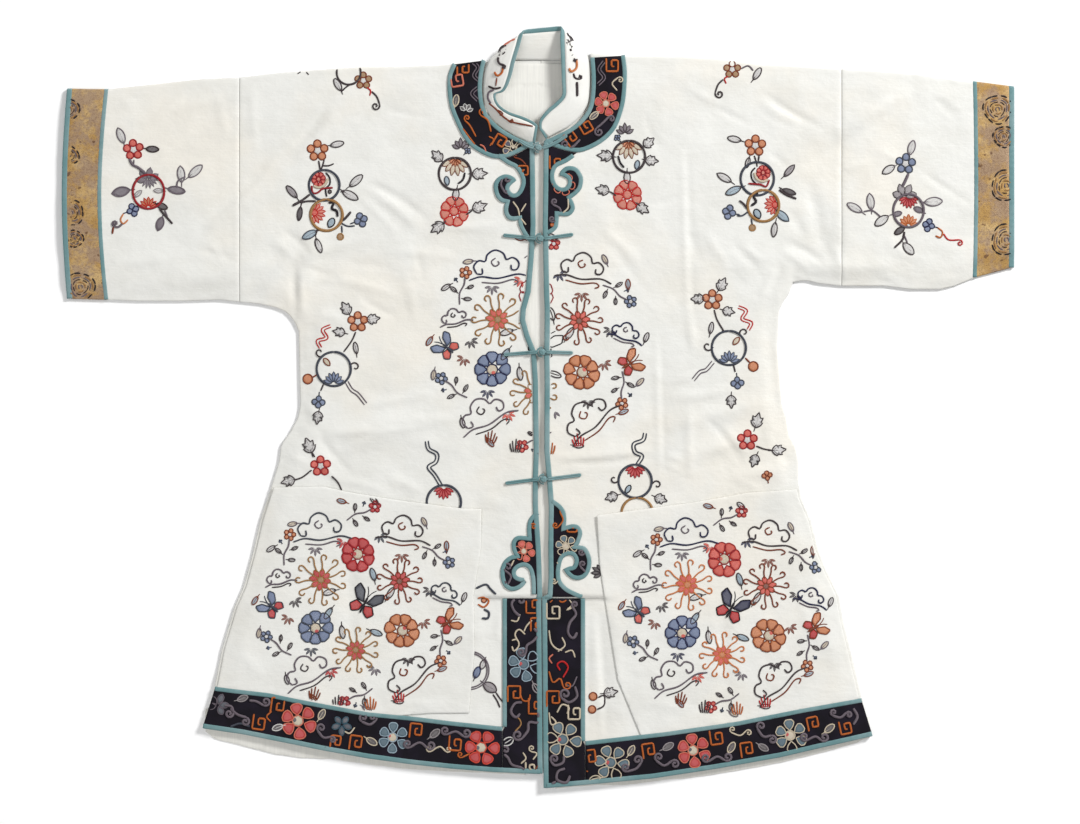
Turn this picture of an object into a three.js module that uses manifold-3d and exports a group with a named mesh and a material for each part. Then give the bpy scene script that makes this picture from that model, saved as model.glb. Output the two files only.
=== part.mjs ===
// An embroidered silk jacket in the Chinese cut, laid flat on its back with the fronts up.
// Millimetres, +Z up, +Y towards the collar. The origin is at the middle of the underside's box.
// Sides are the wearer's: side "right" lies at -X and side "left" at +X.
//
// Each body half is one length of cloth that runs from the front hem over the shoulder to the back hem.
// The shoulder is a fold, not a seam. Its outer points are worked out first. Every band, binding, cloud
// head and pocket that lies on a front is then cut from the same points, moved out by its own distance.
import * as THREE from "three";
import { mergeVertices } from "three/addons/utils/BufferGeometryUtils.js";
import Module from "manifold-3d";

const wasm = await Module();
wasm.setup();
const { Manifold } = wasm;

// Cloth thicknesses and the gap kept at each seam
const SEAM_GAP = 0.3;
const BODY_WALL = 1.6;
const BAND_WALL = 1.2;
const BINDING_WALL = 1.7;
const POCKET_WALL = 1.2;
const COLLAR_WALL = 1.6;
const COLLAR_BINDING_WALL = 2.2;
const LINING_WALL = 1.0;

// Widths of the bound edges
const NARROW_BINDING = 5.4;
const FRONT_EDGE_BINDING = 6.4;
const HEM_BINDING = 6.2;

// How high the fronts lie over the back
const FRONT_LEVEL = 6.2;
const LOWEST_FRONT = 5.0;
const SEAM_LEVEL = 3.5;
const OPEN_SIDE_LEVEL = 5.0;
const FOLD_RADIUS = 2.6;
const FOLD_STEPS = 4;
const RIM_WIDTH = 26;
const FOLD_RIM_WIDTH = 22;
const BACK_INSET = 0.8;

// Where the pieces meet
const SLEEVE_SEAM_X = 361;
const CUFF_SEAM_X = 518;
const CUFF_BINDING = 5.6;
const CUFF_X = 560.7;
const CUFF_END_X = 568;
const CUFF_BOW = { right: { seam: 8, end: 6 }, left: { seam: 1.5, end: 0 } };
const SLIT_TOP_Y = -330;
const SLIT_BLEND = 25;
const TUCK_Y = -227.4;
const TUCK_RISE = 1.8;
const TUCK_DEPTH = 38;
const TUCK_STEP = 1.2;
const TUCK_FADE = 26;
const CUTTER_BOTTOM = -5;
const CUTTER_TOP = 65;
const NECK_TOP_Y = 440;
const NECK_REACH = 200;
const NECK_BAND_TIP_Y = 318;
const HEM_LOW_Y = -480;
const CLOUD_LAP = 20;
const CLOUD_REACH = 120;
const FROG_ROOM = 30;

// Grid steps of the body halves, as numbers of cells
const CELLS = { front: 11, root: 3, hem: 6, waist: 12, chest: 12, backChest: 4, backSkirt: 5 };

// The sides of the body, from the armpit down to the hem: x is the distance out from the middle
const SIDE = {
  right: [
    { y: 91.8, x: 289.8 },
    { y: 31, x: 288.6 },
    { y: 2, x: 288 },
    { y: -12.6, x: 291 },
    { y: -30.2, x: 300.6 },
    { y: -44.5, x: 311 },
    { y: -64.7, x: 313.4 },
    { y: -97.2, x: 323.4 },
    { y: -135, x: 335.8 },
    { y: -176.6, x: 345.5 },
    { y: -214.2, x: 355.8 },
    { y: -239.4, x: 367 },
    { y: -290.4, x: 382.2 },
    { y: -343.4, x: 392.2 },
    { y: -384.6, x: 405 },
  ],
  left: [
    { y: 115.2, x: 285.8 },
    { y: 69.4, x: 283.8 },
    { y: 31, x: 286.8 },
    { y: 4.2, x: 289.4 },
    { y: -12, x: 294.4 },
    { y: -32.2, x: 297.4 },
    { y: -45.5, x: 305 },
    { y: -64.7, x: 308.8 },
    { y: -89.4, x: 309.2 },
    { y: -108.6, x: 312.6 },
    { y: -136.2, x: 324.6 },
    { y: -169, x: 332.3 },
    { y: -194.4, x: 342.4 },
    { y: -224.6, x: 357.5 },
    { y: -255, x: 362.5 },
    { y: -305.4, x: 375 },
    { y: -344.6, x: 384 },
    { y: -394, x: 397.8 },
  ],
};

// The underarm line, from the armpit out along the sleeve to the cuff's end
const UNDERARM = {
  right: [
    { x: 289.8, y: 91.8 },
    { x: 296.5, y: 105.6 },
    { x: 304.2, y: 114.6 },
    { x: 317.4, y: 120 },
    { x: 336.6, y: 124.2 },
    { x: 361, y: 126.6 },
    { x: 384.6, y: 129 },
    { x: 432.6, y: 127.6 },
    { x: 480.6, y: 127.6 },
    { x: 518, y: 129 },
    { x: 570, y: 130.4 },
  ],
  left: [
    { x: 285.8, y: 115.2 },
    { x: 290.5, y: 126 },
    { x: 298.2, y: 136.4 },
    { x: 303, y: 150.6 },
    { x: 318.4, y: 152.5 },
    { x: 333.7, y: 148.7 },
    { x: 361, y: 145.8 },
    { x: 414, y: 145.8 },
    { x: 443.4, y: 141.8 },
    { x: 479.4, y: 141.8 },
    { x: 497.4, y: 146.3 },
    { x: 521.4, y: 156.2 },
    { x: 570, y: 169 },
  ],
};

// The shoulder fold and the sleeve's top edge, from the middle out
const SHOULDER = {
  right: [
    { x: 0, y: 420 },
    { x: 66, y: 417 },
    { x: 85, y: 414.6 },
    { x: 121, y: 410.4 },
    { x: 169, y: 408.4 },
    { x: 217, y: 408.2 },
    { x: 265, y: 405 },
    { x: 313, y: 401.4 },
    { x: 361, y: 395.8 },
    { x: 409, y: 393.6 },
    { x: 457, y: 388.2 },
    { x: 520, y: 381.6 },
    { x: 570, y: 382.4 },
  ],
  left: [
    { x: 0, y: 428 },
    { x: 62, y: 425.4 },
    { x: 95, y: 421.8 },
    { x: 167, y: 420.6 },
    { x: 215, y: 418.2 },
    { x: 263, y: 411.6 },
    { x: 311, y: 409.6 },
    { x: 361, y: 406.2 },
    { x: 407, y: 403.8 },
    { x: 455, y: 400.2 },
    { x: 503, y: 393 },
    { x: 521, y: 391 },
    { x: 570, y: 384.6 },
  ],
};

// The front hems, and the one back hem that lies hidden under them, from the middle out
const FRONT_HEM = {
  right: [
    { x: 0, y: -439.4 },
    { x: 55, y: -437 },
    { x: 105.5, y: -433 },
    { x: 156, y: -427.6 },
    { x: 207, y: -420.6 },
    { x: 257.4, y: -411.6 },
    { x: 307.8, y: -401.4 },
    { x: 358.2, y: -391.4 },
    { x: 405, y: -384.6 },
  ],
  left: [
    { x: 0, y: -456.8 },
    { x: 59.4, y: -451.8 },
    { x: 135, y: -444.6 },
    { x: 211, y: -433 },
    { x: 286.8, y: -419.4 },
    { x: 337.3, y: -407.6 },
    { x: 397.8, y: -394 },
  ],
};
const BACK_HEM = [
  { x: 0, y: -433 },
  { x: 105, y: -427 },
  { x: 207, y: -414 },
  { x: 307, y: -394.5 },
  { x: 405, y: -378.5 },
];

// The two centre-front edges: signed x at each height. They part where the frogs don't hold them.
const FRONT_EDGE = [
  { y: 430, right: -6.4, left: 3.4 },
  { y: 307, right: -7, left: 3.6 },
  { y: 262, right: -6.4, left: 3.2 },
  { y: 218, right: -5.8, left: 2.6 },
  { y: 182, right: -7.8, left: 3.2 },
  { y: 139, right: -11.6, left: 4 },
  { y: 118, right: -17.4, left: 4.8 },
  { y: 105, right: -18.4, left: 4.8 },
  { y: 86, right: -13.2, left: 4.6 },
  { y: 66, right: -5.2, left: 4.2 },
  { y: 32, right: -3, left: 4.8 },
  { y: -53, right: -1.8, left: 4.4 },
  { y: -85, right: -3, left: 7.4 },
  { y: -118, right: -3, left: 9.8 },
  { y: -169, right: 0.4, left: 9.2 },
  { y: -202, right: 1.6, left: 9.6 },
  { y: -226.2, right: 2.2, left: 8.2 },
  { y: -229, right: 0.8, left: 1.6 },
  { y: -458, right: 2.8, left: 3.6 },
];

// The largest folds of the fronts and sleeves: a soft ridge, or a trough where rise is negative
const FOLDS = [
  { x0: -262, y0: -36, x1: -140, y1: -8, rise: 2.6, width: 11 },
  { x0: -236, y0: -52, x1: -150, y1: -26, rise: 1.8, width: 8 },
  { x0: -286, y0: 128, x1: -268, y1: 214, rise: 2.4, width: 12 },
  { x0: -346, y0: 150, x1: -214, y1: 236, rise: 1.8, width: 13 },
  { x0: -430, y0: 150, x1: -320, y1: 176, rise: 2.2, width: 12 },
  { x0: -300, y0: 300, x1: -196, y1: 380, rise: 1.6, width: 16 },
  { x0: -470, y0: 300, x1: -398, y1: 372, rise: 1.6, width: 14 },
  { x0: -160, y0: 120, x1: -60, y1: 176, rise: 1.4, width: 14 },
  { x0: 150, y0: -24, x1: 284, y1: 10, rise: 2.4, width: 11 },
  { x0: 176, y0: -60, x1: 262, y1: -30, rise: 2.2, width: 9 },
  { x0: 226, y0: -84, x1: 300, y1: -72, rise: 1.8, width: 8 },
  { x0: 236, y0: 158, x1: 330, y1: 238, rise: 2.4, width: 13 },
  { x0: 352, y0: 322, x1: 446, y1: 376, rise: 2.4, width: 15 },
  { x0: 356, y0: 196, x1: 430, y1: 322, rise: 1.8, width: 15 },
  { x0: 300, y0: 158, x1: 420, y1: 170, rise: 2.0, width: 11 },
  { x0: 122, y0: 250, x1: 204, y1: 352, rise: 1.6, width: 15 },
  { x0: 30, y0: -60, x1: 116, y1: -46, rise: 1.4, width: 9 },
  { x0: 56, y0: -236, x1: 62, y1: -372, rise: 0.9, width: 7 },
  { x0: 88, y0: -236, x1: 96, y1: -380, rise: 1.1, width: 7 },
  { x0: -74, y0: -236, x1: -78, y1: -330, rise: 0.9, width: 8 },
];
const TUCK_END = { right: 84, left: 101 };

// The neck hole's edge, where the collar is sewn: the right and left fronts, from shoulder to centre
const NECKLINE = {
  right: [
    { x: -64, y: 421 },
    { x: -68.6, y: 402 },
    { x: -70.2, y: 381 },
    { x: -67.4, y: 361 },
    { x: -60, y: 347 },
    { x: -46, y: 334 },
    { x: -26, y: 322.6 },
    { x: -5.6, y: 314.4 },
  ],
  left: [
    { x: 58.6, y: 428 },
    { x: 60.8, y: 402 },
    { x: 60.8, y: 381 },
    { x: 58, y: 361 },
    { x: 48.6, y: 346 },
    { x: 34.6, y: 334.4 },
    { x: 16, y: 325 },
    { x: 3.6, y: 319.4 },
  ],
};
const BACK_NECK_Y = 416;

// The back's lining where it shows: half of its width at each height, in the front gap and the neck
const BACK_LINING = [
  { y: -414, right: -24, left: 26 },
  { y: 290, right: -30, left: 26 },
  { y: 318, right: -56, left: 48 },
  { y: 350, right: -62, left: 53 },
  { y: 412.6, right: -62, left: 53 },
];

// The black band round the neck: its outer edge from the shoulder to the point at the centre
const NECK_BAND_EDGE = {
  right: [
    { x: -105.6, y: 412 },
    { x: -111, y: 398 },
    { x: -111.4, y: 379 },
    { x: -108.6, y: 360 },
    { x: -102, y: 342.6 },
    { x: -93, y: 324.6 },
    { x: -82.6, y: 312 },
    { x: -68, y: 303 },
    { x: -54.6, y: 298.4 },
    { x: -41, y: 299.4 },
    { x: -28.6, y: 304.2 },
    { x: -16.6, y: 310.4 },
    { x: -8, y: 314.4 },
  ],
  left: [
    { x: 101.4, y: 421.4 },
    { x: 103.6, y: 401 },
    { x: 102, y: 373 },
    { x: 98.4, y: 355 },
    { x: 90.6, y: 335 },
    { x: 78.4, y: 321 },
    { x: 63, y: 311.4 },
    { x: 47.6, y: 306 },
    { x: 32.6, y: 307.4 },
    { x: 17, y: 312 },
    { x: 4.6, y: 318 },
  ],
};

// The cloud heads of the front bands. Each edge is a chain of smooth runs that meet in corners.
const UPPER_CLOUD = {
  right: [
    [
      { x: -52, y: 300 },
      { x: -39, y: 291 },
      { x: -30.6, y: 286.8 },
      { x: -24.6, y: 278 },
      { x: -22.8, y: 269.4 },
      { x: -26.4, y: 260 },
      { x: -31.8, y: 256.4 },
      { x: -36, y: 259.2 },
      { x: -37.2, y: 263.4 },
      { x: -34.2, y: 267.6 },
      { x: -29, y: 271.8 },
    ],
    [
      { x: -29, y: 271.8 },
      { x: -31, y: 275.4 },
      { x: -38, y: 279 },
      { x: -45, y: 279 },
      { x: -52.2, y: 274.8 },
      { x: -56, y: 268 },
      { x: -56, y: 261 },
      { x: -53.4, y: 252.6 },
      { x: -48, y: 246.6 },
      { x: -42.6, y: 244.8 },
    ],
    [
      { x: -42.6, y: 244.8 },
      { x: -43.8, y: 239 },
      { x: -43.2, y: 232 },
      { x: -39, y: 225.6 },
      { x: -33, y: 223.8 },
      { x: -27, y: 224.4 },
    ],
    [
      { x: -27, y: 224.4 },
      { x: -26, y: 218 },
      { x: -22.6, y: 210.6 },
      { x: -17.4, y: 202.4 },
      { x: -12, y: 196.4 },
    ],
  ],
  left: [
    [
      { x: 45, y: 303 },
      { x: 32, y: 294 },
      { x: 20.4, y: 288.4 },
      { x: 16.6, y: 280.4 },
      { x: 17, y: 272.4 },
      { x: 20.4, y: 266.4 },
      { x: 25.4, y: 263.6 },
      { x: 30.4, y: 265 },
      { x: 32.8, y: 270 },
      { x: 31.4, y: 274 },
      { x: 27, y: 276.6 },
      { x: 22.4, y: 278 },
    ],
    [
      { x: 22.4, y: 278 },
      { x: 24, y: 283 },
      { x: 28.8, y: 287.8 },
      { x: 35.4, y: 289.4 },
      { x: 43.8, y: 287 },
      { x: 49.8, y: 278.6 },
      { x: 51, y: 271 },
      { x: 48.8, y: 261.6 },
      { x: 43, y: 255 },
      { x: 37.2, y: 250.8 },
    ],
    [
      { x: 37.2, y: 250.8 },
      { x: 40.6, y: 243 },
      { x: 40.8, y: 237.2 },
      { x: 37, y: 231.4 },
      { x: 31.2, y: 229.2 },
      { x: 22, y: 229.8 },
    ],
    [
      { x: 22, y: 229.8 },
      { x: 21.6, y: 222.6 },
      { x: 20.2, y: 215.4 },
      { x: 15.2, y: 210.2 },
      { x: 8.6, y: 207 },
    ],
  ],
};
const LOWER_CLOUD = {
  right: [
    [
      { x: -4.6, y: -124 },
      { x: -10.2, y: -128.6 },
      { x: -14.6, y: -135 },
      { x: -16.2, y: -144.6 },
      { x: -15.8, y: -154.2 },
    ],
    [
      { x: -15.8, y: -154.2 },
      { x: -26.4, y: -153.6 },
      { x: -32, y: -156.6 },
      { x: -34.8, y: -163 },
      { x: -33.8, y: -171.4 },
      { x: -31.6, y: -176.4 },
    ],
    [
      { x: -31.6, y: -176.4 },
      { x: -37.2, y: -178 },
      { x: -43.6, y: -183.4 },
      { x: -47.8, y: -193 },
      { x: -47.8, y: -203.4 },
      { x: -44.6, y: -213.2 },
      { x: -38, y: -219 },
      { x: -30.6, y: -219.6 },
      { x: -23, y: -216.4 },
      { x: -17.8, y: -211 },
      { x: -15.4, y: -204.8 },
    ],
    [
      { x: -15.4, y: -204.8 },
      { x: -24, y: -203.4 },
      { x: -28.4, y: -201.4 },
      { x: -29.4, y: -197 },
      { x: -26.2, y: -192.8 },
      { x: -19.8, y: -190.6 },
      { x: -14.6, y: -193.8 },
      { x: -12, y: -201.4 },
      { x: -10.8, y: -212 },
      { x: -10.8, y: -230 },
    ],
  ],
  left: [
    [
      { x: 15, y: -110 },
      { x: 24, y: -116.4 },
      { x: 29.4, y: -124.2 },
      { x: 31, y: -132.8 },
      { x: 30.4, y: -141.6 },
    ],
    [
      { x: 30.4, y: -141.6 },
      { x: 37.8, y: -139.8 },
      { x: 45, y: -141 },
      { x: 49.2, y: -146.8 },
      { x: 49.8, y: -153.2 },
      { x: 46.6, y: -162.8 },
      { x: 45.4, y: -165 },
    ],
    [
      { x: 45.4, y: -165 },
      { x: 53, y: -166.6 },
      { x: 58.2, y: -173.4 },
      { x: 61, y: -183.2 },
      { x: 59.8, y: -193.8 },
      { x: 55, y: -202.6 },
      { x: 47.6, y: -206.4 },
      { x: 39, y: -205.8 },
      { x: 31.6, y: -200.4 },
      { x: 27.2, y: -193.8 },
    ],
    [
      { x: 27.2, y: -193.8 },
      { x: 33.8, y: -190.6 },
      { x: 38.8, y: -189.4 },
      { x: 40.8, y: -183.2 },
      { x: 38, y: -177.8 },
      { x: 32.6, y: -177.4 },
      { x: 27.2, y: -181 },
      { x: 24.6, y: -188.6 },
      { x: 23.4, y: -198.2 },
      { x: 25, y: -207.8 },
      { x: 31.6, y: -215.4 },
      { x: 39, y: -219.6 },
      { x: 47.6, y: -223.4 },
      { x: 56, y: -226.4 },
      { x: 60, y: -230 },
    ],
  ],
};

// The straight lower bands: the front band's inner edge, and the hem band's upper edge
const FRONT_BAND_X = { right: -45.6, left: 53.4 };
const HEM_BAND_TOP = {
  right: [
    { x: -410, y: -332 },
    { x: -358, y: -338.4 },
    { x: -325, y: -342.2 },
    { x: -295, y: -348.6 },
    { x: -257, y: -355.8 },
    { x: -206.6, y: -365 },
    { x: -156, y: -370 },
    { x: -105.6, y: -376.2 },
    { x: -45, y: -382.6 },
  ],
  left: [
    { x: 410, y: -346 },
    { x: 382.8, y: -348.6 },
    { x: 312, y: -361 },
    { x: 236, y: -376.2 },
    { x: 148, y: -389 },
    { x: 50.2, y: -400.2 },
  ],
};

// The patch pockets: the mouth from the side inwards, then the inner edge down to the hem band
const POCKET = {
  right: [
    { x: -322, y: -96 },
    { x: -259.8, y: -94.6 },
    { x: -231.8, y: -101 },
    { x: -171, y: -111 },
    { x: -93, y: -121 },
    { x: -70.8, y: -121.6 },
    { x: -71.4, y: -169 },
    { x: -80.2, y: -224.6 },
    { x: -79, y: -290.4 },
    { x: -85.8, y: -366.2 },
    { x: -130.6, y: -366.4 },
    { x: -170, y: -378 },
  ],
  left: [
    { x: 309, y: -98 },
    { x: 304, y: -98.4 },
    { x: 249, y: -102 },
    { x: 185.4, y: -113.4 },
    { x: 67.4, y: -129.2 },
    { x: 70.8, y: -189 },
    { x: 77, y: -229.8 },
    { x: 92.4, y: -325.8 },
    { x: 104.4, y: -396 },
    { x: 120, y: -400 },
  ],
};
const POCKET_MOUTH_ROWS = { right: 6, left: 5 };
const POCKET_FOOT_Y = -420;
const POCKET_SIDE_INSET = 3.2;
const POCKET_GAPE = 1.5;
const POCKET_GAPE_DEPTH = 30;

// How far the lining's hem hangs out below each front hem, from the middle out
const LINING_DROP = {
  right: [
    { x: 18, drop: -2.4 },
    { x: 55, drop: 1.6 },
    { x: 105, drop: 4 },
    { x: 156, drop: 6.6 },
    { x: 207, drop: 7.6 },
    { x: 250, drop: 8.6 },
    { x: 285, drop: 14.6 },
    { x: 318, drop: 16.8 },
    { x: 358, drop: 14.4 },
    { x: 390, drop: 11 },
    { x: 402, drop: 4 },
  ],
  left: [
    { x: 18, drop: -4 },
    { x: 60, drop: 1.2 },
    { x: 97, drop: 5.2 },
    { x: 146, drop: 4 },
    { x: 175, drop: 6.4 },
    { x: 244, drop: 7.2 },
    { x: 293, drop: 6.8 },
    { x: 341, drop: 6.6 },
    { x: 380, drop: 4 },
    { x: 395, drop: -1 },
  ],
};
const LINING_UNDER = 24;
const LINING_CELLS = 16;
const LINING_BEND = 2.5;
const LINING_LEAST = 4;
const LINING_SLOPE = 0.5;

// Rows of the sleeves' grids, on the front and on the back
const SLEEVE_ROWS = 9;
const SLEEVE_BACK_ROWS = 3;

// The stand collar: base is its sewn edge and top its free edge, from the right end round the back
const COLLAR = [
  { bx: -6.6, by: 315.4, bz: 6.4, tx: -3.4, ty: 337.6, tz: 12 },
  { bx: -15.2, by: 318.6, bz: 6.6, tx: -10.8, ty: 343.2, tz: 13 },
  { bx: -28.4, by: 325, bz: 6.6, tx: -23.4, ty: 348.6, tz: 14 },
  { bx: -42.4, by: 333.4, bz: 6.6, tx: -37.8, ty: 353.4, tz: 14 },
  { bx: -55, by: 343.6, bz: 6.6, tx: -50, ty: 361.8, tz: 13.6 },
  { bx: -63, by: 354.6, bz: 6.6, tx: -54.6, ty: 371, tz: 12.6 },
  { bx: -67, by: 367, bz: 6.6, tx: -53.8, ty: 376.8, tz: 12.6 },
  { bx: -68, by: 378.6, bz: 6.6, tx: -43, ty: 380, tz: 15 },
  { bx: -67.6, by: 393, bz: 6.6, tx: -35.4, ty: 395.4, tz: 16.4 },
  { bx: -65.8, by: 405, bz: 6.6, tx: -30.6, ty: 414.6, tz: 17 },
  { bx: -62.6, by: 412.4, bz: 6.6, tx: -25, ty: 433.8, tz: 16 },
  { bx: -60.4, by: 417.4, bz: 5, tx: -19.6, ty: 450.6, tz: 12.4 },
  { bx: -53, by: 417.2, bz: 2.4, tx: -15.4, ty: 452.4, tz: 8.6 },
  { bx: -38, by: 416.6, bz: 1.6, tx: -7, ty: 453.4, tz: 7.6 },
  { bx: -1, by: 416.4, bz: 1.4, tx: 4.2, ty: 455, tz: 7.6 },
  { bx: 26, by: 416.8, bz: 1.6, tx: 13.8, ty: 456, tz: 7.6 },
  { bx: 45, by: 418.4, bz: 2.4, tx: 20, ty: 456.6, tz: 8.6 },
  { bx: 55, by: 423, bz: 5, tx: 23.6, ty: 455.4, tz: 12.4 },
  { bx: 57.4, by: 416, bz: 6.6, tx: 24, ty: 441, tz: 16 },
  { bx: 58.6, by: 402.6, bz: 6.6, tx: 24.8, ty: 417, tz: 17 },
  { bx: 58.4, by: 381, bz: 6.6, tx: 25.4, ty: 393, tz: 16.4 },
  { bx: 55.8, by: 363, bz: 6.6, tx: 25.6, ty: 373.6, tz: 15 },
  { bx: 46.8, by: 348.4, bz: 6.6, tx: 17.4, ty: 364, tz: 14.4 },
  { bx: 33.4, by: 336.8, bz: 6.6, tx: 7.6, ty: 355.8, tz: 14 },
  { bx: 16.6, by: 328, bz: 6.6, tx: -0.6, ty: 344, tz: 13 },
  { bx: 5.2, by: 322, bz: 6.4, tx: 0.2, ty: 332, tz: 12 },
];
const COLLAR_STEPS = 46;
const COLLAR_CROWN = 2.4;
const COLLAR_FULL_RISE = 8;
const COLLAR_ROWS = 3;
const COLLAR_BINDING_SHARE = 0.14;
const COLLAR_END_SHARE = 0.014;
const COLLAR_END_GAP = 0.002;
const COLLAR_TOP_GAP = 0.03;
const COLLAR_PROBE = 0.012;

// The frogs. Each has a strap on both fronts: from its end, down on the silk as far as its step, then
// over the bound edge to the knot. The neck's straps lie on the collar seam's binding all the way.
const FROGS = [
  {
    name: "neck",
    x: -2.6,
    y: 311.4,
    bend: 0.36,
    right: { end: -24, rise: 7.6, step: -40 },
    left: { end: 30, rise: 13.6, step: 40 },
  },
  {
    name: "chest",
    x: -0.4,
    y: 202.6,
    bend: 0.5,
    right: { end: -42.6, rise: 3.6, step: -20.4 },
    left: { end: 37, rise: 4.4, step: 11.6 },
  },
  {
    name: "waist",
    x: 1.6,
    y: 66.4,
    bend: 0.5,
    right: { end: -42, rise: -3, step: -15 },
    left: { end: 36.6, rise: -1, step: 12.6 },
  },
  {
    name: "hip",
    x: 3.4,
    y: -85.8,
    bend: 0.5,
    right: { end: -40, rise: -4.8, step: -10.4 },
    left: { end: 46.6, rise: 4.8, step: 15 },
  },
];
const STRAP_WIDTH = 4.4;
const STRAP_WALL = 2.4;
const STEP_LAP = 1.2;
const KNOT_RADIUS = 4.3;
const KNOT_SQUASH = 0.86;
const KNOT_SINK = 1.4;
const LOOP_WIDTH = 2;
const LOOP_HEIGHT = 2.2;
const LOOP_SIDES = 20;
const STEM_WIDTH = 2.6;

const SILK = { color: 0xe6e3da, roughness: 0.42 };
const LINING = { color: 0xddd7c8, roughness: 0.6 };
const TEAL = { color: 0x5f8b8c, roughness: 0.6 };
const BLACK = { color: 0x14131c, roughness: 0.6 };
const BROCADE = { color: 0xb8924f, roughness: 0.5, metalness: 0.25 };

const jacket = new THREE.Group();

// A named mesh from a solid, added to the jacket.
function piece(name, solid, finish) {
  const { numProp, vertProperties, triVerts, numVert } = solid.getMesh();
  const points = new Float32Array(numVert * 3);
  for (let i = 0; i < numVert; i++) {
    points.set(vertProperties.subarray(i * numProp, i * numProp + 3), i * 3);
  }
  const geometry = new THREE.BufferGeometry()
    .setAttribute("position", new THREE.BufferAttribute(points, 3))
    .setIndex(new THREE.BufferAttribute(new Uint32Array(triVerts), 1));
  const mesh = new THREE.Mesh(geometry, new THREE.MeshStandardMaterial(finish));
  mesh.name = name;
  jacket.add(mesh);
  return mesh;
}

// The solid that a closed geometry bounds.
function solidOf(geometry) {
  const bare = new THREE.BufferGeometry().setAttribute("position", geometry.getAttribute("position"));
  if (geometry.index) bare.setIndex(geometry.index);
  const merged = mergeVertices(bare, 1e-4);
  return new Manifold(
    new wasm.Mesh({
      numProp: 3,
      vertProperties: new Float32Array(merged.attributes.position.array),
      triVerts: new Uint32Array(merged.index.array),
    }),
  );
}

// The largest body of a solid, without the crumbs that a cut may leave.
function largest(solid) {
  return solid.decompose().sort((a, b) => b.volume() - a.volume())[0];
}

// The value of one column of a table at a value of another, on straight lines between its rows.
function along(rows, key, value, wanted) {
  const rising = rows[rows.length - 1][key] > rows[0][key];
  const sorted = rising ? rows : [...rows].reverse();
  if (value <= sorted[0][key]) return sorted[0][wanted];
  for (let i = 1; i < sorted.length; i++) {
    const low = sorted[i - 1];
    const high = sorted[i];
    if (value <= high[key]) {
      const share = (value - low[key]) / (high[key] - low[key]);
      return THREE.MathUtils.lerp(low[wanted], high[wanted], share);
    }
  }
  return sorted[sorted.length - 1][wanted];
}

const sign = (side) => (side === "right" ? -1 : 1);
const armpit = (side) => SIDE[side][0];

// How much the folds lift the cloth at a point.
function foldRise(x, y) {
  let rise = 0;
  for (const fold of FOLDS) {
    const dx = fold.x1 - fold.x0;
    const dy = fold.y1 - fold.y0;
    const length = Math.hypot(dx, dy);
    const share = ((x - fold.x0) * dx + (y - fold.y0) * dy) / length ** 2;
    if (share <= 0 || share >= 1) continue;
    const away = ((x - fold.x0) * dy - (y - fold.y0) * dx) / length;
    rise += fold.rise * Math.sin(Math.PI * share) ** 0.7 * Math.exp(-((away / fold.width) ** 2));
  }
  return rise;
}

// How much the tuck across the front lifts the cloth above it.
function tuckRise(side, x, y) {
  const above = y - TUCK_Y;
  if (above < -TUCK_STEP / 2) return 0;
  const inwards = THREE.MathUtils.smoothstep(TUCK_END[side] - Math.abs(x), 0, TUCK_FADE);
  return TUCK_RISE * inwards * (1 - THREE.MathUtils.smoothstep(above, 0, TUCK_DEPTH));
}

// How far a point lies inside the sewn side and underarm edges.
function insideSeam(side, x, y) {
  const out = Math.abs(x);
  const pit = armpit(side);
  if (y < pit.y) return along(SIDE[side], "y", y, "x") - out;
  if (out > pit.x) return y - along(UNDERARM[side], "x", out, "y");
  return Math.hypot(pit.x - out, y - pit.y);
}

// The height of the upper face of a front or sleeve.
function frontHeight(side, x, y) {
  const open = 1 - THREE.MathUtils.smoothstep(y, SLIT_TOP_Y, SLIT_TOP_Y + SLIT_BLEND);
  const edge = THREE.MathUtils.lerp(SEAM_LEVEL, OPEN_SIDE_LEVEL, open);
  const level = Math.max(LOWEST_FRONT, FRONT_LEVEL + foldRise(x, y) + tuckRise(side, x, y));
  const rim = THREE.MathUtils.smoothstep(insideSeam(side, x, y), 0, RIM_WIDTH);
  const below = along(SHOULDER[side], "x", Math.abs(x), "y") - FOLD_RADIUS - y;
  const foldRim = THREE.MathUtils.smoothstep(below, 0, FOLD_RIM_WIDTH);
  const seamed = THREE.MathUtils.lerp(edge, level, rim);
  return THREE.MathUtils.lerp(2 * FOLD_RADIUS, seamed, foldRim);
}

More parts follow.
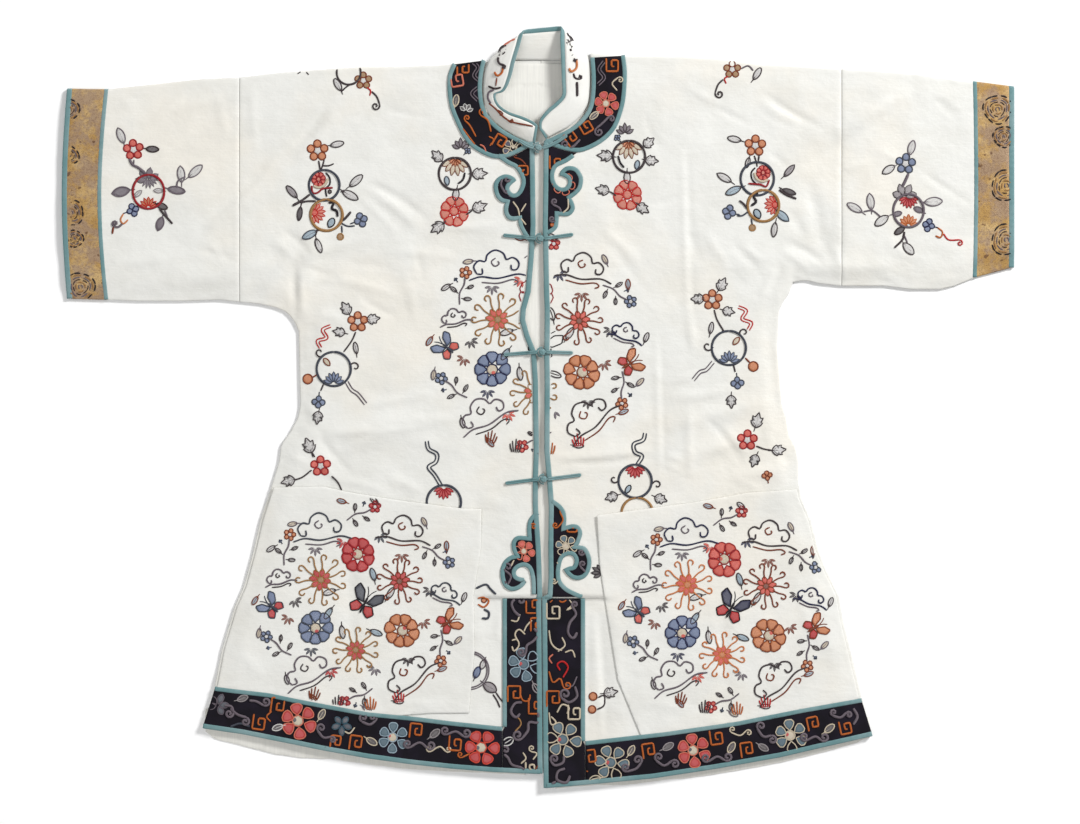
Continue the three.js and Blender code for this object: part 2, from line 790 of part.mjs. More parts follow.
// A sheet is rows of columns of { at, out }: a point of the outer face and the way out from it.
// This gives it two faces and closes it all round. Cells that has() leaves out stay open.
function wall(sheet, outside, inside, mirrored, has = () => true) {
  const points = [];
  const faces = [];
  const rows = sheet.length;
  const columns = sheet[0].length;
  for (const offset of [outside, inside]) {
    for (const row of sheet) {
      for (const { at, out, lift = 0 } of row) points.push(at.clone().addScaledVector(out, offset + lift));
    }
  }
  const index = (j, i, inner) => inner * rows * columns + j * columns + i;
  const quad = (a, b, c, d) => {
    if (mirrored) faces.push(a, c, b, a, d, c);
    else faces.push(a, b, c, a, c, d);
  };
  const filled = (j, i) => j >= 0 && i >= 0 && j < rows - 1 && i < columns - 1 && has(j, i);
  for (let j = 0; j < rows - 1; j++) {
    for (let i = 0; i < columns - 1; i++) {
      if (!filled(j, i)) continue;
      const corners = [
        [j, i],
        [j, i + 1],
        [j + 1, i + 1],
        [j + 1, i],
      ];
      const neighbours = [filled(j - 1, i), filled(j, i + 1), filled(j + 1, i), filled(j, i - 1)];
      const outer = corners.map(([r, c]) => index(r, c, 0));
      const inner = corners.map(([r, c]) => index(r, c, 1));
      quad(...outer);
      quad(inner[0], inner[3], inner[2], inner[1]);
      neighbours.forEach((joined, k) => {
        const next = (k + 1) % 4;
        if (!joined) quad(outer[k], inner[k], inner[next], outer[next]);
      });
    }
  }
  const geometry = new THREE.BufferGeometry().setFromPoints(points).setIndex(faces);
  return solidOf(geometry);
}

const UP = new THREE.Vector3(0, 0, 1);

// One column of the shoulder fold: points round the half circle, from its top to an end angle.
function foldPoints(side, x, lastShare) {
  const middle = along(SHOULDER[side], "x", Math.abs(x), "y") - FOLD_RADIUS;
  const made = [];
  for (let k = 1; k <= FOLD_STEPS; k++) {
    if (k / FOLD_STEPS > lastShare) break;
    const angle = Math.PI / 2 - (Math.PI * k) / FOLD_STEPS;
    const out = new THREE.Vector3(0, Math.cos(angle), Math.sin(angle));
    const at = new THREE.Vector3(x, middle, FOLD_RADIUS).addScaledVector(out, FOLD_RADIUS);
    made.push({ at, out });
  }
  return made;
}

// The place of a grid point on a body front. Its rows run from the hem to the tuck, the armpit and the fold.
function frontPoint(side, column, row) {
  const { front, root, hem, waist, chest } = CELLS;
  const s = sign(side);
  const pit = armpit(side);
  const inBody = column <= front;
  const share = inBody ? column / front : 1;
  const tuckLow = TUCK_Y - TUCK_STEP;
  let x = 0;
  let y = 0;
  const place = (height) => {
    const edge = s * along(FRONT_EDGE, "y", height, side);
    const sideX = height < pit.y ? along(SIDE[side], "y", height, "x") : pit.x;
    x = THREE.MathUtils.lerp(edge, sideX, share);
    y = height;
  };
  if (row <= hem + 1 + waist) {
    for (let pass = 0; pass < 3; pass++) {
      const bottom = along(FRONT_HEM[side], "x", x, "y");
      if (row <= hem) place(THREE.MathUtils.lerp(bottom, tuckLow, row / hem));
      else if (row === hem + 1) place(TUCK_Y);
      else place(THREE.MathUtils.lerp(TUCK_Y, pit.y, (row - hem - 1) / waist));
    }
    return new THREE.Vector2(s * x, y);
  }
  const up = (row - hem - 1 - waist) / chest;
  if (inBody) {
    for (let pass = 0; pass < 3; pass++) {
      const top = along(SHOULDER[side], "x", Math.abs(x), "y") - FOLD_RADIUS;
      place(THREE.MathUtils.lerp(pit.y, top, up));
    }
    return new THREE.Vector2(s * x, y);
  }
  x = THREE.MathUtils.lerp(pit.x, SLEEVE_SEAM_X - SEAM_GAP / 2, (column - front) / root);
  const low = along(UNDERARM[side], "x", x, "y");
  const top = along(SHOULDER[side], "x", x, "y") - FOLD_RADIUS;
  return new THREE.Vector2(s * x, THREE.MathUtils.lerp(low, top, up));
}

// The upper face of a body half, front hem to shoulder, with the fold round to a given share of it.
function frontSheet(side, foldShare) {
  const { front, root, hem, waist, chest } = CELLS;
  const lastRow = hem + 1 + waist + chest;
  const sheet = [];
  for (let row = 0; row <= lastRow; row++) {
    const line = [];
    for (let column = 0; column <= front + root; column++) {
      const lowest = column > front ? hem + 1 + waist : 0;
      const { x, y } = frontPoint(side, column, Math.max(row, lowest));
      line.push({ at: new THREE.Vector3(x, y, frontHeight(side, x, y)), out: UP });
    }
    sheet.push(line);
  }
  const folds = sheet[lastRow].map(({ at }) => foldPoints(side, at.x, foldShare));
  for (let k = 0; k < folds[0].length; k++) sheet.push(folds.map((column) => column[k]));
  return sheet;
}

// The root of the sleeve has no cells below the underarm.
function isFrontCell(row, column) {
  const { front, hem, waist } = CELLS;
  return column < front || row >= hem + 1 + waist;
}

// The back of a body half, from the shoulder fold down to the back hem, face down.
function backRows(side, topRow) {
  const { front, root, backChest, backSkirt } = CELLS;
  const s = sign(side);
  const pit = armpit(side);
  const down = UP.clone().negate();
  const rows = [];
  for (let row = 1; row <= backChest + backSkirt; row++) {
    const line = [];
    for (let column = 0; column <= front + root; column++) {
      const top = topRow[column].at;
      let x = Math.abs(top.x);
      let y = 0;
      if (column <= front) {
        const share = column / front;
        const chestShare = Math.min(1, row / backChest);
        const skirtShare = Math.max(0, (row - backChest) / backSkirt);
        for (let pass = 0; pass < 3; pass++) {
          const hem = along(BACK_HEM, "x", x, "y");
          y = row <= backChest
            ? THREE.MathUtils.lerp(top.y, pit.y, chestShare)
            : THREE.MathUtils.lerp(pit.y, hem, skirtShare);
          const sideX = y < pit.y ? along(SIDE[side], "y", y, "x") : pit.x;
          x = THREE.MathUtils.lerp(SEAM_GAP / 2, sideX - BACK_INSET, share);
        }
      } else {
        const low = along(UNDERARM[side], "x", x, "y") + BACK_INSET;
        y = THREE.MathUtils.lerp(top.y, low, Math.min(1, row / backChest));
      }
      line.push({ at: new THREE.Vector3(s * x, y, 0), out: down });
    }
    rows.push(line);
  }
  return rows;
}

// A whole body half: front, shoulder fold and back in one length of cloth.
function bodyHalf(side) {
  const { front, hem, waist, backChest } = CELLS;
  const sheet = frontSheet(side, 1);
  const foldEnd = sheet.length - 1;
  sheet.push(...backRows(side, sheet[foldEnd]));
  const has = (row, column) => {
    if (column < front) return true;
    return row >= hem + 1 + waist && row < foldEnd + backChest;
  };
  return wall(sheet, 0, -BODY_WALL, side === "right", has);
}

// A sleeve, cuff or cuff binding: cloth folded over at the top and seamed along the underarm.
// Its two ends may bow outwards by their own amounts, most halfway up.
function sleeveTube(side, { from, to, bowFrom, bowTo, columns, lift }) {
  const s = sign(side);
  const down = UP.clone().negate();
  const ends = Array.from({ length: columns + 1 }, (_, i) => {
    const x = THREE.MathUtils.lerp(from, to, i / columns);
    return {
      x,
      bow: THREE.MathUtils.lerp(bowFrom, bowTo, i / columns),
      low: along(UNDERARM[side], "x", x, "y"),
      top: along(SHOULDER[side], "x", x, "y") - FOLD_RADIUS,
    };
  });
  const out = ({ x, bow }, share) => x + bow * Math.sin(Math.PI * share);
  const sheet = [];
  for (let row = 0; row <= SLEEVE_ROWS; row++) {
    sheet.push(
      ends.map((end) => {
        const x = s * out(end, row / SLEEVE_ROWS);
        const y = THREE.MathUtils.lerp(end.low, end.top, row / SLEEVE_ROWS);
        return { at: new THREE.Vector3(x, y, frontHeight(side, x, y)), out: UP, lift };
      }),
    );
  }
  const folds = ends.map(({ x }) => foldPoints(side, s * x, 1));
  for (let k = 0; k < FOLD_STEPS; k++) {
    const fade = lift * (1 - (k + 1) / FOLD_STEPS);
    sheet.push(folds.map((column) => ({ ...column[k], lift: fade })));
  }
  for (let row = 1; row <= SLEEVE_BACK_ROWS; row++) {
    sheet.push(
      ends.map((end) => {
        const share = row / SLEEVE_BACK_ROWS;
        const y = THREE.MathUtils.lerp(end.top, end.low + BACK_INSET, share);
        return { at: new THREE.Vector3(s * out(end, 1 - share), y, 0), out: down };
      }),
    );
  }
  return wall(sheet, 0, -BODY_WALL, side === "right");
}

function sleeve(side) {
  const bow = CUFF_BOW[side];
  const seam = SLEEVE_SEAM_X + SEAM_GAP / 2;
  const bindingEnd = CUFF_SEAM_X + CUFF_BINDING;
  const clothStart = bindingEnd + SEAM_GAP;
  const edgeStart = CUFF_X + SEAM_GAP;
  const parts = [
    {
      name: "sleeve",
      finish: SILK,
      shape: { from: seam, to: CUFF_SEAM_X - SEAM_GAP, bowFrom: 0, bowTo: bow.seam, columns: 6, lift: 0 },
    },
    {
      name: "cuff_seam_binding",
      finish: TEAL,
      shape: { from: CUFF_SEAM_X, to: bindingEnd, bowFrom: bow.seam, bowTo: bow.seam, columns: 1, lift: 0.5 },
    },
    {
      name: "cuff",
      finish: BROCADE,
      shape: { from: clothStart, to: CUFF_X, bowFrom: bow.seam, bowTo: bow.end, columns: 2, lift: 0.2 },
    },
    {
      name: "cuff_edge_binding",
      finish: TEAL,
      shape: { from: edgeStart, to: CUFF_END_X, bowFrom: bow.end, bowTo: bow.end, columns: 1, lift: 0.5 },
    },
  ];
  for (const { name, finish, shape } of parts) piece(`${name}_${side}`, sleeveTube(side, shape), finish);
}

// A cloth layer that lies on a front: the front's own points, moved out.
function layerOn(side, gap, thickness, extra = () => 0) {
  const sheet = frontSheet(side, 0.5);
  for (const row of sheet) for (const point of row) point.lift = extra(point.at);
  return wall(sheet, gap + thickness, gap, side === "right", isFrontCell);
}

// Points on the smooth curve through a table's rows, with a few steps to each span.
function smoothLine(rows, steps = 2) {
  const curve = new THREE.SplineCurve(rows.map(({ x, y }) => new THREE.Vector2(x, y)));
  return curve.getPoints((rows.length - 1) * steps);
}

// A straight-sided solid over an outline.
function prism(points, bottom = CUTTER_BOTTOM, top = CUTTER_TOP) {
  const shape = new THREE.Shape(points.map(({ x, y }) => new THREE.Vector2(x, y)));
  const geometry = new THREE.ExtrudeGeometry(shape, { depth: top - bottom, bevelEnabled: false });
  geometry.translate(0, 0, bottom);
  return solidOf(geometry);
}

// A prism over a rectangle that is given by two opposite corners.
function block(x0, y0, x1, y1, bottom, top) {
  const corners = [
    [x0, y0],
    [x1, y0],
    [x1, y1],
    [x0, y1],
  ];
  return prism(corners.map(([x, y]) => ({ x, y })), bottom, top);
}

// A prism over a strip of one width whose middle follows a line. Its ends reach a little further.
function strip(points, width, bottom, top) {
  const ways = points.map((point, i) => {
    const before = points[Math.max(0, i - 1)];
    const after = points[Math.min(points.length - 1, i + 1)];
    return new THREE.Vector2(after.x - before.x, after.y - before.y).normalize();
  });
  const last = points.length - 1;
  const edge = (reach) => points.map(({ x, y }, i) => {
    const forward = (i === 0 ? -1 : i === last ? 1 : 0) * (width / 4);
    return {
      x: x - reach * ways[i].y + forward * ways[i].x,
      y: y + reach * ways[i].x + forward * ways[i].y,
    };
  });
  return prism([...edge(width / 2), ...edge(-width / 2).reverse()], bottom, top);
}

// A prism over a chain of lines, each a strip of the same width.
function chain(runs, width) {
  return Manifold.union(runs.map((run) => strip(run, width)));
}

// A piece with a bound edge: the field of the cloth, and the binding along some of its edges.
function boundPiece(region, runs, width, { field, bound }) {
  return {
    field: largest(field.intersect(region).subtract(chain(runs, 2 * (width + SEAM_GAP)))),
    binding: largest(bound.intersect(region).intersect(chain(runs, 2 * width))),
  };
}

// The centre-front edge as points, from one height down to another.
function frontEdgeLine(side, from, to) {
  const at = (y) => ({ x: along(FRONT_EDGE, "y", y, side), y });
  const between = FRONT_EDGE.filter(({ y }) => y < from && y > to);
  return [at(from), ...between.map((row) => ({ x: row[side], y: row.y })), at(to)];
}

// The prisms and layers that the pieces on one front share.
function frontSetting(side) {
  const s = sign(side);
  const neck = smoothLine(NECKLINE[side]);
  const neckEdge = smoothLine(NECK_BAND_EDGE[side]);
  const edge = frontEdgeLine(side, NECK_TOP_Y, HEM_LOW_Y);
  const hem = FRONT_HEM[side].map(({ x, y }) => ({ x: s * x, y }));
  const hemTop = smoothLine(HEM_BAND_TOP[side], 1);
  const closedAt = (y, points) => [...points, { x: points.at(-1).x, y }, { x: points[0].x, y }];
  return {
    side,
    s,
    neck,
    neckEdge,
    edge,
    hem,
    hemTop,
    layers: {
      field: layerOn(side, SEAM_GAP, BAND_WALL),
      bound: layerOn(side, SEAM_GAP, BINDING_WALL),
    },
    neckBand: prism(closedAt(NECK_TOP_Y, [...neckEdge, ...[...neck].reverse()])),
    neckInside: prism(closedAt(NECK_TOP_Y, [...neck, { x: 0, y: neck.at(-1).y }])),
    neckGap: chain([neckEdge], 2 * SEAM_GAP),
    edgeCut: strip(edge, 2 * (FRONT_EDGE_BINDING + SEAM_GAP)),
    hemCut: strip(hem, 2 * (HEM_BINDING + SEAM_GAP)),
    hemZone: prism(closedAt(HEM_LOW_Y, hemTop)),
  };
}

function neckBand({ side, neck, neckEdge, neckBand: region, layers }) {
  const band = boundPiece(region, [neckEdge, neck], NARROW_BINDING, layers);
  const seamZone = chain([neck], 2 * NARROW_BINDING);
  const seamCut = chain([neck], 2 * (NARROW_BINDING + SEAM_GAP));
  const outerZone = chain([neckEdge], 2 * NARROW_BINDING);
  const bound = layers.bound.intersect(region);
  piece(`neck_band_${side}`, band.field, BLACK);
  piece(`neck_band_outer_binding_${side}`, largest(bound.intersect(outerZone).subtract(seamCut)), TEAL);
  piece(`neck_band_seam_binding_${side}`, largest(bound.intersect(seamZone)), TEAL);
}

// The bindings of the centre-front edge and of the hem, which meet in the lower corner.
function edgeBindings({ side, edge, hem, layers, neckBand: neckZone, neckInside, neckGap, edgeCut }) {
  const neckCut = neckZone.add(neckInside).add(neckGap);
  const front = layers.bound.intersect(strip(edge, 2 * FRONT_EDGE_BINDING)).subtract(neckCut);
  piece(`front_edge_binding_${side}`, largest(front), TEAL);
  const low = layers.bound.intersect(strip(hem, 2 * HEM_BINDING)).subtract(edgeCut);
  piece(`hem_edge_binding_${side}`, largest(low), TEAL);
}

function cloudHeads({ side, s, layers, neckBand: neckZone, neckInside, neckGap, edgeCut }) {
  const upperRuns = UPPER_CLOUD[side].map((run) => smoothLine(run));
  const upper = prism([
    { x: 0, y: NECK_BAND_TIP_Y },
    { x: upperRuns[0][0].x, y: NECK_BAND_TIP_Y },
    ...upperRuns.flat(),
    { x: 0, y: upperRuns.at(-1).at(-1).y },
  ]).subtract(neckZone.add(neckInside).add(neckGap).add(edgeCut));
  const lowerRuns = LOWER_CLOUD[side].map((run) => smoothLine(run));
  const lower = prism([
    { x: -s * CLOUD_LAP, y: lowerRuns[0][0].y },
    ...lowerRuns.flat(),
    { x: -s * CLOUD_LAP, y: lowerRuns.at(-1).at(-1).y },
  ])
    .intersect(block(-CLOUD_REACH, TUCK_Y + SEAM_GAP / 2, CLOUD_REACH, 0))
    .subtract(edgeCut);
  const heads = { upper: { region: upper, runs: upperRuns }, lower: { region: lower, runs: lowerRuns } };
  for (const [name, { region, runs }] of Object.entries(heads)) {
    const { field, binding } = boundPiece(region, runs, NARROW_BINDING, layers);
    piece(`cloud_head_${name}_${side}`, field, BLACK);
    piece(`cloud_head_${name}_binding_${side}`, binding, TEAL);
  }
}

// The straight band down the front below the tuck, and the band along the hem that meets it.
function lowerBands({ side, s, hemTop, hemZone, hemCut, edgeCut, layers }) {
  const x = FRONT_BAND_X[side];
  const top = TUCK_Y - TUCK_STEP - SEAM_GAP;
  const inner = [
    { x, y: top },
    { x, y: along(HEM_BAND_TOP[side], "x", x, "y") },
  ];
  const frontZone = block(Math.min(x, -s), HEM_LOW_Y, Math.max(x, -s), top);
  const front = boundPiece(frontZone.subtract(edgeCut.add(hemCut)), [inner], NARROW_BINDING, layers);
  piece(`front_band_${side}`, front.field, BLACK);
  piece(`front_band_binding_${side}`, front.binding, TEAL);
  const seam = x + s * SEAM_GAP;
  const beyond = block(Math.min(seam, -s * CLOUD_LAP), HEM_LOW_Y, Math.max(seam, -s * CLOUD_LAP), TUCK_Y);
  const hem = boundPiece(hemZone.subtract(beyond).subtract(hemCut), [hemTop], NARROW_BINDING, layers);
  piece(`hem_band_${side}`, hem.field, BLACK);
  piece(`hem_band_upper_binding_${side}`, hem.binding, TEAL);
}

// A patch pocket. Its mouth stands a little off the front, and its foot is caught by the hem band.
function pocket({ side, s, hemTop, hemZone }) {
  const rows = POCKET[side];
  const seam = SIDE[side]
    .filter(({ y }) => y < rows[0].y)
    .map(({ x, y }) => ({ x: s * (x - POCKET_SIDE_INSET), y }))
    .reverse();
  const mouth = rows.slice(0, POCKET_MOUTH_ROWS[side]);
  const gape = ({ x, y }) => {
    const below = Math.max(0, along(mouth, "x", x, "y") - y);
    return POCKET_GAPE * Math.exp(-((below / POCKET_GAPE_DEPTH) ** 2));
  };
  const outline = prism([...rows, { x: rows.at(-1).x, y: POCKET_FOOT_Y }, ...seam]);
  const cut = hemZone.add(strip(hemTop, 2 * SEAM_GAP));
  const cloth = layerOn(side, SEAM_GAP, POCKET_WALL, gape).intersect(outline).subtract(cut);
  piece(`pocket_${side}`, largest(cloth), SILK);
}

// The lining where its hem hangs out below a front: between the layers, then down to the floor.
function liningHem(side) {
  const s = sign(side);
  const rows = LINING_DROP[side];
  const sheet = [[], [], [], []];
  const resting = BODY_WALL + SEAM_GAP + LINING_WALL;
  for (let i = 0; i <= LINING_CELLS; i++) {
    const x = THREE.MathUtils.lerp(rows[0].x, rows.at(-1).x, i / LINING_CELLS);
    const hem = along(FRONT_HEM[side], "x", x, "y");
    const clear = Math.min(along(BACK_HEM, "x", x, "y"), hem + LINING_BEND) - SEAM_GAP;
    const low = Math.min(hem - along(rows, "x", x, "drop"), clear - LINING_LEAST);
    const line = [
      { y: low, z: LINING_WALL },
      { y: THREE.MathUtils.lerp(low, clear, 0.6), z: LINING_WALL + LINING_SLOPE },
      { y: clear, z: resting },
      { y: hem + LINING_UNDER, z: resting },
    ];
    line.forEach(({ y, z }, row) => sheet[row].push({ at: new THREE.Vector3(s * x, y, z), out: UP }));
  }
  piece(`lining_hem_${side}`, wall(sheet, 0, -LINING_WALL, side === "right"), LINING);
}

// The back's lining, where it shows in the gap between the fronts and in the neck.
function liningBack() {
  const right = BACK_LINING.map((row) => ({ x: row.right, y: row.y }));
  const left = BACK_LINING.map((row) => ({ x: row.left, y: row.y })).reverse();
  const bottom = BODY_WALL + SEAM_GAP;
  piece("lining_back", prism([...right, ...left], bottom, bottom + LINING_WALL), LINING);
}

// The collar as a grid of points between its sewn and free edges, at the given shares of both ways.
function collarSheet(alongShares, upShares) {
  const line = (x, y, z) => {
    const points = COLLAR.map((row) => new THREE.Vector3(row[x], row[y], row[z]));
    return new THREE.CatmullRomCurve3(points, false, "centripetal");
  };
  const base = line("bx", "by", "bz");
  const top = line("tx", "ty", "tz");
  const at = (u, v) => {
    const low = base.getPoint(u);
    const high = top.getPoint(u);
    const crown = COLLAR_CROWN * Math.sin(Math.PI * v) * Math.min(1, (high.z - low.z) / COLLAR_FULL_RISE);
    return low.lerp(high, v).add(new THREE.Vector3(0, 0, crown));
  };
  const outs = alongShares.map((u) => {
    const aside = at(Math.min(1, u + COLLAR_PROBE), 0.5).sub(at(Math.max(0, u - COLLAR_PROBE), 0.5));
    return at(u, 1).sub(at(u, 0)).cross(aside).normalize();
  });
  return upShares.map((v) => alongShares.map((u, i) => ({ at: at(u, v), out: outs[i] })));
}

// The collar's cloth and its binding. The cloth stops short of the binding by the seam's gap all round.
function collar() {
  const shares = (to, steps) => Array.from({ length: steps + 1 }, (_, i) => (to * i) / steps);
  const between = shares(1, COLLAR_STEPS).slice(1, -1);
  const columns = (first) => [first, ...between, 1 - first];
  const cloth = collarSheet(
    columns(COLLAR_END_SHARE + COLLAR_END_GAP),
    shares(1 - COLLAR_BINDING_SHARE - COLLAR_TOP_GAP, COLLAR_ROWS),
  );
  const edge = collarSheet(
    [0, ...columns(COLLAR_END_SHARE), 1],
    [...shares(1 - COLLAR_BINDING_SHARE, COLLAR_ROWS), 1],
  );
  const isEdge = (row, column) => row === COLLAR_ROWS || column === 0 || column === COLLAR_STEPS + 1;
  const half = COLLAR_BINDING_WALL / 2;
  piece("stand_collar", largest(wall(cloth, COLLAR_WALL / 2, -COLLAR_WALL / 2, true)), SILK);
  piece("collar_binding", largest(wall(edge, half, -half, true, isEdge)), TEAL);
}

// A frog: two straps, one ending in a ball knot and the other in a loop round the knot's foot.
function frog({ name, x, y, bend, right, left }) {
  const bottom = frontHeight("left", x, y) + 2 * SEAM_GAP + BINDING_WALL;
  const top = bottom + STRAP_WALL;
  const loopReach = KNOT_RADIUS + SEAM_GAP + LOOP_WIDTH;
  const strap = (side, { end, rise, step }) => {
    const s = sign(side);
    const near = { x: x + s * (loopReach - LOOP_WIDTH / 2), y };
    const middle = { x: (end + near.x) / 2, y: y + rise * bend };
    const line = [{ x: end, y: y + rise }, middle, near];
    const outside = block(step, y - FROG_ROOM, s * FROG_ROOM * 2, y + FROG_ROOM);
    const outsideLap = block(step + s * STEP_LAP, y - FROG_ROOM, s * FROG_ROOM * 2, y + FROG_ROOM);
    const high = strip(line, STRAP_WIDTH, bottom, top).subtract(outsideLap);
    const low = layerOn(side, SEAM_GAP, BINDING_WALL + SEAM_GAP + 2 * STEP_LAP)
      .intersect(strip(line, STRAP_WIDTH))
      .intersect(outside);
    return low.isEmpty() ? high : high.add(low);
  };
  const disc = (radius, height) => {
    const geometry = new THREE.CylinderGeometry(radius, radius, height, LOOP_SIDES);
    geometry.rotateX(Math.PI / 2);
    geometry.translate(x, y, bottom + LOOP_HEIGHT / 2);
    return solidOf(geometry);
  };
  const open = block(x + KNOT_SINK, y - loopReach, x + 2 * loopReach, y + loopReach);
  const loop = disc(loopReach, LOOP_HEIGHT).subtract(open);
  const room = disc(KNOT_RADIUS + SEAM_GAP, 2 * STRAP_WALL + LOOP_HEIGHT);
  piece(`frog_${name}_loop`, largest(strap("right", right).add(loop).subtract(room)), TEAL);
  const knot = new THREE.IcosahedronGeometry(KNOT_RADIUS, 2);
  knot.scale(1, 1, KNOT_SQUASH);
  knot.translate(x, y, bottom + KNOT_RADIUS * KNOT_SQUASH - KNOT_SINK);
  const stem = strip([{ x: x + loopReach, y }, { x: x + KNOT_SINK, y }], STEM_WIDTH, bottom, top);
  piece(`frog_${name}_knot`, largest(strap("left", left).add(stem).add(solidOf(knot))), TEAL);
}

// A body half with the neck hole and the front opening cut out of the front and the fold.
function bodyPiece({ side, s, neck }) {
  const underBack = BODY_WALL + SEAM_GAP;
  const corners = [
    { x: -s, y: neck.at(-1).y },
    { x: -s, y: NECK_TOP_Y },
    { x: neck[0].x, y: NECK_TOP_Y },
  ];
  const back = block(-NECK_REACH, 0, NECK_REACH, BACK_NECK_Y, -underBack, underBack);
  const hole = prism([...neck, ...corners]).subtract(back);
  piece(`body_${side}_front_to_back`, largest(bodyHalf(side).subtract(hole)), SILK);
}

for (const side of ["right", "left"]) {
  const setting = frontSetting(side);
  bodyPiece(setting);
  sleeve(side);
  neckBand(setting);
  edgeBindings(setting);
  cloudHeads(setting);
  lowerBands(setting);
  pocket(setting);
  liningHem(side);
}
liningBack();
collar();
FROGS.forEach(frog);

const middle = new THREE.Box3().setFromObject(jacket).getCenter(new THREE.Vector3());
jacket.position.set(-middle.x, -middle.y, 0);

export default jacket;
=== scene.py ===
"""An embroidered silk jacket in the Chinese cut, laid flat on its back with the fronts up.

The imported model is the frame. This script lays finer cloth, bindings, frogs and needlework over its
solids, cut from the same lines. Lengths are millimetres, with the origin where the cut has it, until a
mesh is made. Sides are the wearer's: the right side lies at -X, which is the left of the photo.
"""

import logging
import math
from dataclasses import dataclass, field, replace
from enum import Enum
from typing import Callable

import bpy
import numpy as np
from mathutils.geometry import delaunay_2d_cdt
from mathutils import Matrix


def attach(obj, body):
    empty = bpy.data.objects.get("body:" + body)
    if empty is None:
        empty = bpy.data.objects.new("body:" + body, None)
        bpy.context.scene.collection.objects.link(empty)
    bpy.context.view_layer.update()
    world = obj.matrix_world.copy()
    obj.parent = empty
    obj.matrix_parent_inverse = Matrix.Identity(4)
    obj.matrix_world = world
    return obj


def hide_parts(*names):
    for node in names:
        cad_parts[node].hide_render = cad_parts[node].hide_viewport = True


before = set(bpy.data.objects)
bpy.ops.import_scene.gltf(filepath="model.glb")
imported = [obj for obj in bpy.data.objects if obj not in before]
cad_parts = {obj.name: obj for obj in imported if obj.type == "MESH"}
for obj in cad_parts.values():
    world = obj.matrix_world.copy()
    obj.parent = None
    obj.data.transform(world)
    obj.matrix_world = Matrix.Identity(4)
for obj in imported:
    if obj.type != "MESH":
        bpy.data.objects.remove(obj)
log = logging.getLogger("jacket")

Points = np.ndarray
Rows = list[tuple[float, ...]]
Colour = tuple[float, float, float]

# The cut's origin in the frame, and the photo's middle and scale in the cut's millimetres
CUT_ORIGIN = (2.954437, 0.073395)
PHOTO_MIDDLE = (540.5, 407.5)
MM_PER_PIXEL = 1.2
BODY = "root"

# Cloth thicknesses, lifts over the front, and widths of the bound edges
CLOTH_WALL = 1.2
BACK_WALL = 1.6
BAND_LIFT = 1.35
BAND_WALL = 1.0
BINDING_BASE = 0.3
BINDING_WALL = 1.7
POCKET_LIFT = 1.45
POCKET_WALL = 1.1
LINING_WALL = 1.0
COLLAR_WALL = 1.5
NARROW_BINDING = 5.4
FRONT_EDGE_BINDING = 6.4
HEM_BINDING = 6.2
SEAM_GAP = 0.3

# Levels of the fronts over the back
FRONT_LEVEL = 6.2
LOWEST_FRONT = 4.7
SEAM_LEVEL = 3.5
OPEN_SIDE_LEVEL = 5.0
FOLD_RADIUS = 2.6
RIM_WIDTH = 26.0
FOLD_RIM_WIDTH = 22.0
BACK_INSET = 0.8

# Where the pieces meet
SLEEVE_SEAM_X = 361.0
CUFF_SEAM_X = 518.0
CUFF_BINDING = 5.6
CUFF_X = 560.7
CUFF_END_X = 568.0
SLIT_TOP_Y = -330.0
SLIT_BLEND = 25.0
TUCK_Y = -227.4
TUCK_RISE = 1.8
TUCK_DEPTH = 38.0
TUCK_STEP = 1.2
TUCK_FADE = 26.0
BACK_NECK_Y = 416.0
POCKET_GAPE = 1.5
POCKET_GAPE_DEPTH = 30.0
POCKET_SIDE_INSET = 3.2

# How the cloth creases
CREASE_END_POWER = 0.7
CRUMPLE_CELLS = 80
PUCKER_WIDTH = 8.0
PUCKER_SHARE = 0.6

# How fine the meshes are, and what counts as touching
MM_PER_METRE = 1000
TINY = 1e-9
DISTANCES_AT_ONCE = 2_000_000
LEAST_EDGE = 0.25
RIM_INSET = 1.1
RIM_CLEARANCE = 0.8
INNER_CLEARANCE = 2.0
MERGED_WITHIN = 1e-4
LEAST_MITRE = 0.42
KEPT_OFFSET = 0.93
ROW_SHARE = 0.87
FOLD_POINTS = 7
END_POINTS = 60
SIDE_POINTS = 90
BINDING_STEP = 2.2
EDGE_ROUNDING = 0.34

# The needlework's cords and pads, with the painted shade of each pad's rim and the painted highlight of its
# top
THREAD_DEPTH = 0.74
CORD_STEP = 1.9
CORD_SUNK = 0.16
CORD_TAPER = 0.72
PAD_RISE = 0.55
PAD_LEAST_RISE = 0.12
PAD_SLOPE = 0.12
PAD_RIM_PAINTED_SHADE = 0.62
PAD_SHOULDER_PAINTED_SHADE = 0.86
PAD_TOP_PAINTED_HIGHLIGHT = 0.90
WORK_TO_FRONT_EDGE = 6.8
WORK_TO_OUTLINE = 1.2
WORK_TO_POCKET_EDGE = 2.0
COLLAR_REACH = 3.0


class Side(Enum):
    """The wearer's sides. The value is the side's sign on X."""

    RIGHT = -1
    LEFT = 1

    @property
    def word(self) -> str:
        """The side's name as the nodes have it."""
        return self.name.lower()


def photo(x: float, y: float) -> tuple[float, float]:
    """The cut's coordinates of a point of the photo."""
    return (x - PHOTO_MIDDLE[0]) * MM_PER_PIXEL, (PHOTO_MIDDLE[1] - y) * MM_PER_PIXEL


def smoothstep(value: Points, low: float, high: float) -> Points:
    """A soft step from 0 at low to 1 at high."""
    share = np.clip((np.asarray(value, float) - low) / (high - low), 0, 1)
    return share * share * (3 - 2 * share)


def blend(a: Points, b: Points, share: Points) -> Points:
    """A value between a and b."""
    return a + (b - a) * share


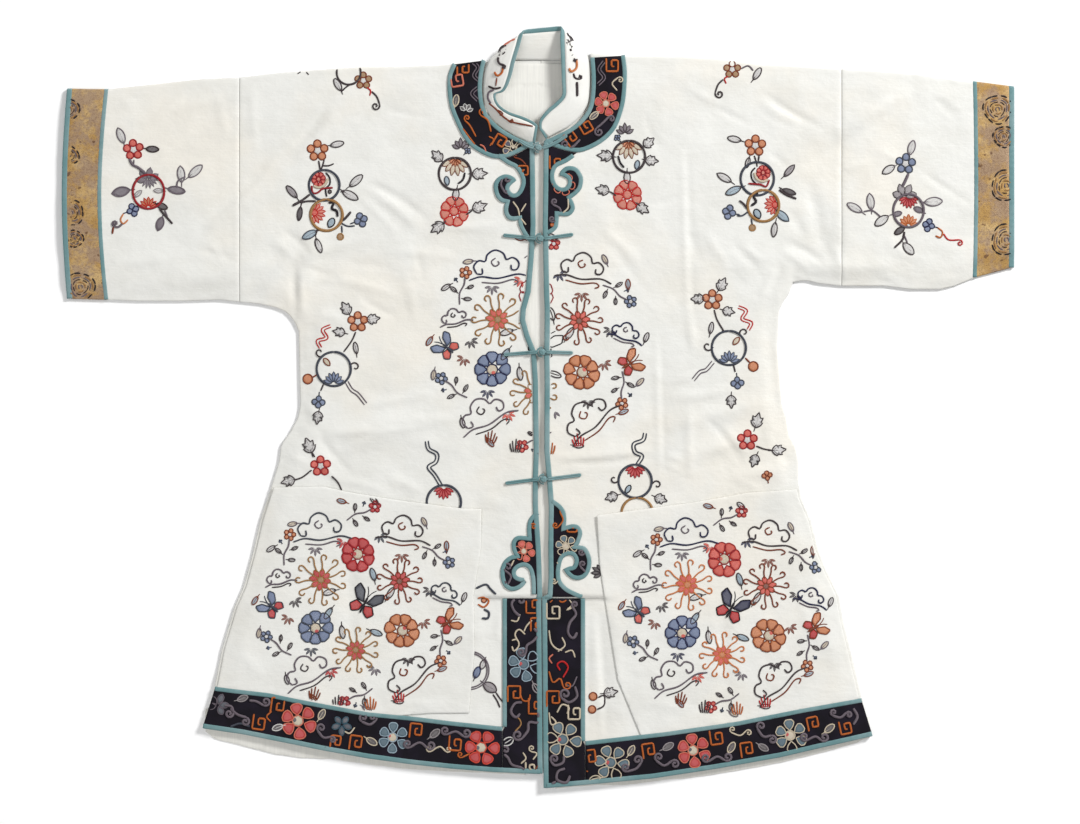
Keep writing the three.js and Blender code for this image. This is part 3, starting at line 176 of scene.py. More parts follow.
def look_up(rows: Rows, value: Points, key: int = 0, wanted: int = 1) -> Points:
    """The value of one column at a value of another, on straight lines between the rows.

    Args:
        rows: the table, in either order of its key column.
        value: where to read it.
        key: the column that value belongs to.
        wanted: the column to read.

    Returns:
        The column's values.
    """
    table = sorted(rows, key=lambda row: row[key])
    return np.interp(value, [row[key] for row in table], [row[wanted] for row in table])


@dataclass(frozen=True)
class Cut:
    """The lines that one half of the jacket is cut to, as (x, y) rows.

    Side lines and edges are unsigned distances from the middle, apart from those of a shape that lies
    on the front, which have the side's sign already.
    """

    side: Side
    side_line: Rows
    underarm: Rows
    shoulder: Rows
    front_hem: Rows
    front_edge: Rows
    neckline: Rows
    neck_band_edge: Rows
    upper_cloud: list[Rows]
    lower_cloud: list[Rows]
    front_band_x: float
    hem_band_top: Rows
    pocket: Rows
    pocket_mouth_rows: int
    lining_drop: Rows
    tuck_end: float
    cuff_seam_bow: float
    cuff_end_bow: float

    @property
    def sign(self) -> int:
        """The side's sign on X."""
        return self.side.value

    @property
    def armpit(self) -> tuple[float, float]:
        """The armpit's distance from the middle and its height."""
        return self.side_line[0]

    def fold(self, x: Points) -> Points:
        """The height of the fold's axis at x: the shoulder line less the fold's radius."""
        return look_up(self.shoulder, np.abs(x)) - FOLD_RADIUS

    def edge_x(self, y: Points) -> Points:
        """The signed x of the centre-front edge."""
        return self.sign * look_up(self.front_edge, y, 1, 0)

    def side_x(self, y: Points) -> Points:
        """The signed x of the body's side."""
        return self.sign * look_up(self.side_line, y, 1, 0)

    def inside_seam(self, x: Points, y: Points) -> Points:
        """How far a point lies inside the sewn side and underarm edges.

        Args:
            x: places across the jacket.
            y: places up the jacket.

        Returns:
            A distance for each point, negative outside.
        """
        out = np.abs(x)
        pit_x, pit_y = self.armpit
        body = look_up(self.side_line, y, 1, 0) - out
        sleeve = y - look_up(self.underarm, out)
        corner = np.hypot(pit_x - out, y - pit_y)
        return np.where(y < pit_y, body, np.where(out > pit_x, sleeve, corner))


RIGHT_CUT = Cut(
    side=Side.RIGHT,
    side_line=[
        (289.8, 91.8), (288.6, 31), (288, 2), (291, -12.6), (300.6, -30.2), (311, -44.5), (313.4, -64.7),
        (323.4, -97.2), (335.8, -135), (345.5, -176.6), (355.8, -214.2), (367, -239.4), (382.2, -290.4),
        (392.2, -343.4), (405, -384.6),
    ],
    underarm=[
        (289.8, 91.8), (296.5, 105.6), (304.2, 114.6), (317.4, 120), (336.6, 124.2), (361, 126.6),
        (384.6, 129), (432.6, 127.6), (480.6, 127.6), (518, 129), (570, 130.4),
    ],
    shoulder=[
        (0, 420), (66, 417), (85, 414.6), (121, 410.4), (169, 408.4), (217, 408.2), (265, 405),
        (313, 401.4), (361, 395.8), (409, 393.6), (457, 388.2), (520, 381.6), (570, 382.4),
    ],
    front_hem=[
        (0, -439.4), (55, -437), (105.5, -433), (156, -427.6), (207, -420.6), (257.4, -411.6),
        (307.8, -401.4), (358.2, -391.4), (405, -384.6),
    ],
    front_edge=[
        (6.4, 430), (7, 307), (6.4, 262), (5.8, 218), (7.8, 182), (11.6, 139), (17.4, 118), (18.4, 105),
        (13.2, 86), (5.2, 66), (3, 32), (1.8, -53), (3, -85), (3, -118), (-0.4, -169), (-1.6, -202),
        (-2.2, -226.2), (-0.8, -229), (-2.8, -458),
    ],
    neckline=[
        (-64, 421), (-68.6, 402), (-70.2, 381), (-67.4, 361), (-60, 347), (-46, 334), (-26, 322.6),
        (-5.6, 314.4),
    ],
    neck_band_edge=[
        (-105.6, 412), (-111, 398), (-111.4, 379), (-108.6, 360), (-102, 342.6), (-93, 324.6),
        (-82.6, 312), (-68, 303), (-54.6, 298.4), (-41, 299.4), (-28.6, 304.2), (-16.6, 310.4),
        (-8, 314.4),
    ],
    upper_cloud=[
        [
            (-52, 300), (-39, 291), (-30.6, 286.8), (-24.6, 278), (-22.8, 269.4), (-26.4, 260),
            (-31.8, 256.4), (-36, 259.2), (-37.2, 263.4), (-34.2, 267.6), (-29, 271.8),
        ],
        [
            (-29, 271.8), (-31, 275.4), (-38, 279), (-45, 279), (-52.2, 274.8), (-56, 268), (-56, 261),
            (-53.4, 252.6), (-48, 246.6), (-42.6, 244.8),
        ],
        [(-42.6, 244.8), (-43.8, 239), (-43.2, 232), (-39, 225.6), (-33, 223.8), (-27, 224.4)],
        [(-27, 224.4), (-26, 218), (-22.6, 210.6), (-17.4, 202.4), (-12, 196.4)],
    ],
    lower_cloud=[
        [(-4.6, -124), (-10.2, -128.6), (-14.6, -135), (-16.2, -144.6), (-15.8, -154.2)],
        [
            (-15.8, -154.2), (-26.4, -153.6), (-32, -156.6), (-34.8, -163), (-33.8, -171.4),
            (-31.6, -176.4),
        ],
        [
            (-31.6, -176.4), (-37.2, -178), (-43.6, -183.4), (-47.8, -193), (-47.8, -203.4),
            (-44.6, -213.2), (-38, -219), (-30.6, -219.6), (-23, -216.4), (-17.8, -211), (-15.4, -204.8),
        ],
        [
            (-15.4, -204.8), (-24, -203.4), (-28.4, -201.4), (-29.4, -197), (-26.2, -192.8),
            (-19.8, -190.6), (-14.6, -193.8), (-12, -201.4), (-10.8, -212), (-10.8, -230),
        ],
    ],
    front_band_x=-45.6,
    hem_band_top=[
        (-410, -332), (-358, -338.4), (-325, -342.2), (-295, -348.6), (-257, -355.8), (-206.6, -365),
        (-156, -370), (-105.6, -376.2), (-45, -382.6),
    ],
    pocket=[
        (-322, -96), (-259.8, -94.6), (-231.8, -101), (-171, -111), (-93, -121), (-70.8, -121.6),
        (-71.4, -169), (-80.2, -224.6), (-79, -290.4), (-85.8, -366.2), (-130.6, -366.4), (-170, -378),
    ],
    pocket_mouth_rows=6,
    lining_drop=[
        (18, -2.4), (55, 1.6), (105, 4), (156, 6.6), (207, 7.6), (250, 8.6), (285, 14.6), (318, 16.8),
        (358, 14.4), (390, 11), (402, 4),
    ],
    tuck_end=84,
    cuff_seam_bow=8,
    cuff_end_bow=6,
)

LEFT_CUT = Cut(
    side=Side.LEFT,
    side_line=[
        (285.8, 115.2), (283.8, 69.4), (286.8, 31), (289.4, 4.2), (294.4, -12), (297.4, -32.2),
        (305, -45.5), (308.8, -64.7), (309.2, -89.4), (312.6, -108.6), (324.6, -136.2), (332.3, -169),
        (342.4, -194.4), (357.5, -224.6), (362.5, -255), (375, -305.4), (384, -344.6), (397.8, -394),
    ],
    underarm=[
        (285.8, 115.2), (290.5, 126), (298.2, 136.4), (303, 150.6), (318.4, 152.5), (333.7, 148.7),
        (361, 145.8), (414, 145.8), (443.4, 141.8), (479.4, 141.8), (497.4, 146.3), (521.4, 156.2),
        (570, 169),
    ],
    shoulder=[
        (0, 428), (62, 425.4), (95, 421.8), (167, 420.6), (215, 418.2), (263, 411.6), (311, 409.6),
        (361, 406.2), (407, 403.8), (455, 400.2), (503, 393), (521, 391), (570, 384.6),
    ],
    front_hem=[
        (0, -456.8), (59.4, -451.8), (135, -444.6), (211, -433), (286.8, -419.4), (337.3, -407.6),
        (397.8, -394),
    ],
    front_edge=[
        (3.4, 430), (3.6, 307), (3.2, 262), (2.6, 218), (3.2, 182), (4, 139), (4.8, 118), (4.8, 105),
        (4.6, 86), (4.2, 66), (4.8, 32), (4.4, -53), (7.4, -85), (9.8, -118), (9.2, -169), (9.6, -202),
        (8.2, -226.2), (1.6, -229), (3.6, -458),
    ],
    neckline=[
        (58.6, 428), (60.8, 402), (60.8, 381), (58, 361), (48.6, 346), (34.6, 334.4), (16, 325),
        (3.6, 319.4),
    ],
    neck_band_edge=[
        (101.4, 421.4), (103.6, 401), (102, 373), (98.4, 355), (90.6, 335), (78.4, 321), (63, 311.4),
        (47.6, 306), (32.6, 307.4), (17, 312), (4.6, 318),
    ],
    upper_cloud=[
        [
            (45, 303), (32, 294), (20.4, 288.4), (16.6, 280.4), (17, 272.4), (20.4, 266.4),
            (25.4, 263.6), (30.4, 265), (32.8, 270), (31.4, 274), (27, 276.6), (22.4, 278),
        ],
        [
            (22.4, 278), (24, 283), (28.8, 287.8), (35.4, 289.4), (43.8, 287), (49.8, 278.6), (51, 271),
            (48.8, 261.6), (43, 255), (37.2, 250.8),
        ],
        [(37.2, 250.8), (40.6, 243), (40.8, 237.2), (37, 231.4), (31.2, 229.2), (22, 229.8)],
        [(22, 229.8), (21.6, 222.6), (20.2, 215.4), (15.2, 210.2), (8.6, 207)],
    ],
    lower_cloud=[
        [(15, -110), (24, -116.4), (29.4, -124.2), (31, -132.8), (30.4, -141.6)],
        [
            (30.4, -141.6), (37.8, -139.8), (45, -141), (49.2, -146.8), (49.8, -153.2), (46.6, -162.8),
            (45.4, -165),
        ],
        [
            (45.4, -165), (53, -166.6), (58.2, -173.4), (61, -183.2), (59.8, -193.8), (55, -202.6),
            (47.6, -206.4), (39, -205.8), (31.6, -200.4), (27.2, -193.8),
        ],
        [
            (27.2, -193.8), (33.8, -190.6), (38.8, -189.4), (40.8, -183.2), (38, -177.8),
            (32.6, -177.4), (27.2, -181), (24.6, -188.6), (23.4, -198.2), (25, -207.8), (31.6, -215.4),
            (39, -219.6), (47.6, -223.4), (56, -226.4), (60, -230),
        ],
    ],
    front_band_x=53.4,
    hem_band_top=[
        (410, -346), (382.8, -348.6), (312, -361), (236, -376.2), (148, -389), (50.2, -400.2),
    ],
    pocket=[
        (309, -98), (304, -98.4), (249, -102), (185.4, -113.4), (67.4, -129.2), (70.8, -189),
        (77, -229.8), (92.4, -325.8), (104.4, -396), (120, -400),
    ],
    pocket_mouth_rows=5,
    lining_drop=[
        (18, -4), (60, 1.2), (97, 5.2), (146, 4), (175, 6.4), (244, 7.2), (293, 6.8), (341, 6.6),
        (380, 4), (395, -1),
    ],
    tuck_end=101,
    cuff_seam_bow=1.5,
    cuff_end_bow=0,
)
CUTS = (RIGHT_CUT, LEFT_CUT)

# The one back hem, then the right and left edge of the back's lining at each height
BACK_HEM = [(0, -433), (105, -427), (207, -414), (307, -394.5), (405, -378.5)]
BACK_LINING = [(-24, 26, -414), (-30, 26, 290), (-56, 48, 318), (-62, 53, 350), (-62, 53, 412.6)]


@dataclass(frozen=True)
class Crease:
    """A soft ridge of the cloth, or a trough where its rise is negative, between two points."""

    x0: float
    y0: float
    x1: float
    y1: float
    rise: float
    width: float
    bow: float = 0.0

    def lift(self, x: Points, y: Points) -> Points:
        """How much it lifts the cloth at each point.

        Args:
            x: places across the jacket.
            y: places up the jacket.

        Returns:
            A lift for each point.
        """
        dx, dy = self.x1 - self.x0, self.y1 - self.y0
        length = math.hypot(dx, dy)
        share = ((x - self.x0) * dx + (y - self.y0) * dy) / length**2
        inside = np.clip(share, 0, 1)
        away = ((x - self.x0) * dy - (y - self.y0) * dx) / length - self.bow * np.sin(math.pi * inside)
        ends = np.where((share > 0) & (share < 1), np.sin(math.pi * inside) ** CREASE_END_POWER, 0)
        return self.rise * ends * np.exp(-((away / self.width) ** 2))


def seen(x0: float, y0: float, x1: float, y1: float, rise: float, width: float, bow: float = 0.0) -> Crease:
    """A crease between two points of the photo."""
    return Crease(*photo(x0, y0), *photo(x1, y1), rise, width, bow)


# The folds that the solids have too
MAIN_FOLDS = [
    Crease(*row)
    for row in (
        (-262, -36, -140, -8, 2.6, 11), (-236, -52, -150, -26, 1.8, 8), (-286, 128, -268, 214, 2.4, 12),
        (-346, 150, -214, 236, 1.8, 13), (-430, 150, -320, 176, 2.2, 12), (-300, 300, -196, 380, 1.6, 16),
        (-470, 300, -398, 372, 1.6, 14), (-160, 120, -60, 176, 1.4, 14), (150, -24, 284, 10, 2.4, 11),
        (176, -60, 262, -30, 2.2, 9), (226, -84, 300, -72, 1.8, 8), (236, 158, 330, 238, 2.4, 13),
        (352, 322, 446, 376, 2.4, 15), (356, 196, 430, 322, 1.8, 15), (300, 158, 420, 170, 2.0, 11),
        (122, 250, 204, 352, 1.6, 15), (30, -60, 116, -46, 1.4, 9), (56, -236, 62, -372, 0.9, 7),
        (88, -236, 96, -380, 1.1, 7), (-74, -236, -78, -330, 0.9, 8),
    )
]

# The smaller creases, listed one by one: the right sleeve, the right front, the left sleeve, the left
# front, and what lies below the waist
FINE_CREASES = [
    seen(*row)
    for row in (
        (143, 127, 187, 93, 0.9, 5, 2), (172, 114, 222, 99, 0.8, 5, -2), (150, 168, 196, 128, 0.6, 6),
        (197, 227, 273, 160, -0.8, 4, 3), (204, 231, 268, 176, 0.8, 5, 3), (262, 170, 286, 148, 0.6, 4),
        (247, 282, 287, 247, -0.9, 4, -2), (262, 288, 293, 254, 0.9, 5, 2),
        (283, 230, 312, 257, -1.0, 4, -2), (272, 238, 300, 262, 0.8, 5), (110, 293, 157, 260, -0.8, 5, 3),
        (112, 264, 168, 258, 0.9, 7), (196, 250, 236, 261, -0.7, 3.5, -2), (186, 296, 242, 293, 0.7, 4, 2),
        (208, 240, 224, 262, 0.5, 4), (112, 210, 122, 180, -0.5, 5), (118, 92, 136, 108, 0.5, 6),
        (216, 92, 228, 140, 0.5, 6), (251, 84, 256, 150, 0.6, 5), (236.5, 84, 236.5, 292, 0.2, 3),
        (241.5, 84, 241.5, 292, -0.2, 2.5), (290, 153, 330, 103, -0.8, 4, 2),
        (298, 158, 338, 112, 0.8, 5, 2), (268, 118, 300, 96, 0.5, 5), (347, 122, 378, 103, -0.6, 3.5, 1),
        (383, 108, 432, 118, -0.6, 3, 2), (388, 152, 427, 133, -0.5, 3), (402, 84, 436, 74, 0.5, 4),
        (365, 182, 430, 223, -1.1, 4, -5), (372, 193, 418, 231, 1.0, 5, -4),
        (356, 196, 398, 236, 0.6, 4, -3), (430, 226, 508, 224, 0.9, 5, 3), (300, 258, 364, 236, 0.9, 5, 2),
        (295, 262, 297, 320, -1.2, 4, 2), (301, 270, 303, 316, 0.9, 4),
        (300, 266, 342, 281, -0.9, 3.5, -1), (318, 276, 402, 298, 1.0, 6, -3),
        (360, 297, 398, 318, -0.9, 4, 2), (340, 262, 396, 268, -0.6, 5), (384, 252, 464, 259, 0.8, 6, -2),
        (416, 248, 424, 284, -0.5, 3.5), (318, 312, 345, 322, 0.6, 5), (365, 405, 432, 392, 0.8, 5, 2),
        (373, 424, 462, 418, 0.7, 5, -2), (402, 262, 418, 330, 0.5, 6), (312, 300, 316, 380, -0.5, 6),
        (300, 396, 318, 420, 0.6, 5), (325, 433, 455, 420, 1.0, 5, 4), (352, 446, 398, 428, 0.8, 4),
        (320, 437, 352, 473, -1.0, 4, 2), (312, 446, 340, 484, 0.7, 4, 2),
        (332, 478, 392, 494, 0.8, 5, -2), (388, 476, 424, 492, 0.8, 6), (404, 438, 470, 452, 0.6, 8),
        (284, 452, 318, 470, 0.7, 5), (296, 424, 320, 436, 0.5, 4), (478, 500, 512, 506, 0.7, 7),
        (496, 640, 501, 612, 0.8, 4), (802, 168, 862, 131, -1.0, 7), (856, 136, 918, 96, -1.2, 8),
        (808, 176, 829, 264, -0.9, 8, 2), (846, 128, 892, 98, 0.8, 6), (762, 93, 828, 131, -0.9, 3.5, 3),
        (756, 98, 800, 124, 0.7, 5, 3), (708, 103, 748, 124, -0.7, 3, 1), (685, 86, 722, 108, 0.6, 4),
        (768, 152, 790, 168, -0.6, 3), (918, 168, 970, 204, -0.7, 3.5, 2), (842, 171, 870, 162, 0.7, 4),
        (876, 150, 900, 162, 0.5, 4), (931, 96, 958, 118, -0.5, 4), (836.5, 70, 836.5, 286, 0.2, 3),
        (841, 70, 841, 286, -0.2, 2.5), (786, 242, 824, 264, -1.0, 4, -2),
        (780, 250, 812, 274, 0.8, 4, -2), (792, 272, 816, 282, 0.9, 3.5, 3),
        (880, 276, 904, 286, 0.8, 4, -2), (884, 240, 930, 262, 0.6, 6, 4),
        (908, 291, 968, 277, 0.9, 4, -2), (830, 240, 848, 282, 0.6, 5), (786, 208, 806, 238, -0.7, 6),
        (560, 168, 600, 152, 0.5, 4), (644, 114, 662, 150, -0.5, 4, 3), (650, 206, 690, 190, -0.6, 3.5, 3),
        (682, 140, 690, 364, 0.6, 4, 1), (687, 140, 694, 330, -0.5, 4, 1), (692, 232, 699, 264, -0.9, 5),
        (602, 226, 640, 262, 0.8, 6, 2), (612, 240, 648, 292, -0.5, 6, 3), (704, 232, 730, 270, 0.6, 5),
        (728, 240, 762, 276, -0.7, 5, -2), (740, 246, 764, 262, 0.7, 4), (766, 292, 783, 264, -0.8, 4, 1),
        (760, 296, 776, 268, 0.7, 4), (656, 326, 660, 482, 0.6, 3.5), (660, 326, 664, 482, -0.5, 3.5),
        (668, 398, 736, 388, 1.0, 6, 3), (672, 384, 700, 372, 0.7, 4), (690, 316, 694, 352, 0.8, 4),
        (768, 320, 774, 400, -0.6, 6), (555, 463, 652, 456, -0.9, 3.5, 3), (556, 458, 650, 450, 0.8, 5, 3),
        (664, 456, 684, 460, 0.7, 2.5), (664, 464, 682, 472, 0.6, 2.5), (688, 404, 690, 478, 0.8, 5),
        (700, 414, 742, 466, -0.7, 4, -5), (722, 426, 748, 456, 0.6, 5), (770, 430, 790, 470, -0.5, 5),
        (735, 480, 762, 490, 0.6, 4), (350, 540, 352, 650, -0.9, 8), (722, 600, 726, 690, -0.9, 8),
        (240, 652, 264, 676, 0.6, 7), (588, 600, 588, 738, -0.7, 3), (594, 612, 601, 738, 0.8, 3.5),
        (600, 612, 607, 736, -0.7, 3), (300, 560, 330, 554, 0.4, 6), (400, 700, 452, 706, 0.5, 6),
        (640, 700, 700, 712, 0.5, 6), (790, 560, 812, 640, 0.5, 7),
    )
]


@dataclass(frozen=True)
class Crumple:
    """The small unevenness of old silk: a smooth random field on a grid."""

    cell: float
    rise: float
    seed: int

    def lift(self, x: Points, y: Points) -> Points:
        """The field's height at each point.

        Args:
            x: places across the jacket.
            y: places up the jacket.

        Returns:
            A lift for each point.
        """
        rng = np.random.default_rng(self.seed)
        grid = rng.uniform(-1, 1, (CRUMPLE_CELLS, CRUMPLE_CELLS))
        across, up = x / self.cell + CRUMPLE_CELLS / 2, y / self.cell + CRUMPLE_CELLS / 2
        last = CRUMPLE_CELLS - 1
        column, row = np.floor(across).astype(int) % last, np.floor(up).astype(int) % last
        u, v = smoothstep(across % 1, 0, 1), smoothstep(up % 1, 0, 1)
        low = blend(grid[row, column], grid[row, column + 1], u)
        high = blend(grid[row + 1, column], grid[row + 1, column + 1], u)
        return self.rise * blend(low, high, v)


CRUMPLES = (Crumple(34, 0.5, 3), Crumple(15, 0.26, 8))
CREASE_STRENGTH = 1.6


def front_height(cut: Cut, x: Points, y: Points) -> Points:
    """The height of the upper face of a front or sleeve, with its folds and creases.

    Args:
        cut: the half that the points lie on.
        x: places across the jacket.
        y: places up the jacket.

    Returns:
        A height for each point.
    """
    x, y = np.asarray(x, float), np.asarray(y, float)
    main = sum(fold.lift(x, y) for fold in MAIN_FOLDS)
    fine = CREASE_STRENGTH * sum(crease.lift(x, y) for crease in FINE_CREASES)
    fine = fine + sum(c.lift(x, y) for c in CRUMPLES)
    above = y - TUCK_Y
    tuck = TUCK_RISE * smoothstep(cut.tuck_end - np.abs(x), 0, TUCK_FADE)
    tuck = tuck * (1 - smoothstep(above, 0, TUCK_DEPTH)) * (above >= -TUCK_STEP / 2)
    level = np.maximum(LOWEST_FRONT, FRONT_LEVEL + main + tuck + fine)
    opened = 1 - smoothstep(y, SLIT_TOP_Y, SLIT_TOP_Y + SLIT_BLEND)
    edge = blend(SEAM_LEVEL, OPEN_SIDE_LEVEL, opened)
    rim = smoothstep(cut.inside_seam(x, y), 0, RIM_WIDTH)
    fold_rim = smoothstep(cut.fold(x) - y, 0, FOLD_RIM_WIDTH)
    puckered = fine * smoothstep(cut.inside_seam(x, y), 0, PUCKER_WIDTH) * (1 - rim) * PUCKER_SHARE
    return blend(2 * FOLD_RADIUS, blend(edge, level, rim) + puckered, fold_rim)


@dataclass(frozen=True)
class Ground:
    """What a layer lies on: a front, seen from above, with the half of the fold that shows."""

    cut: Cut
    gape: bool = False

    def place(self, points: Points, lift: Points | float) -> Points:
        """The points in space, raised by a lift along the way out of the cloth.

        Args:
            points: (n, 2) places seen from above.
            lift: the distance from the front's own face.

        Returns:
            (n, 3) points.
        """
        x, y = points[:, 0], points[:, 1]
        axis = self.cut.fold(x)
        over = np.clip((y - axis) / FOLD_RADIUS, 0, 1)
        lift = np.broadcast_to(np.asarray(lift, float), x.shape) + self.gaping(x, y)
        turn = np.arcsin(over)
        flat_z = front_height(self.cut, x, np.minimum(y, axis))
        round_z = FOLD_RADIUS + FOLD_RADIUS * np.cos(turn)
        z = np.where(over > 0, round_z + lift * np.cos(turn), flat_z + lift)
        return np.column_stack([x, np.minimum(y, axis + FOLD_RADIUS) + lift * np.sin(turn), z])

    def gaping(self, x: Points, y: Points) -> Points:
        """How far a pocket stands off the front, most at its mouth.

        Args:
            x: places across the jacket.
            y: places up the jacket.

        Returns:
            A distance for each point.
        """
        if not self.gape:
            return np.zeros_like(x)
        mouth = self.cut.pocket[: self.cut.pocket_mouth_rows]
        below = np.maximum(0, look_up(mouth, x) - y)
        return POCKET_GAPE * np.exp(-((below / POCKET_GAPE_DEPTH) ** 2))


def smooth_line(rows: Rows, steps: int = 3) -> Points:
    """Points on the smooth curve through a table's rows.

    Args:
        rows: the places that the curve passes.
        steps: how many points each span gets.

    Returns:
        (n, 2) or (n, 3) points.
    """
    knots = np.array(rows, float)
    padded = np.vstack([2 * knots[0] - knots[1], knots, 2 * knots[-1] - knots[-2]])
    share = np.linspace(0, 1, steps, endpoint=False)[:, None]
    spans = []
    for a, b, c, d in zip(padded, padded[1:], padded[2:], padded[3:]):
        bend = (2 * b) + (c - a) * share + (2 * a - 5 * b + 4 * c - d) * share**2
        spans.append(0.5 * (bend + (3 * b - a - 3 * c + d) * share**3))
    return np.vstack([*spans, knots[-1:]])


def lengths_along(line: Points) -> Points:
    """How far along a line each of its points lies."""
    steps = np.linalg.norm(np.diff(line, axis=0), axis=1)
    return np.concatenate([[0], np.cumsum(steps)])


def resample(line: Points, step: float) -> Points:
    """The line with points an even distance apart, its ends kept.

    Args:
        line: (n, 2) points in order.
        step: the distance between its points.

    Returns:
        The new points.
    """
    lengths = lengths_along(line)
    count = max(2, int(round(lengths[-1] / step)) + 1)
    wanted = np.linspace(0, lengths[-1], count)
    return np.column_stack([np.interp(wanted, lengths, column) for column in line.T])


def densify(line: Points, step: float) -> Points:
    """The line with its own corners kept and points added on its longer spans.

    Args:
        line: (n, 2) points in order.
        step: the greatest distance between its points.

    Returns:
        The line's points.
    """
    made = [line[:1]]
    for a, b in zip(line, line[1:]):
        count = max(1, int(math.ceil(np.linalg.norm(b - a) / step)))
        made.append(a + (b - a) * (np.arange(1, count + 1) / count)[:, None])
    return np.vstack(made)


def area_of(outline: Points) -> float:
    """The signed area inside an outline, positive where it runs anticlockwise."""
    x, y = outline[:, 0], outline[:, 1]
    return float((x * np.roll(y, -1) - y * np.roll(x, -1)).sum() / 2)


def distance_to(points: Points, line: Points, closed: bool = False) -> Points:
    """How far each point lies from a line.

    Args:
        points: (n, 2) points.
        line: (n, 2) points in order.
        closed: whether the line returns to its start.

    Returns:
        A distance for each point.
    """
    a = line
    b = np.roll(line, -1, axis=0)
    if not closed:
        a, b = line[:-1], line[1:]
    ways = b - a
    lengths = np.maximum((ways**2).sum(axis=1), TINY)
    nearest = []
    for chunk in np.array_split(points, max(1, len(points) * len(a) // DISTANCES_AT_ONCE + 1)):
        out = chunk[:, None, :] - a[None]
        share = np.clip((out * ways).sum(axis=2) / lengths, 0, 1)
        nearest.append(np.linalg.norm(out - share[..., None] * ways, axis=2).min(axis=1))
    return np.concatenate(nearest)


def inside(points: Points, outline: Points) -> Points:
    """Which points lie inside an outline.

    Args:
        points: (n, 2) points.
        outline: (n, 2) corners in order.

    Returns:
        True for each point inside.
    """
    x, y = points[:, 0], points[:, 1]
    found = np.zeros(len(points), bool)
    for (ax, ay), (bx, by) in zip(outline, np.roll(outline, -1, axis=0)):
        if ay == by:
            continue
        crosses = (ay > y) != (by > y)
        found ^= crosses & (x < (bx - ax) * (y - ay) / (by - ay) + ax)
    return found


def mitres(line: Points, closed: bool = False) -> Points:
    """The way to a line's left at each point, longer at its corners so that its offset keeps its width.

    Args:
        line: (n, 2) points in order.
        closed: whether the line returns to its start.

    Returns:
        (n, 2) ways, of length 1 where the line is straight.
    """
    if closed:
        ways = np.roll(line, -1, axis=0) - line
        before = np.roll(ways, 1, axis=0)
    else:
        spans = np.diff(line, axis=0)
        ways = np.vstack([spans, spans[-1:]])
        before = np.vstack([spans[:1], spans])
    ways = ways / np.maximum(np.linalg.norm(ways, axis=1), TINY)[:, None]
    before = before / np.maximum(np.linalg.norm(before, axis=1), TINY)[:, None]
    both = ways + before
    both = both / np.maximum(np.linalg.norm(both, axis=1), 1e-6)[:, None]
    half = np.clip((both * ways).sum(axis=1), LEAST_MITRE, 1)
    return np.column_stack([-both[:, 1], both[:, 0]]) / half[:, None]


def offset_line(line: Points, distance: float) -> Points:
    """The line moved to its left, without the loops that tight curves would leave.

    Args:
        line: (n, 2) points in order.
        distance: how far, or to the right where it is negative.

    Returns:
        The moved line.
    """
    moved = line + mitres(line) * distance
    clear = distance_to(moved, line) > abs(distance) * KEPT_OFFSET
    clear[[0, -1]] = True
    return moved[clear]


def joined(runs: list[Rows], steps: int = 3) -> Points:
    """A chain of smooth runs as one line with its corners kept."""
    lines = [smooth_line(run, steps) for run in runs]
    return np.vstack([lines[0], *[line[1:] for line in lines[1:]]])


def triangulate(outline: Points, spacing: float, candidates: Points) -> tuple[Points, Points, Points]:
    """Fills an outline with triangles.

    Args:
        outline: (n, 2) corners in order, as close together as the edge needs them.
        spacing: the usual distance between the points inside.
        candidates: (n, 2) points, of which those inside the outline are used.

    Returns:
        The points, the triangles, facing up, and which points lie on the outline.
    """
    edge = outline if area_of(outline) > 0 else outline[::-1]
    edge = edge[np.linalg.norm(edge - np.roll(edge, 1, axis=0), axis=1) > LEAST_EDGE]
    inner = edge + mitres(edge, closed=True) * RIM_INSET
    inner = inner[inside(inner, edge)]
    inner = inner[distance_to(inner, edge, closed=True) > RIM_CLEARANCE]
    candidates = candidates[inside(candidates, edge)]
    candidates = candidates[
        distance_to(candidates, edge, closed=True) > min(spacing * 0.5, INNER_CLEARANCE)
    ]
    everything = np.vstack([edge, inner, candidates])
    ring = [(i, (i + 1) % len(edge)) for i in range(len(edge))]
    points, _, faces, origins, _, _ = delaunay_2d_cdt(
        [tuple(p) for p in everything], ring, [], 1, MERGED_WITHIN
    )
    points = np.array([tuple(p) for p in points])
    triangles = np.array(faces)
    a, b, c = (points[triangles[:, k]] for k in range(3))
    turned = (b - a)[:, 0] * (c - a)[:, 1] - (b - a)[:, 1] * (c - a)[:, 0] < 0
    triangles[turned] = triangles[turned][:, ::-1]
    on_edge = np.array([any(i < len(edge) for i in ids) for ids in origins])
    return points, triangles, on_edge


def metres(points: Points) -> Points:
    """Points of the cut as points of the frame, in metres."""
    return (points + np.array([*CUT_ORIGIN, 0.0])) / MM_PER_METRE


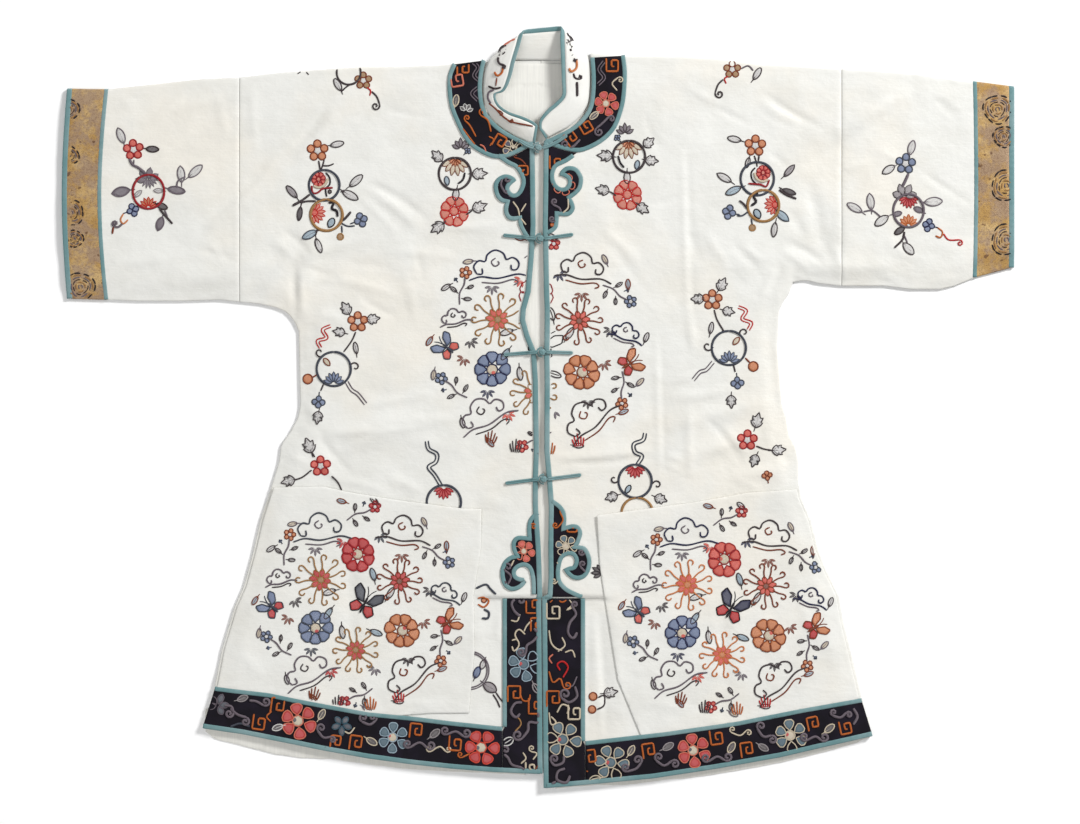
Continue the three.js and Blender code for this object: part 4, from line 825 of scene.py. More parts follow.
def make_object(
    name: str,
    points: Points,
    faces: list | Points,
    finish: bpy.types.Material,
    weave: Points | None = None,
    values: dict[str, Points] | None = None,
) -> bpy.types.Object:
    """A mesh object with its place in its mesh.

    Args:
        name: the piece's name.
        points: (n, 3) points of the cut.
        faces: the faces as rows of indices.
        finish: its material.
        weave: (n, 2) places on the flat cloth, which the weave follows.
        values: further values or colours at the points, by attribute name.

    Returns:
        The object, linked to the scene.
    """
    mesh = bpy.data.meshes.new(name)
    mesh.from_pydata(metres(points).tolist(), [], [list(map(int, face)) for face in faces])
    mesh.shade_smooth()
    if weave is not None:
        corners = np.empty(len(mesh.loops), np.int32)
        mesh.loops.foreach_get("vertex_index", corners)
        layer = mesh.uv_layers.new(name="Cloth")
        layer.data.foreach_set("uv", (weave[corners] / MM_PER_METRE).astype(np.float32).ravel())
    for key, value in (values or {}).items():
        kind = "FLOAT_COLOR" if value.ndim == 2 else "FLOAT"
        layer = mesh.attributes.new(key, kind, "POINT")
        layer.data.foreach_set("color" if value.ndim == 2 else "value", value.astype(np.float32).ravel())
    mesh.materials.append(finish)
    made = bpy.data.objects.new(name, mesh)
    bpy.context.scene.collection.objects.link(made)
    return made


def shell(
    name: str,
    flat: tuple[Points, Points, Points],
    place: Callable[[Points, Points], Points],
    lift: float,
    wall: float,
    finish: bpy.types.Material,
) -> bpy.types.Object:
    """A closed thin shell of cloth with a softly turned edge.

    Args:
        name: the piece's name.
        flat: the triangulated cut, as triangulate() gives it.
        place: gives the points in space of flat points at a lift.
        lift: how high the upper face lies.
        wall: the cloth's thickness.
        finish: its material.

    Returns:
        The object.
    """
    points, triangles, on_edge = flat
    upper = place(points, lift - EDGE_ROUNDING * wall * on_edge)
    lower = place(points, np.full(len(points), lift - wall))
    count = len(points)
    spans = np.vstack([triangles[:, [0, 1]], triangles[:, [1, 2]], triangles[:, [2, 0]]])
    keys = {(int(a), int(b)) for a, b in spans}
    rim = [(a, b) for a, b in keys if (b, a) not in keys]
    faces = triangles.tolist() + (triangles[:, ::-1] + count).tolist()
    faces += [(b, a, a + count, b + count) for a, b in sorted(rim)]
    return make_object(name, np.vstack([upper, lower]), faces, finish, np.vstack([points, points]))


# The section of a bound edge: places across it from -1 to 1, and shares of its height
BINDING_SECTION = np.array(
    [(-1, 0.08), (-0.96, 0.5), (-0.82, 0.86), (-0.45, 1), (0, 0.97), (0.45, 1), (0.82, 0.86), (0.96, 0.5),
     (1, 0.08), (0.5, 0), (-0.5, 0)]
)


def binding(
    name: str,
    line: Points,
    width: float,
    ground: Ground,
    finish: bpy.types.Material,
    wall: float = BINDING_WALL,
    base: float = BINDING_BASE,
) -> bpy.types.Object:
    """A folded strip of bias cloth that lies along a line.

    Args:
        name: the piece's name.
        line: its middle, seen from above.
        width: its width.
        ground: what it lies on.
        finish: its material.
        wall: its thickness.
        base: how high its underside lies over the ground.

    Returns:
        The object.
    """
    line = densify(line, BINDING_STEP)
    ways = mitres(line)
    edges = {}
    for hand in (-1, 1):
        edge = line + hand * ways * width / 2
        for share in (0.8, 0.6, 0.4):
            tight = distance_to(edge, line) < width * share / 2
            edge[tight] = (line + hand * ways * width * share / 2)[tight]
        edges[hand] = edge
    rows, weave = [], []
    lengths = lengths_along(line)
    pucker = 0.06 * np.sin(lengths * 0.9) + 0.05 * np.sin(lengths * 0.37 + 1)
    for across, height in BINDING_SECTION:
        flat = blend(edges[-1], edges[1], (across + 1) / 2)
        rows.append(ground.place(flat, base + wall * height * (1 + pucker)))
        weave.append(np.column_stack([np.full(len(line), across * width / 2), lengths]))
    return strip(name, np.array(rows), np.array(weave), finish)


def strip(name: str, rows: Points, weave: Points, finish: bpy.types.Material) -> bpy.types.Object:
    """A closed bar whose section is a ring of rows that run along it.

    Args:
        name: the piece's name.
        rows: (section, stations, 3) points, the section anticlockwise as the bar comes towards the eye.
        weave: (section, stations, 2) places on the flat cloth.
        finish: its material.

    Returns:
        The object.
    """
    section, stations = rows.shape[:2]
    faces = []
    for i in range(section):
        j = (i + 1) % section
        for k in range(stations - 1):
            faces.append((i * stations + k, i * stations + k + 1, j * stations + k + 1, j * stations + k))
    faces.append([i * stations for i in range(section)])
    faces.append([i * stations + stations - 1 for i in reversed(range(section))])
    made = make_object(name, rows.reshape(-1, 3), faces, finish, weave.reshape(-1, 2))
    turn_out(made)
    return made


def turn_out(piece: bpy.types.Object) -> None:
    """Turns all the faces of a closed mesh outwards.

    Args:
        piece: the closed mesh's object.
    """
    points = np.empty(len(piece.data.vertices) * 3, np.float32)
    piece.data.vertices.foreach_get("co", points)
    points = points.reshape(-1, 3)
    piece.data.calc_loop_triangles()
    corners = np.empty(len(piece.data.loop_triangles) * 3, np.int32)
    piece.data.loop_triangles.foreach_get("vertices", corners)
    a, b, c = (points[corners.reshape(-1, 3)[:, k]] for k in range(3))
    if float((a * np.cross(b, c)).sum()) < 0:
        piece.data.flip_normals()


class Shade:
    """A shader socket whose operators add Math nodes, and Vector Math nodes where it holds a vector."""

    def __init__(self, maker: "Shader", socket: bpy.types.NodeSocket, vector: bool = False) -> None:
        """Wraps a socket.

        Args:
            maker: the shader that the socket belongs to.
            socket: the node's socket.
            vector: whether it holds a vector.
        """
        self.maker = maker
        self.socket = socket
        self.vector = vector

    def _with(self, operation: str, first: "Shade | float", second: "Shade | float") -> "Shade":
        """The result of one operation on two values.

        Args:
            operation: the node's operation.
            first: the first value.
            second: the second value.

        Returns:
            The operation's result.
        """
        kind = "ShaderNodeVectorMath" if self.vector else "ShaderNodeMath"
        made = self.maker.node(kind, {"operation": operation}, {0: first, 1: second})
        return Shade(self.maker, made.outputs[0], self.vector)

    def __add__(self, other: "Shade | float") -> "Shade":
        """This plus another."""
        return self._with("ADD", self, other)

    def __radd__(self, other: float) -> "Shade":
        """A number plus this."""
        return self._with("ADD", other, self)

    def __sub__(self, other: "Shade | float") -> "Shade":
        """This less another."""
        return self._with("SUBTRACT", self, other)

    def __rsub__(self, other: float) -> "Shade":
        """A number less this."""
        return self._with("SUBTRACT", other, self)

    def __mul__(self, other: "Shade | float") -> "Shade":
        """This times another."""
        return self._with("MULTIPLY", self, other)

    def __rmul__(self, other: float) -> "Shade":
        """A number times this."""
        return self._with("MULTIPLY", other, self)

    def __pow__(self, other: float) -> "Shade":
        """This to a power."""
        return self._with("POWER", self, other)

    def step(self, low: float, high: float) -> "Shade":
        """A soft step from 0 where this is low to 1 where it is high.

        Args:
            low: the least value of the range.
            high: the greatest value of the range.

        Returns:
            The stepped value.
        """
        values = {"Value": self, "From Min": low, "From Max": high}
        made = self.maker.node("ShaderNodeMapRange", {"interpolation_type": "SMOOTHSTEP"}, values)
        return Shade(self.maker, made.outputs[0])


class Shader:
    """Builds one node material round a Principled BSDF."""

    def __init__(self, name: str) -> None:
        """Starts an empty material.

        Args:
            name: the material's name.
        """
        self.material = bpy.data.materials.new(name)
        self.material.use_nodes = True
        self.tree = self.material.node_tree
        self.surface = self.tree.nodes["Principled BSDF"]

    def node(self, kind: str, settings: dict | None = None, values: dict | None = None) -> bpy.types.Node:
        """Adds a node.

        Args:
            kind: the node's type.
            settings: its own properties, set first.
            values: what its sockets hold, by name or number: a value, or a Shade to link.

        Returns:
            The node.
        """
        made = self.tree.nodes.new(kind)
        for key, value in (settings or {}).items():
            setattr(made, key, value)
        for key, value in (values or {}).items():
            self.feed(made.inputs[key], value)
        return made

    def feed(self, socket: bpy.types.NodeSocket, value: "Shade | float | tuple") -> None:
        """Sets a socket, or links it where the value is a Shade.

        Args:
            socket: the node's socket.
            value: a number, a colour, or a Shade to link.
        """
        if isinstance(value, Shade):
            self.tree.links.new(value.socket, socket)
            return
        if hasattr(socket.default_value, "__len__"):
            held = len(socket.default_value)
            value = (value,) * held if isinstance(value, (int, float)) else (*value, 1.0)[:held]
        socket.default_value = value

    def set(self, **values: "Shade | float | tuple") -> None:
        """Sets sockets of the surface, by names with underscores for spaces."""
        for key, value in values.items():
            self.feed(self.surface.inputs[key.replace("_", " ")], value)

    def place(
        self, scale: tuple[float, float, float] = (1, 1, 1), turn: float = 0.0, weave: bool = False
    ) -> Shade:
        """The place of a point, stretched, on the object or on the flat cloth.

        Args:
            scale: the stretch on each axis, or how fine it is.
            turn: the turn in radians.
            weave: whether the place is on the flat cloth.

        Returns:
            The place, as a vector.
        """
        if weave:
            source = self.node("ShaderNodeUVMap", {"uv_map": "Cloth"})
        else:
            source = self.node("ShaderNodeTexCoord")
        output = Shade(self, source.outputs["UV" if weave else "Object"])
        values = {"Vector": output, "Scale": scale, "Rotation": (0, 0, turn)}
        return Shade(self, self.node("ShaderNodeMapping", None, values).outputs[0], vector=True)

    def noise(self, where: Shade, scale: float, detail: float = 3.0, roughness: float = 0.55) -> Shade:
        """Soft random values from 0 to 1."""
        values = {"Vector": where, "Scale": scale, "Detail": detail, "Roughness": roughness}
        return Shade(self, self.node("ShaderNodeTexNoise", None, values).outputs[0])

    def waves(self, where: Shade, scale: float, axis: str = "X", distortion: float = 0.0) -> Shade:
        """Even ridges across one axis, from 0 to 1.

        Args:
            where: the place to read.
            scale: the stretch on each axis, or how fine it is.
            axis: the axis that the ridges cross.
            distortion: how uneven they are.

        Returns:
            The ridges.
        """
        settings = {"wave_type": "BANDS", "bands_direction": axis}
        values = {"Vector": where, "Scale": scale, "Distortion": distortion, "Detail": 1.0}
        return Shade(self, self.node("ShaderNodeTexWave", settings, values).outputs[1])

    def attribute(self, name: str, colour: bool = False) -> Shade:
        """A value or a colour that the mesh holds."""
        made = self.node("ShaderNodeAttribute", {"attribute_name": name})
        return Shade(self, made.outputs["Color" if colour else "Fac"])

    def mix(
        self, share: "Shade | float", a: "Shade | Colour", b: "Shade | Colour", how: str = "MIX"
    ) -> Shade:
        """A colour between two, or their product.

        Args:
            share: how much of the second.
            a: the first colour.
            b: the second colour.
            how: the node's way of mixing.

        Returns:
            The colour.
        """
        settings = {"data_type": "RGBA", "blend_type": how, "clamp_factor": True}
        made = self.node("ShaderNodeMix", settings)
        self.feed(made.inputs[0], share)
        self.feed(made.inputs[6], a)
        self.feed(made.inputs[7], b)
        return Shade(self, made.outputs[2])

    def bump(self, height: Shade, distance: float, strength: float = 1.0) -> None:
        """Raises the surface by a height in metres times distance."""
        values = {"Height": height, "Distance": distance, "Strength": strength}
        self.set(Normal=Shade(self, self.node("ShaderNodeBump", None, values).outputs[0]))


@dataclass(frozen=True)
class Silk:
    """Off-white figured silk, with slubs across it, warm stains and a soft sheen."""

    name: str = "silk"
    cool: Colour = (0.755, 0.752, 0.716)
    warm: Colour = (0.800, 0.752, 0.660)
    dark: Colour = (0.640, 0.628, 0.575)
    roughness: float = 0.46
    sheen: float = 0.25

    def make(self) -> bpy.types.Material:
        """The finish's material.

        Returns:
            The material.
        """
        shader = Shader(self.name)
        cloth = shader.place(weave=True)
        stains = shader.noise(shader.place(), 5.5, 4, 0.6).step(0.44, 0.66)
        clouds = shader.noise(shader.place((1, 1.6, 1)), 14, 4, 0.6)
        slubs = shader.noise(shader.place((26, 700, 1), weave=True), 1.0, 2, 0.6)
        threads = shader.noise(shader.place((160, 2600, 1), weave=True), 1.0, 1, 0.5)
        colour = shader.mix(stains * 0.62, self.cool, self.warm)
        colour = shader.mix((1 - clouds.step(0.3, 0.62)) * 0.34, colour, self.dark)
        colour = shader.mix(slubs.step(0.56, 0.8) * 0.22, colour, (0.93, 0.92, 0.88))
        colour = shader.mix((1 - slubs.step(0.2, 0.42)) * 0.24, colour, self.dark)
        ribs = shader.waves(cloth, 620, "Y", 1.5)
        shader.set(
            Base_Color=colour,
            Roughness=self.roughness + slubs * 0.14 - stains * 0.05,
            Sheen_Weight=self.sheen,
            Sheen_Roughness=0.45,
            Specular_IOR_Level=0.42,
        )
        wrinkles = shader.noise(shader.place((1, 1.3, 1), weave=True), 70, 4, 0.6)
        shader.bump(wrinkles * 0.42 + slubs * 0.05 + threads * 0.03 + ribs * 0.012, 0.0019)
        return shader.material


@dataclass(frozen=True)
class Lining:
    """Plain cream lining silk with faint streaks down it."""

    name: str = "lining"
    pale: Colour = (0.80, 0.785, 0.73)
    grey: Colour = (0.66, 0.655, 0.62)

    def make(self) -> bpy.types.Material:
        """The finish's material.

        Returns:
            The material.
        """
        shader = Shader(self.name)
        streaks = shader.noise(shader.place((420, 18, 1), weave=True), 1.0, 3, 0.6)
        clouds = shader.noise(shader.place(), 22, 4, 0.6)
        colour = shader.mix(streaks.step(0.3, 0.75) * 0.5, self.pale, self.grey)
        colour = shader.mix(clouds.step(0.45, 0.75) * 0.4, colour, self.grey)
        shader.set(Base_Color=colour, Roughness=0.58 + streaks * 0.1, Sheen_Weight=0.2)
        shader.bump(streaks * 0.2 + clouds * 0.5, 0.0010)
        return shader.material


@dataclass(frozen=True)
class BiasBinding:
    """Teal bias binding with a slanting weave, faded in patches and worn through in spots."""

    name: str = "binding"
    teal: Colour = (0.105, 0.225, 0.235)
    faded: Colour = (0.180, 0.290, 0.300)
    deep: Colour = (0.055, 0.130, 0.142)
    worn: Colour = (0.05, 0.05, 0.06)

    def make(self) -> bpy.types.Material:
        """The finish's material.

        Returns:
            The material.
        """
        shader = Shader(self.name)
        fading = shader.noise(shader.place(), 16, 4, 0.6)
        slant = shader.waves(shader.place(turn=0.785, weave=True), 420, "X", 1.0)
        grain = shader.noise(shader.place(), 520, 3, 0.6)
        spots = shader.noise(shader.place(), 60, 3, 0.7).step(0.70, 0.76)
        colour = shader.mix(fading.step(0.42, 0.66), self.teal, self.faded)
        colour = shader.mix(grain.step(0.55, 0.8) * 0.35, colour, self.deep)
        colour = shader.mix(slant.step(0.6, 1.0) * 0.18, colour, self.deep)
        colour = shader.mix(spots * 0.75, colour, self.worn)
        shader.set(Base_Color=colour, Roughness=0.56 + grain * 0.12, Sheen_Weight=0.35)
        shader.bump(slant * 0.12 + grain * 0.35, 0.0004)
        return shader.material


@dataclass(frozen=True)
class BlackSatin:
    """Near-black aubergine satin of the bands, with fine ribs and a bluish bloom."""

    name: str = "band"
    black: Colour = (0.0042, 0.0030, 0.0062)
    bloom: Colour = (0.0095, 0.0066, 0.0145)

    def make(self) -> bpy.types.Material:
        """The finish's material.

        Returns:
            The material.
        """
        shader = Shader(self.name)
        clouds = shader.noise(shader.place(), 26, 4, 0.6)
        ribs = shader.waves(shader.place(weave=True), 560, "Y", 2.0)
        colour = shader.mix(clouds.step(0.4, 0.7), self.black, self.bloom)
        shader.set(
            Base_Color=colour,
            Roughness=0.60 + clouds * 0.14,
            Sheen_Weight=0.03,
            Specular_IOR_Level=0.14,
        )
        shader.bump(ribs * 0.08 + clouds * 0.5, 0.0005)
        return shader.material


@dataclass(frozen=True)
class GoldBrocade:
    """Gold brocade of the cuffs: crossing ribs of gilt and brown thread, rubbed in patches."""

    name: str = "brocade"
    gold: Colour = (0.470, 0.275, 0.075)
    pale: Colour = (0.640, 0.440, 0.190)
    brown: Colour = (0.150, 0.075, 0.040)
    grey: Colour = (0.330, 0.235, 0.180)
    rust: Colour = (0.110, 0.045, 0.015)

    def make(self) -> bpy.types.Material:
        """The finish's material.

        Returns:
            The material.
        """
        shader = Shader(self.name)
        cross = shader.waves(shader.place(weave=True), 300, "Y", 2.0)
        slant = shader.waves(shader.place(turn=0.62, weave=True), 190, "X", 1.2)
        rubbed = shader.noise(shader.place(), 30, 4, 0.65)
        flecks = shader.noise(shader.place((260, 900, 1), weave=True), 1.0, 2, 0.6)
        colour = shader.mix(rubbed.step(0.38, 0.66), self.gold, self.pale)
        patches = shader.noise(shader.place(), 42, 4, 0.7)
        dust = shader.noise(shader.place(), 560, 3, 0.7)
        spots = shader.noise(shader.place(), 78, 2, 0.5)
        colour = shader.mix(patches.step(0.42, 0.58) * 0.7, colour, self.grey)
        colour = shader.mix(dust.step(0.50, 0.62) * 0.45, colour, self.brown)
        colour = shader.mix(spots.step(0.66, 0.70) * 0.8, colour, self.rust)
        colour = shader.mix((1 - cross.step(0.0, 0.4)) * 0.25, colour, self.brown)
        colour = shader.mix(flecks.step(0.56, 0.74) * 0.42, colour, self.brown)
        colour = shader.mix(slant.step(0.72, 1.0) * 0.22, colour, self.brown)
        shader.set(Base_Color=colour, Roughness=0.40 + rubbed * 0.2, Metallic=0.22 + flecks * 0.1)
        shader.bump(cross * 0.25 + slant * 0.15 + flecks * 0.3, 0.0005)
        return shader.material


@dataclass(frozen=True)
class Thread:
    """Silk thread in the colour that the needlework holds, with twisted strands, painted shade between them,
    and a satin gloss.
    """

    name: str = "thread"
    roughness: float = 0.42

    def make(self) -> bpy.types.Material:
        """The finish's material.

        Returns:
            The material.
        """
        shader = Shader(self.name)
        # The colour that the mesh holds: dye alone on the cords, dye with painted shade and highlight on the
        # pads
        dye_and_painted_shade = shader.attribute("thread", colour=True)
        strands = shader.waves(shader.place(weave=True), 360, "X", 0.6)
        uneven = shader.noise(shader.place(), 300, 2, 0.6)
        # Painted shade in the grooves between the twisted strands
        colour = shader.mix((1 - strands.step(0.0, 0.5)) * 0.24, dye_and_painted_shade, (0.05, 0.03, 0.03))
        colour = shader.mix(uneven.step(0.5, 0.9) * 0.05, colour, (0.9, 0.85, 0.8))
        shader.set(
            Base_Color=colour,
            Roughness=self.roughness + uneven * 0.15,
            Sheen_Weight=0.04,
            Specular_IOR_Level=0.3,
        )
        shader.bump(strands, 0.0003)
        return shader.material


@dataclass
class Finishes:
    """The materials of the jacket, made once."""

    silk: bpy.types.Material = field(default_factory=lambda: Silk().make())
    lining: bpy.types.Material = field(default_factory=lambda: Lining().make())
    binding: bpy.types.Material = field(default_factory=lambda: BiasBinding().make())
    band: bpy.types.Material = field(default_factory=lambda: BlackSatin().make())
    brocade: bpy.types.Material = field(default_factory=lambda: GoldBrocade().make())
    thread: bpy.types.Material = field(default_factory=lambda: Thread().make())


@dataclass
class Cloth:
    """A cut piece of cloth: its object, its cut laid open, what it lies on, and what is sewn on it."""

    piece: bpy.types.Object
    outline: Points
    rests_on: list[str]
    trimmings: list[bpy.types.Object] = field(default_factory=list)

    def declare(self) -> None:
        span = self.outline.max(axis=0) - self.outline.min(axis=0)
        size = (float(span[0]) / MM_PER_METRE, float(span[1]) / MM_PER_METRE)
        area = min(abs(area_of(self.outline)) / MM_PER_METRE**2, size[0] * size[1])
        log.info("%s: cut %.0f x %.0f mm, %.4f m2", self.piece.name, *span, area)


@dataclass
class Workroom:
    """Takes finished pieces into the jacket: their body, and the nodes that each stands for."""

    finishes: Finishes
    cords: bpy.types.GeometryNodeTree
    cloths: dict[str, Cloth] = field(default_factory=dict)
    count: int = 0

    def take(self, piece: bpy.types.Object, slot: str, *nodes: str, on: str = "") -> bpy.types.Object:
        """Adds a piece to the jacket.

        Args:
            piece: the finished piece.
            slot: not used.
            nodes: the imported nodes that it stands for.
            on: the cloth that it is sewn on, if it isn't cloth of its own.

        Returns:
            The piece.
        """
        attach(piece, BODY)
        if nodes:
            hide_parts(*nodes)
        if on:
            self.cloths[on].trimmings.append(piece)
        self.count += 1
        log.info("%s: %d faces", piece.name, len(piece.data.polygons))
        return piece

    def cut(self, key: str, piece: bpy.types.Object, outline: Points, *rests_on: str) -> None:
        """Notes a piece of cloth with its cut."""
        self.cloths[key] = Cloth(piece, outline, list(rests_on))


@dataclass(frozen=True)
class FoldedCloth:
    """Cloth that runs from a front over the shoulder fold to the back, in one length.

    A place on it is (x, s): s is the height on the front, runs on round the fold, and then down the back.
    """

    cut: Cut
    extra: float = 0.0

    @property
    def arc(self) -> float:
        """The length of the cloth round the fold."""
        return math.pi * FOLD_RADIUS

    def on_back(self, x: Points, y: Points) -> Points:
        """The places of points that lie on the back."""
        axis = self.cut.fold(x)
        return np.column_stack([np.broadcast_to(x, np.shape(y)), 2 * axis + self.arc - y])

    def place(self, points: Points, lift: Points | float) -> Points:
        """The points in space, raised by a lift along the way out of the cloth.

        Args:
            points: (n, 2) places on the cloth.
            lift: the distance from its outer face. On the back nothing stands proud.

        Returns:
            (n, 3) points.
        """
        x, s = points[:, 0], points[:, 1]
        axis = self.cut.fold(x)
        turn = np.clip((s - axis) / FOLD_RADIUS, 0, math.pi)
        down = np.maximum(0, s - axis - self.arc)
        lift = np.broadcast_to(np.asarray(lift, float), x.shape) + self.extra
        lift = np.where(lift > 0, lift * (1 - turn / math.pi), lift)
        front_z = front_height(self.cut, x, np.minimum(s, axis)) + lift
        round_z = FOLD_RADIUS + (FOLD_RADIUS + lift) * np.cos(turn)
        y = np.where(turn > 0, axis + (FOLD_RADIUS + lift) * np.sin(turn) - down, np.minimum(s, axis))
        return np.column_stack([x, y, np.where(turn > 0, round_z, front_z)])

    def lattice(self, outline: Points, fine: float, coarse: float) -> Points:
        """Points for the inside of a piece: close together on the front and fold, further apart behind.

        Args:
            outline: (n, 2) corners in order.
            fine: the spacing on the front.
            coarse: the spacing on the back.

        Returns:
            (n, 2) places on the cloth.
        """
        low, high = outline.min(axis=0), outline.max(axis=0)
        front = lattice(low, high, fine)
        front = front[front[:, 1] < self.cut.fold(front[:, 0]) - fine / 2]
        across, last = np.arange(low[0], high[0], fine), FOLD_POINTS - 1
        axis = self.cut.fold(across)
        rounds = [np.column_stack([across, axis + self.arc * k / last]) for k in range(FOLD_POINTS)]
        back = lattice(low, high, coarse)
        back = back[back[:, 1] > self.cut.fold(back[:, 0]) + self.arc + coarse / 2]
        tuck = (front[:, 1] > TUCK_Y - 2.4) & (front[:, 1] < TUCK_Y + 1.6)
        across = np.arange(low[0], high[0], 3.0)
        steps = [
            np.column_stack([across, np.full(len(across), TUCK_Y - TUCK_STEP / 2 + d)]) for d in (-0.5, 0.5)
        ]
        return np.vstack([front[~tuck], *rounds, back, *steps])


def lattice(low: Points, high: Points, spacing: float) -> Points:
    """An even triangular pattern of points over a box.

    Args:
        low: the box's least x and y.
        high: the box's greatest x and y.
        spacing: the distance between the points.

    Returns:
        (n, 2) points.
    """
    rows = np.arange(low[1], high[1], spacing * ROW_SHARE)
    lines = [np.arange(low[0] + (i % 2) * spacing / 2, high[0], spacing) for i in range(len(rows))]
    return np.column_stack([np.concatenate(lines), np.repeat(rows, [len(line) for line in lines])])


def column(x: float | Points, y: Points) -> Points:
    """Points at one x, or one for each y."""
    y = np.asarray(y, float)
    return np.column_stack([np.broadcast_to(np.asarray(x, float), y.shape), y])


@dataclass
class BodyHalf:
    """Front and back in one length of silk, with the neck hole and the front opening."""

    cut: Cut
    edge_inset: float = 0.7
    fine: float = 4.0
    coarse: float = 13.0
    hem_start: float = 4.0
    seam_inset: float = 0.15

    def outline(self) -> Points:
        """The cut of the whole half, laid open.

        Returns:
            Its places in order.
        """
        cut, cloth = self.cut, FoldedCloth(self.cut)
        s, inset = cut.sign, self.edge_inset
        neck = smooth_line(cut.neckline)
        neck = neck + np.array([s * inset, 0])
        neck = neck[neck[:, 1] < cut.fold(neck[:, 0])][::-1]
        hem_y = look_up(cut.front_hem, self.hem_start) + inset
        heights = sorted(y for _, y in cut.front_edge if hem_y < y < neck[0, 1])
        ys = np.array([hem_y, *heights])
        front = column(cut.edge_x(ys) + s * inset, ys)
        neck_x = neck[-1, 0]
        rounding = column(neck_x, np.linspace(cut.fold(neck_x), cut.fold(neck_x) + cloth.arc, FOLD_POINTS))
        across = np.linspace(neck_x, s * self.seam_inset, 12)
        back_neck = cloth.on_back(across, np.minimum(BACK_NECK_Y, cut.fold(across)))
        hem_x = np.linspace(self.seam_inset, abs(cut.side_x(-380.0)) - BACK_INSET, 30)
        back_hem = cloth.on_back(s * hem_x, look_up(BACK_HEM, hem_x))
        side_y = np.linspace(look_up(BACK_HEM, hem_x[-1]) + 8, cut.armpit[1], 30)
        back_side = cloth.on_back(cut.side_x(side_y) - s * BACK_INSET, side_y)
        root_x = np.linspace(cut.armpit[0], SLEEVE_SEAM_X - SEAM_GAP / 2, 14)
        under = look_up(cut.underarm, root_x)
        back_root = cloth.on_back(s * root_x, under + BACK_INSET)
        top = cut.fold(root_x[-1])
        seam_down = column(s * root_x[-1], np.linspace(top + cloth.arc, top, FOLD_POINTS))
        front_root = column(s * root_x[::-1], under[::-1])
        side_down = np.linspace(cut.armpit[1], cut.front_hem[-1][1] + inset, SIDE_POINTS)
        front_side = column(cut.side_x(side_down), side_down)
        hem_xs = np.linspace(cut.front_hem[-1][0], self.hem_start, SIDE_POINTS)
        front_hem = column(s * hem_xs, look_up(cut.front_hem, hem_xs) + inset)
        parts = [
            front, neck, rounding, back_neck, back_hem, back_side, back_root, seam_down, front_root,
            front_side, front_hem,
        ]
        return np.vstack(parts)

    def build(self, room: Workroom) -> bpy.types.Object:
        """Makes the half.

        Args:
            room: takes the finished piece.

        Returns:
            The piece.
        """
        outline = densify(self.outline(), self.fine)
        cloth = FoldedCloth(self.cut)
        flat = triangulate(outline, self.fine, cloth.lattice(outline, self.fine, self.coarse))
        name = f"silk_body_{self.cut.side.word}"
        made = shell(name, flat, cloth.place, 0.0, CLOTH_WALL, room.finishes.silk)
        room.take(made, "silk", f"body_{self.cut.side.word}_front_to_back")
        room.cut(f"body_{self.cut.side.word}", made, outline, "floor", "lining_back_cloth")
        return made


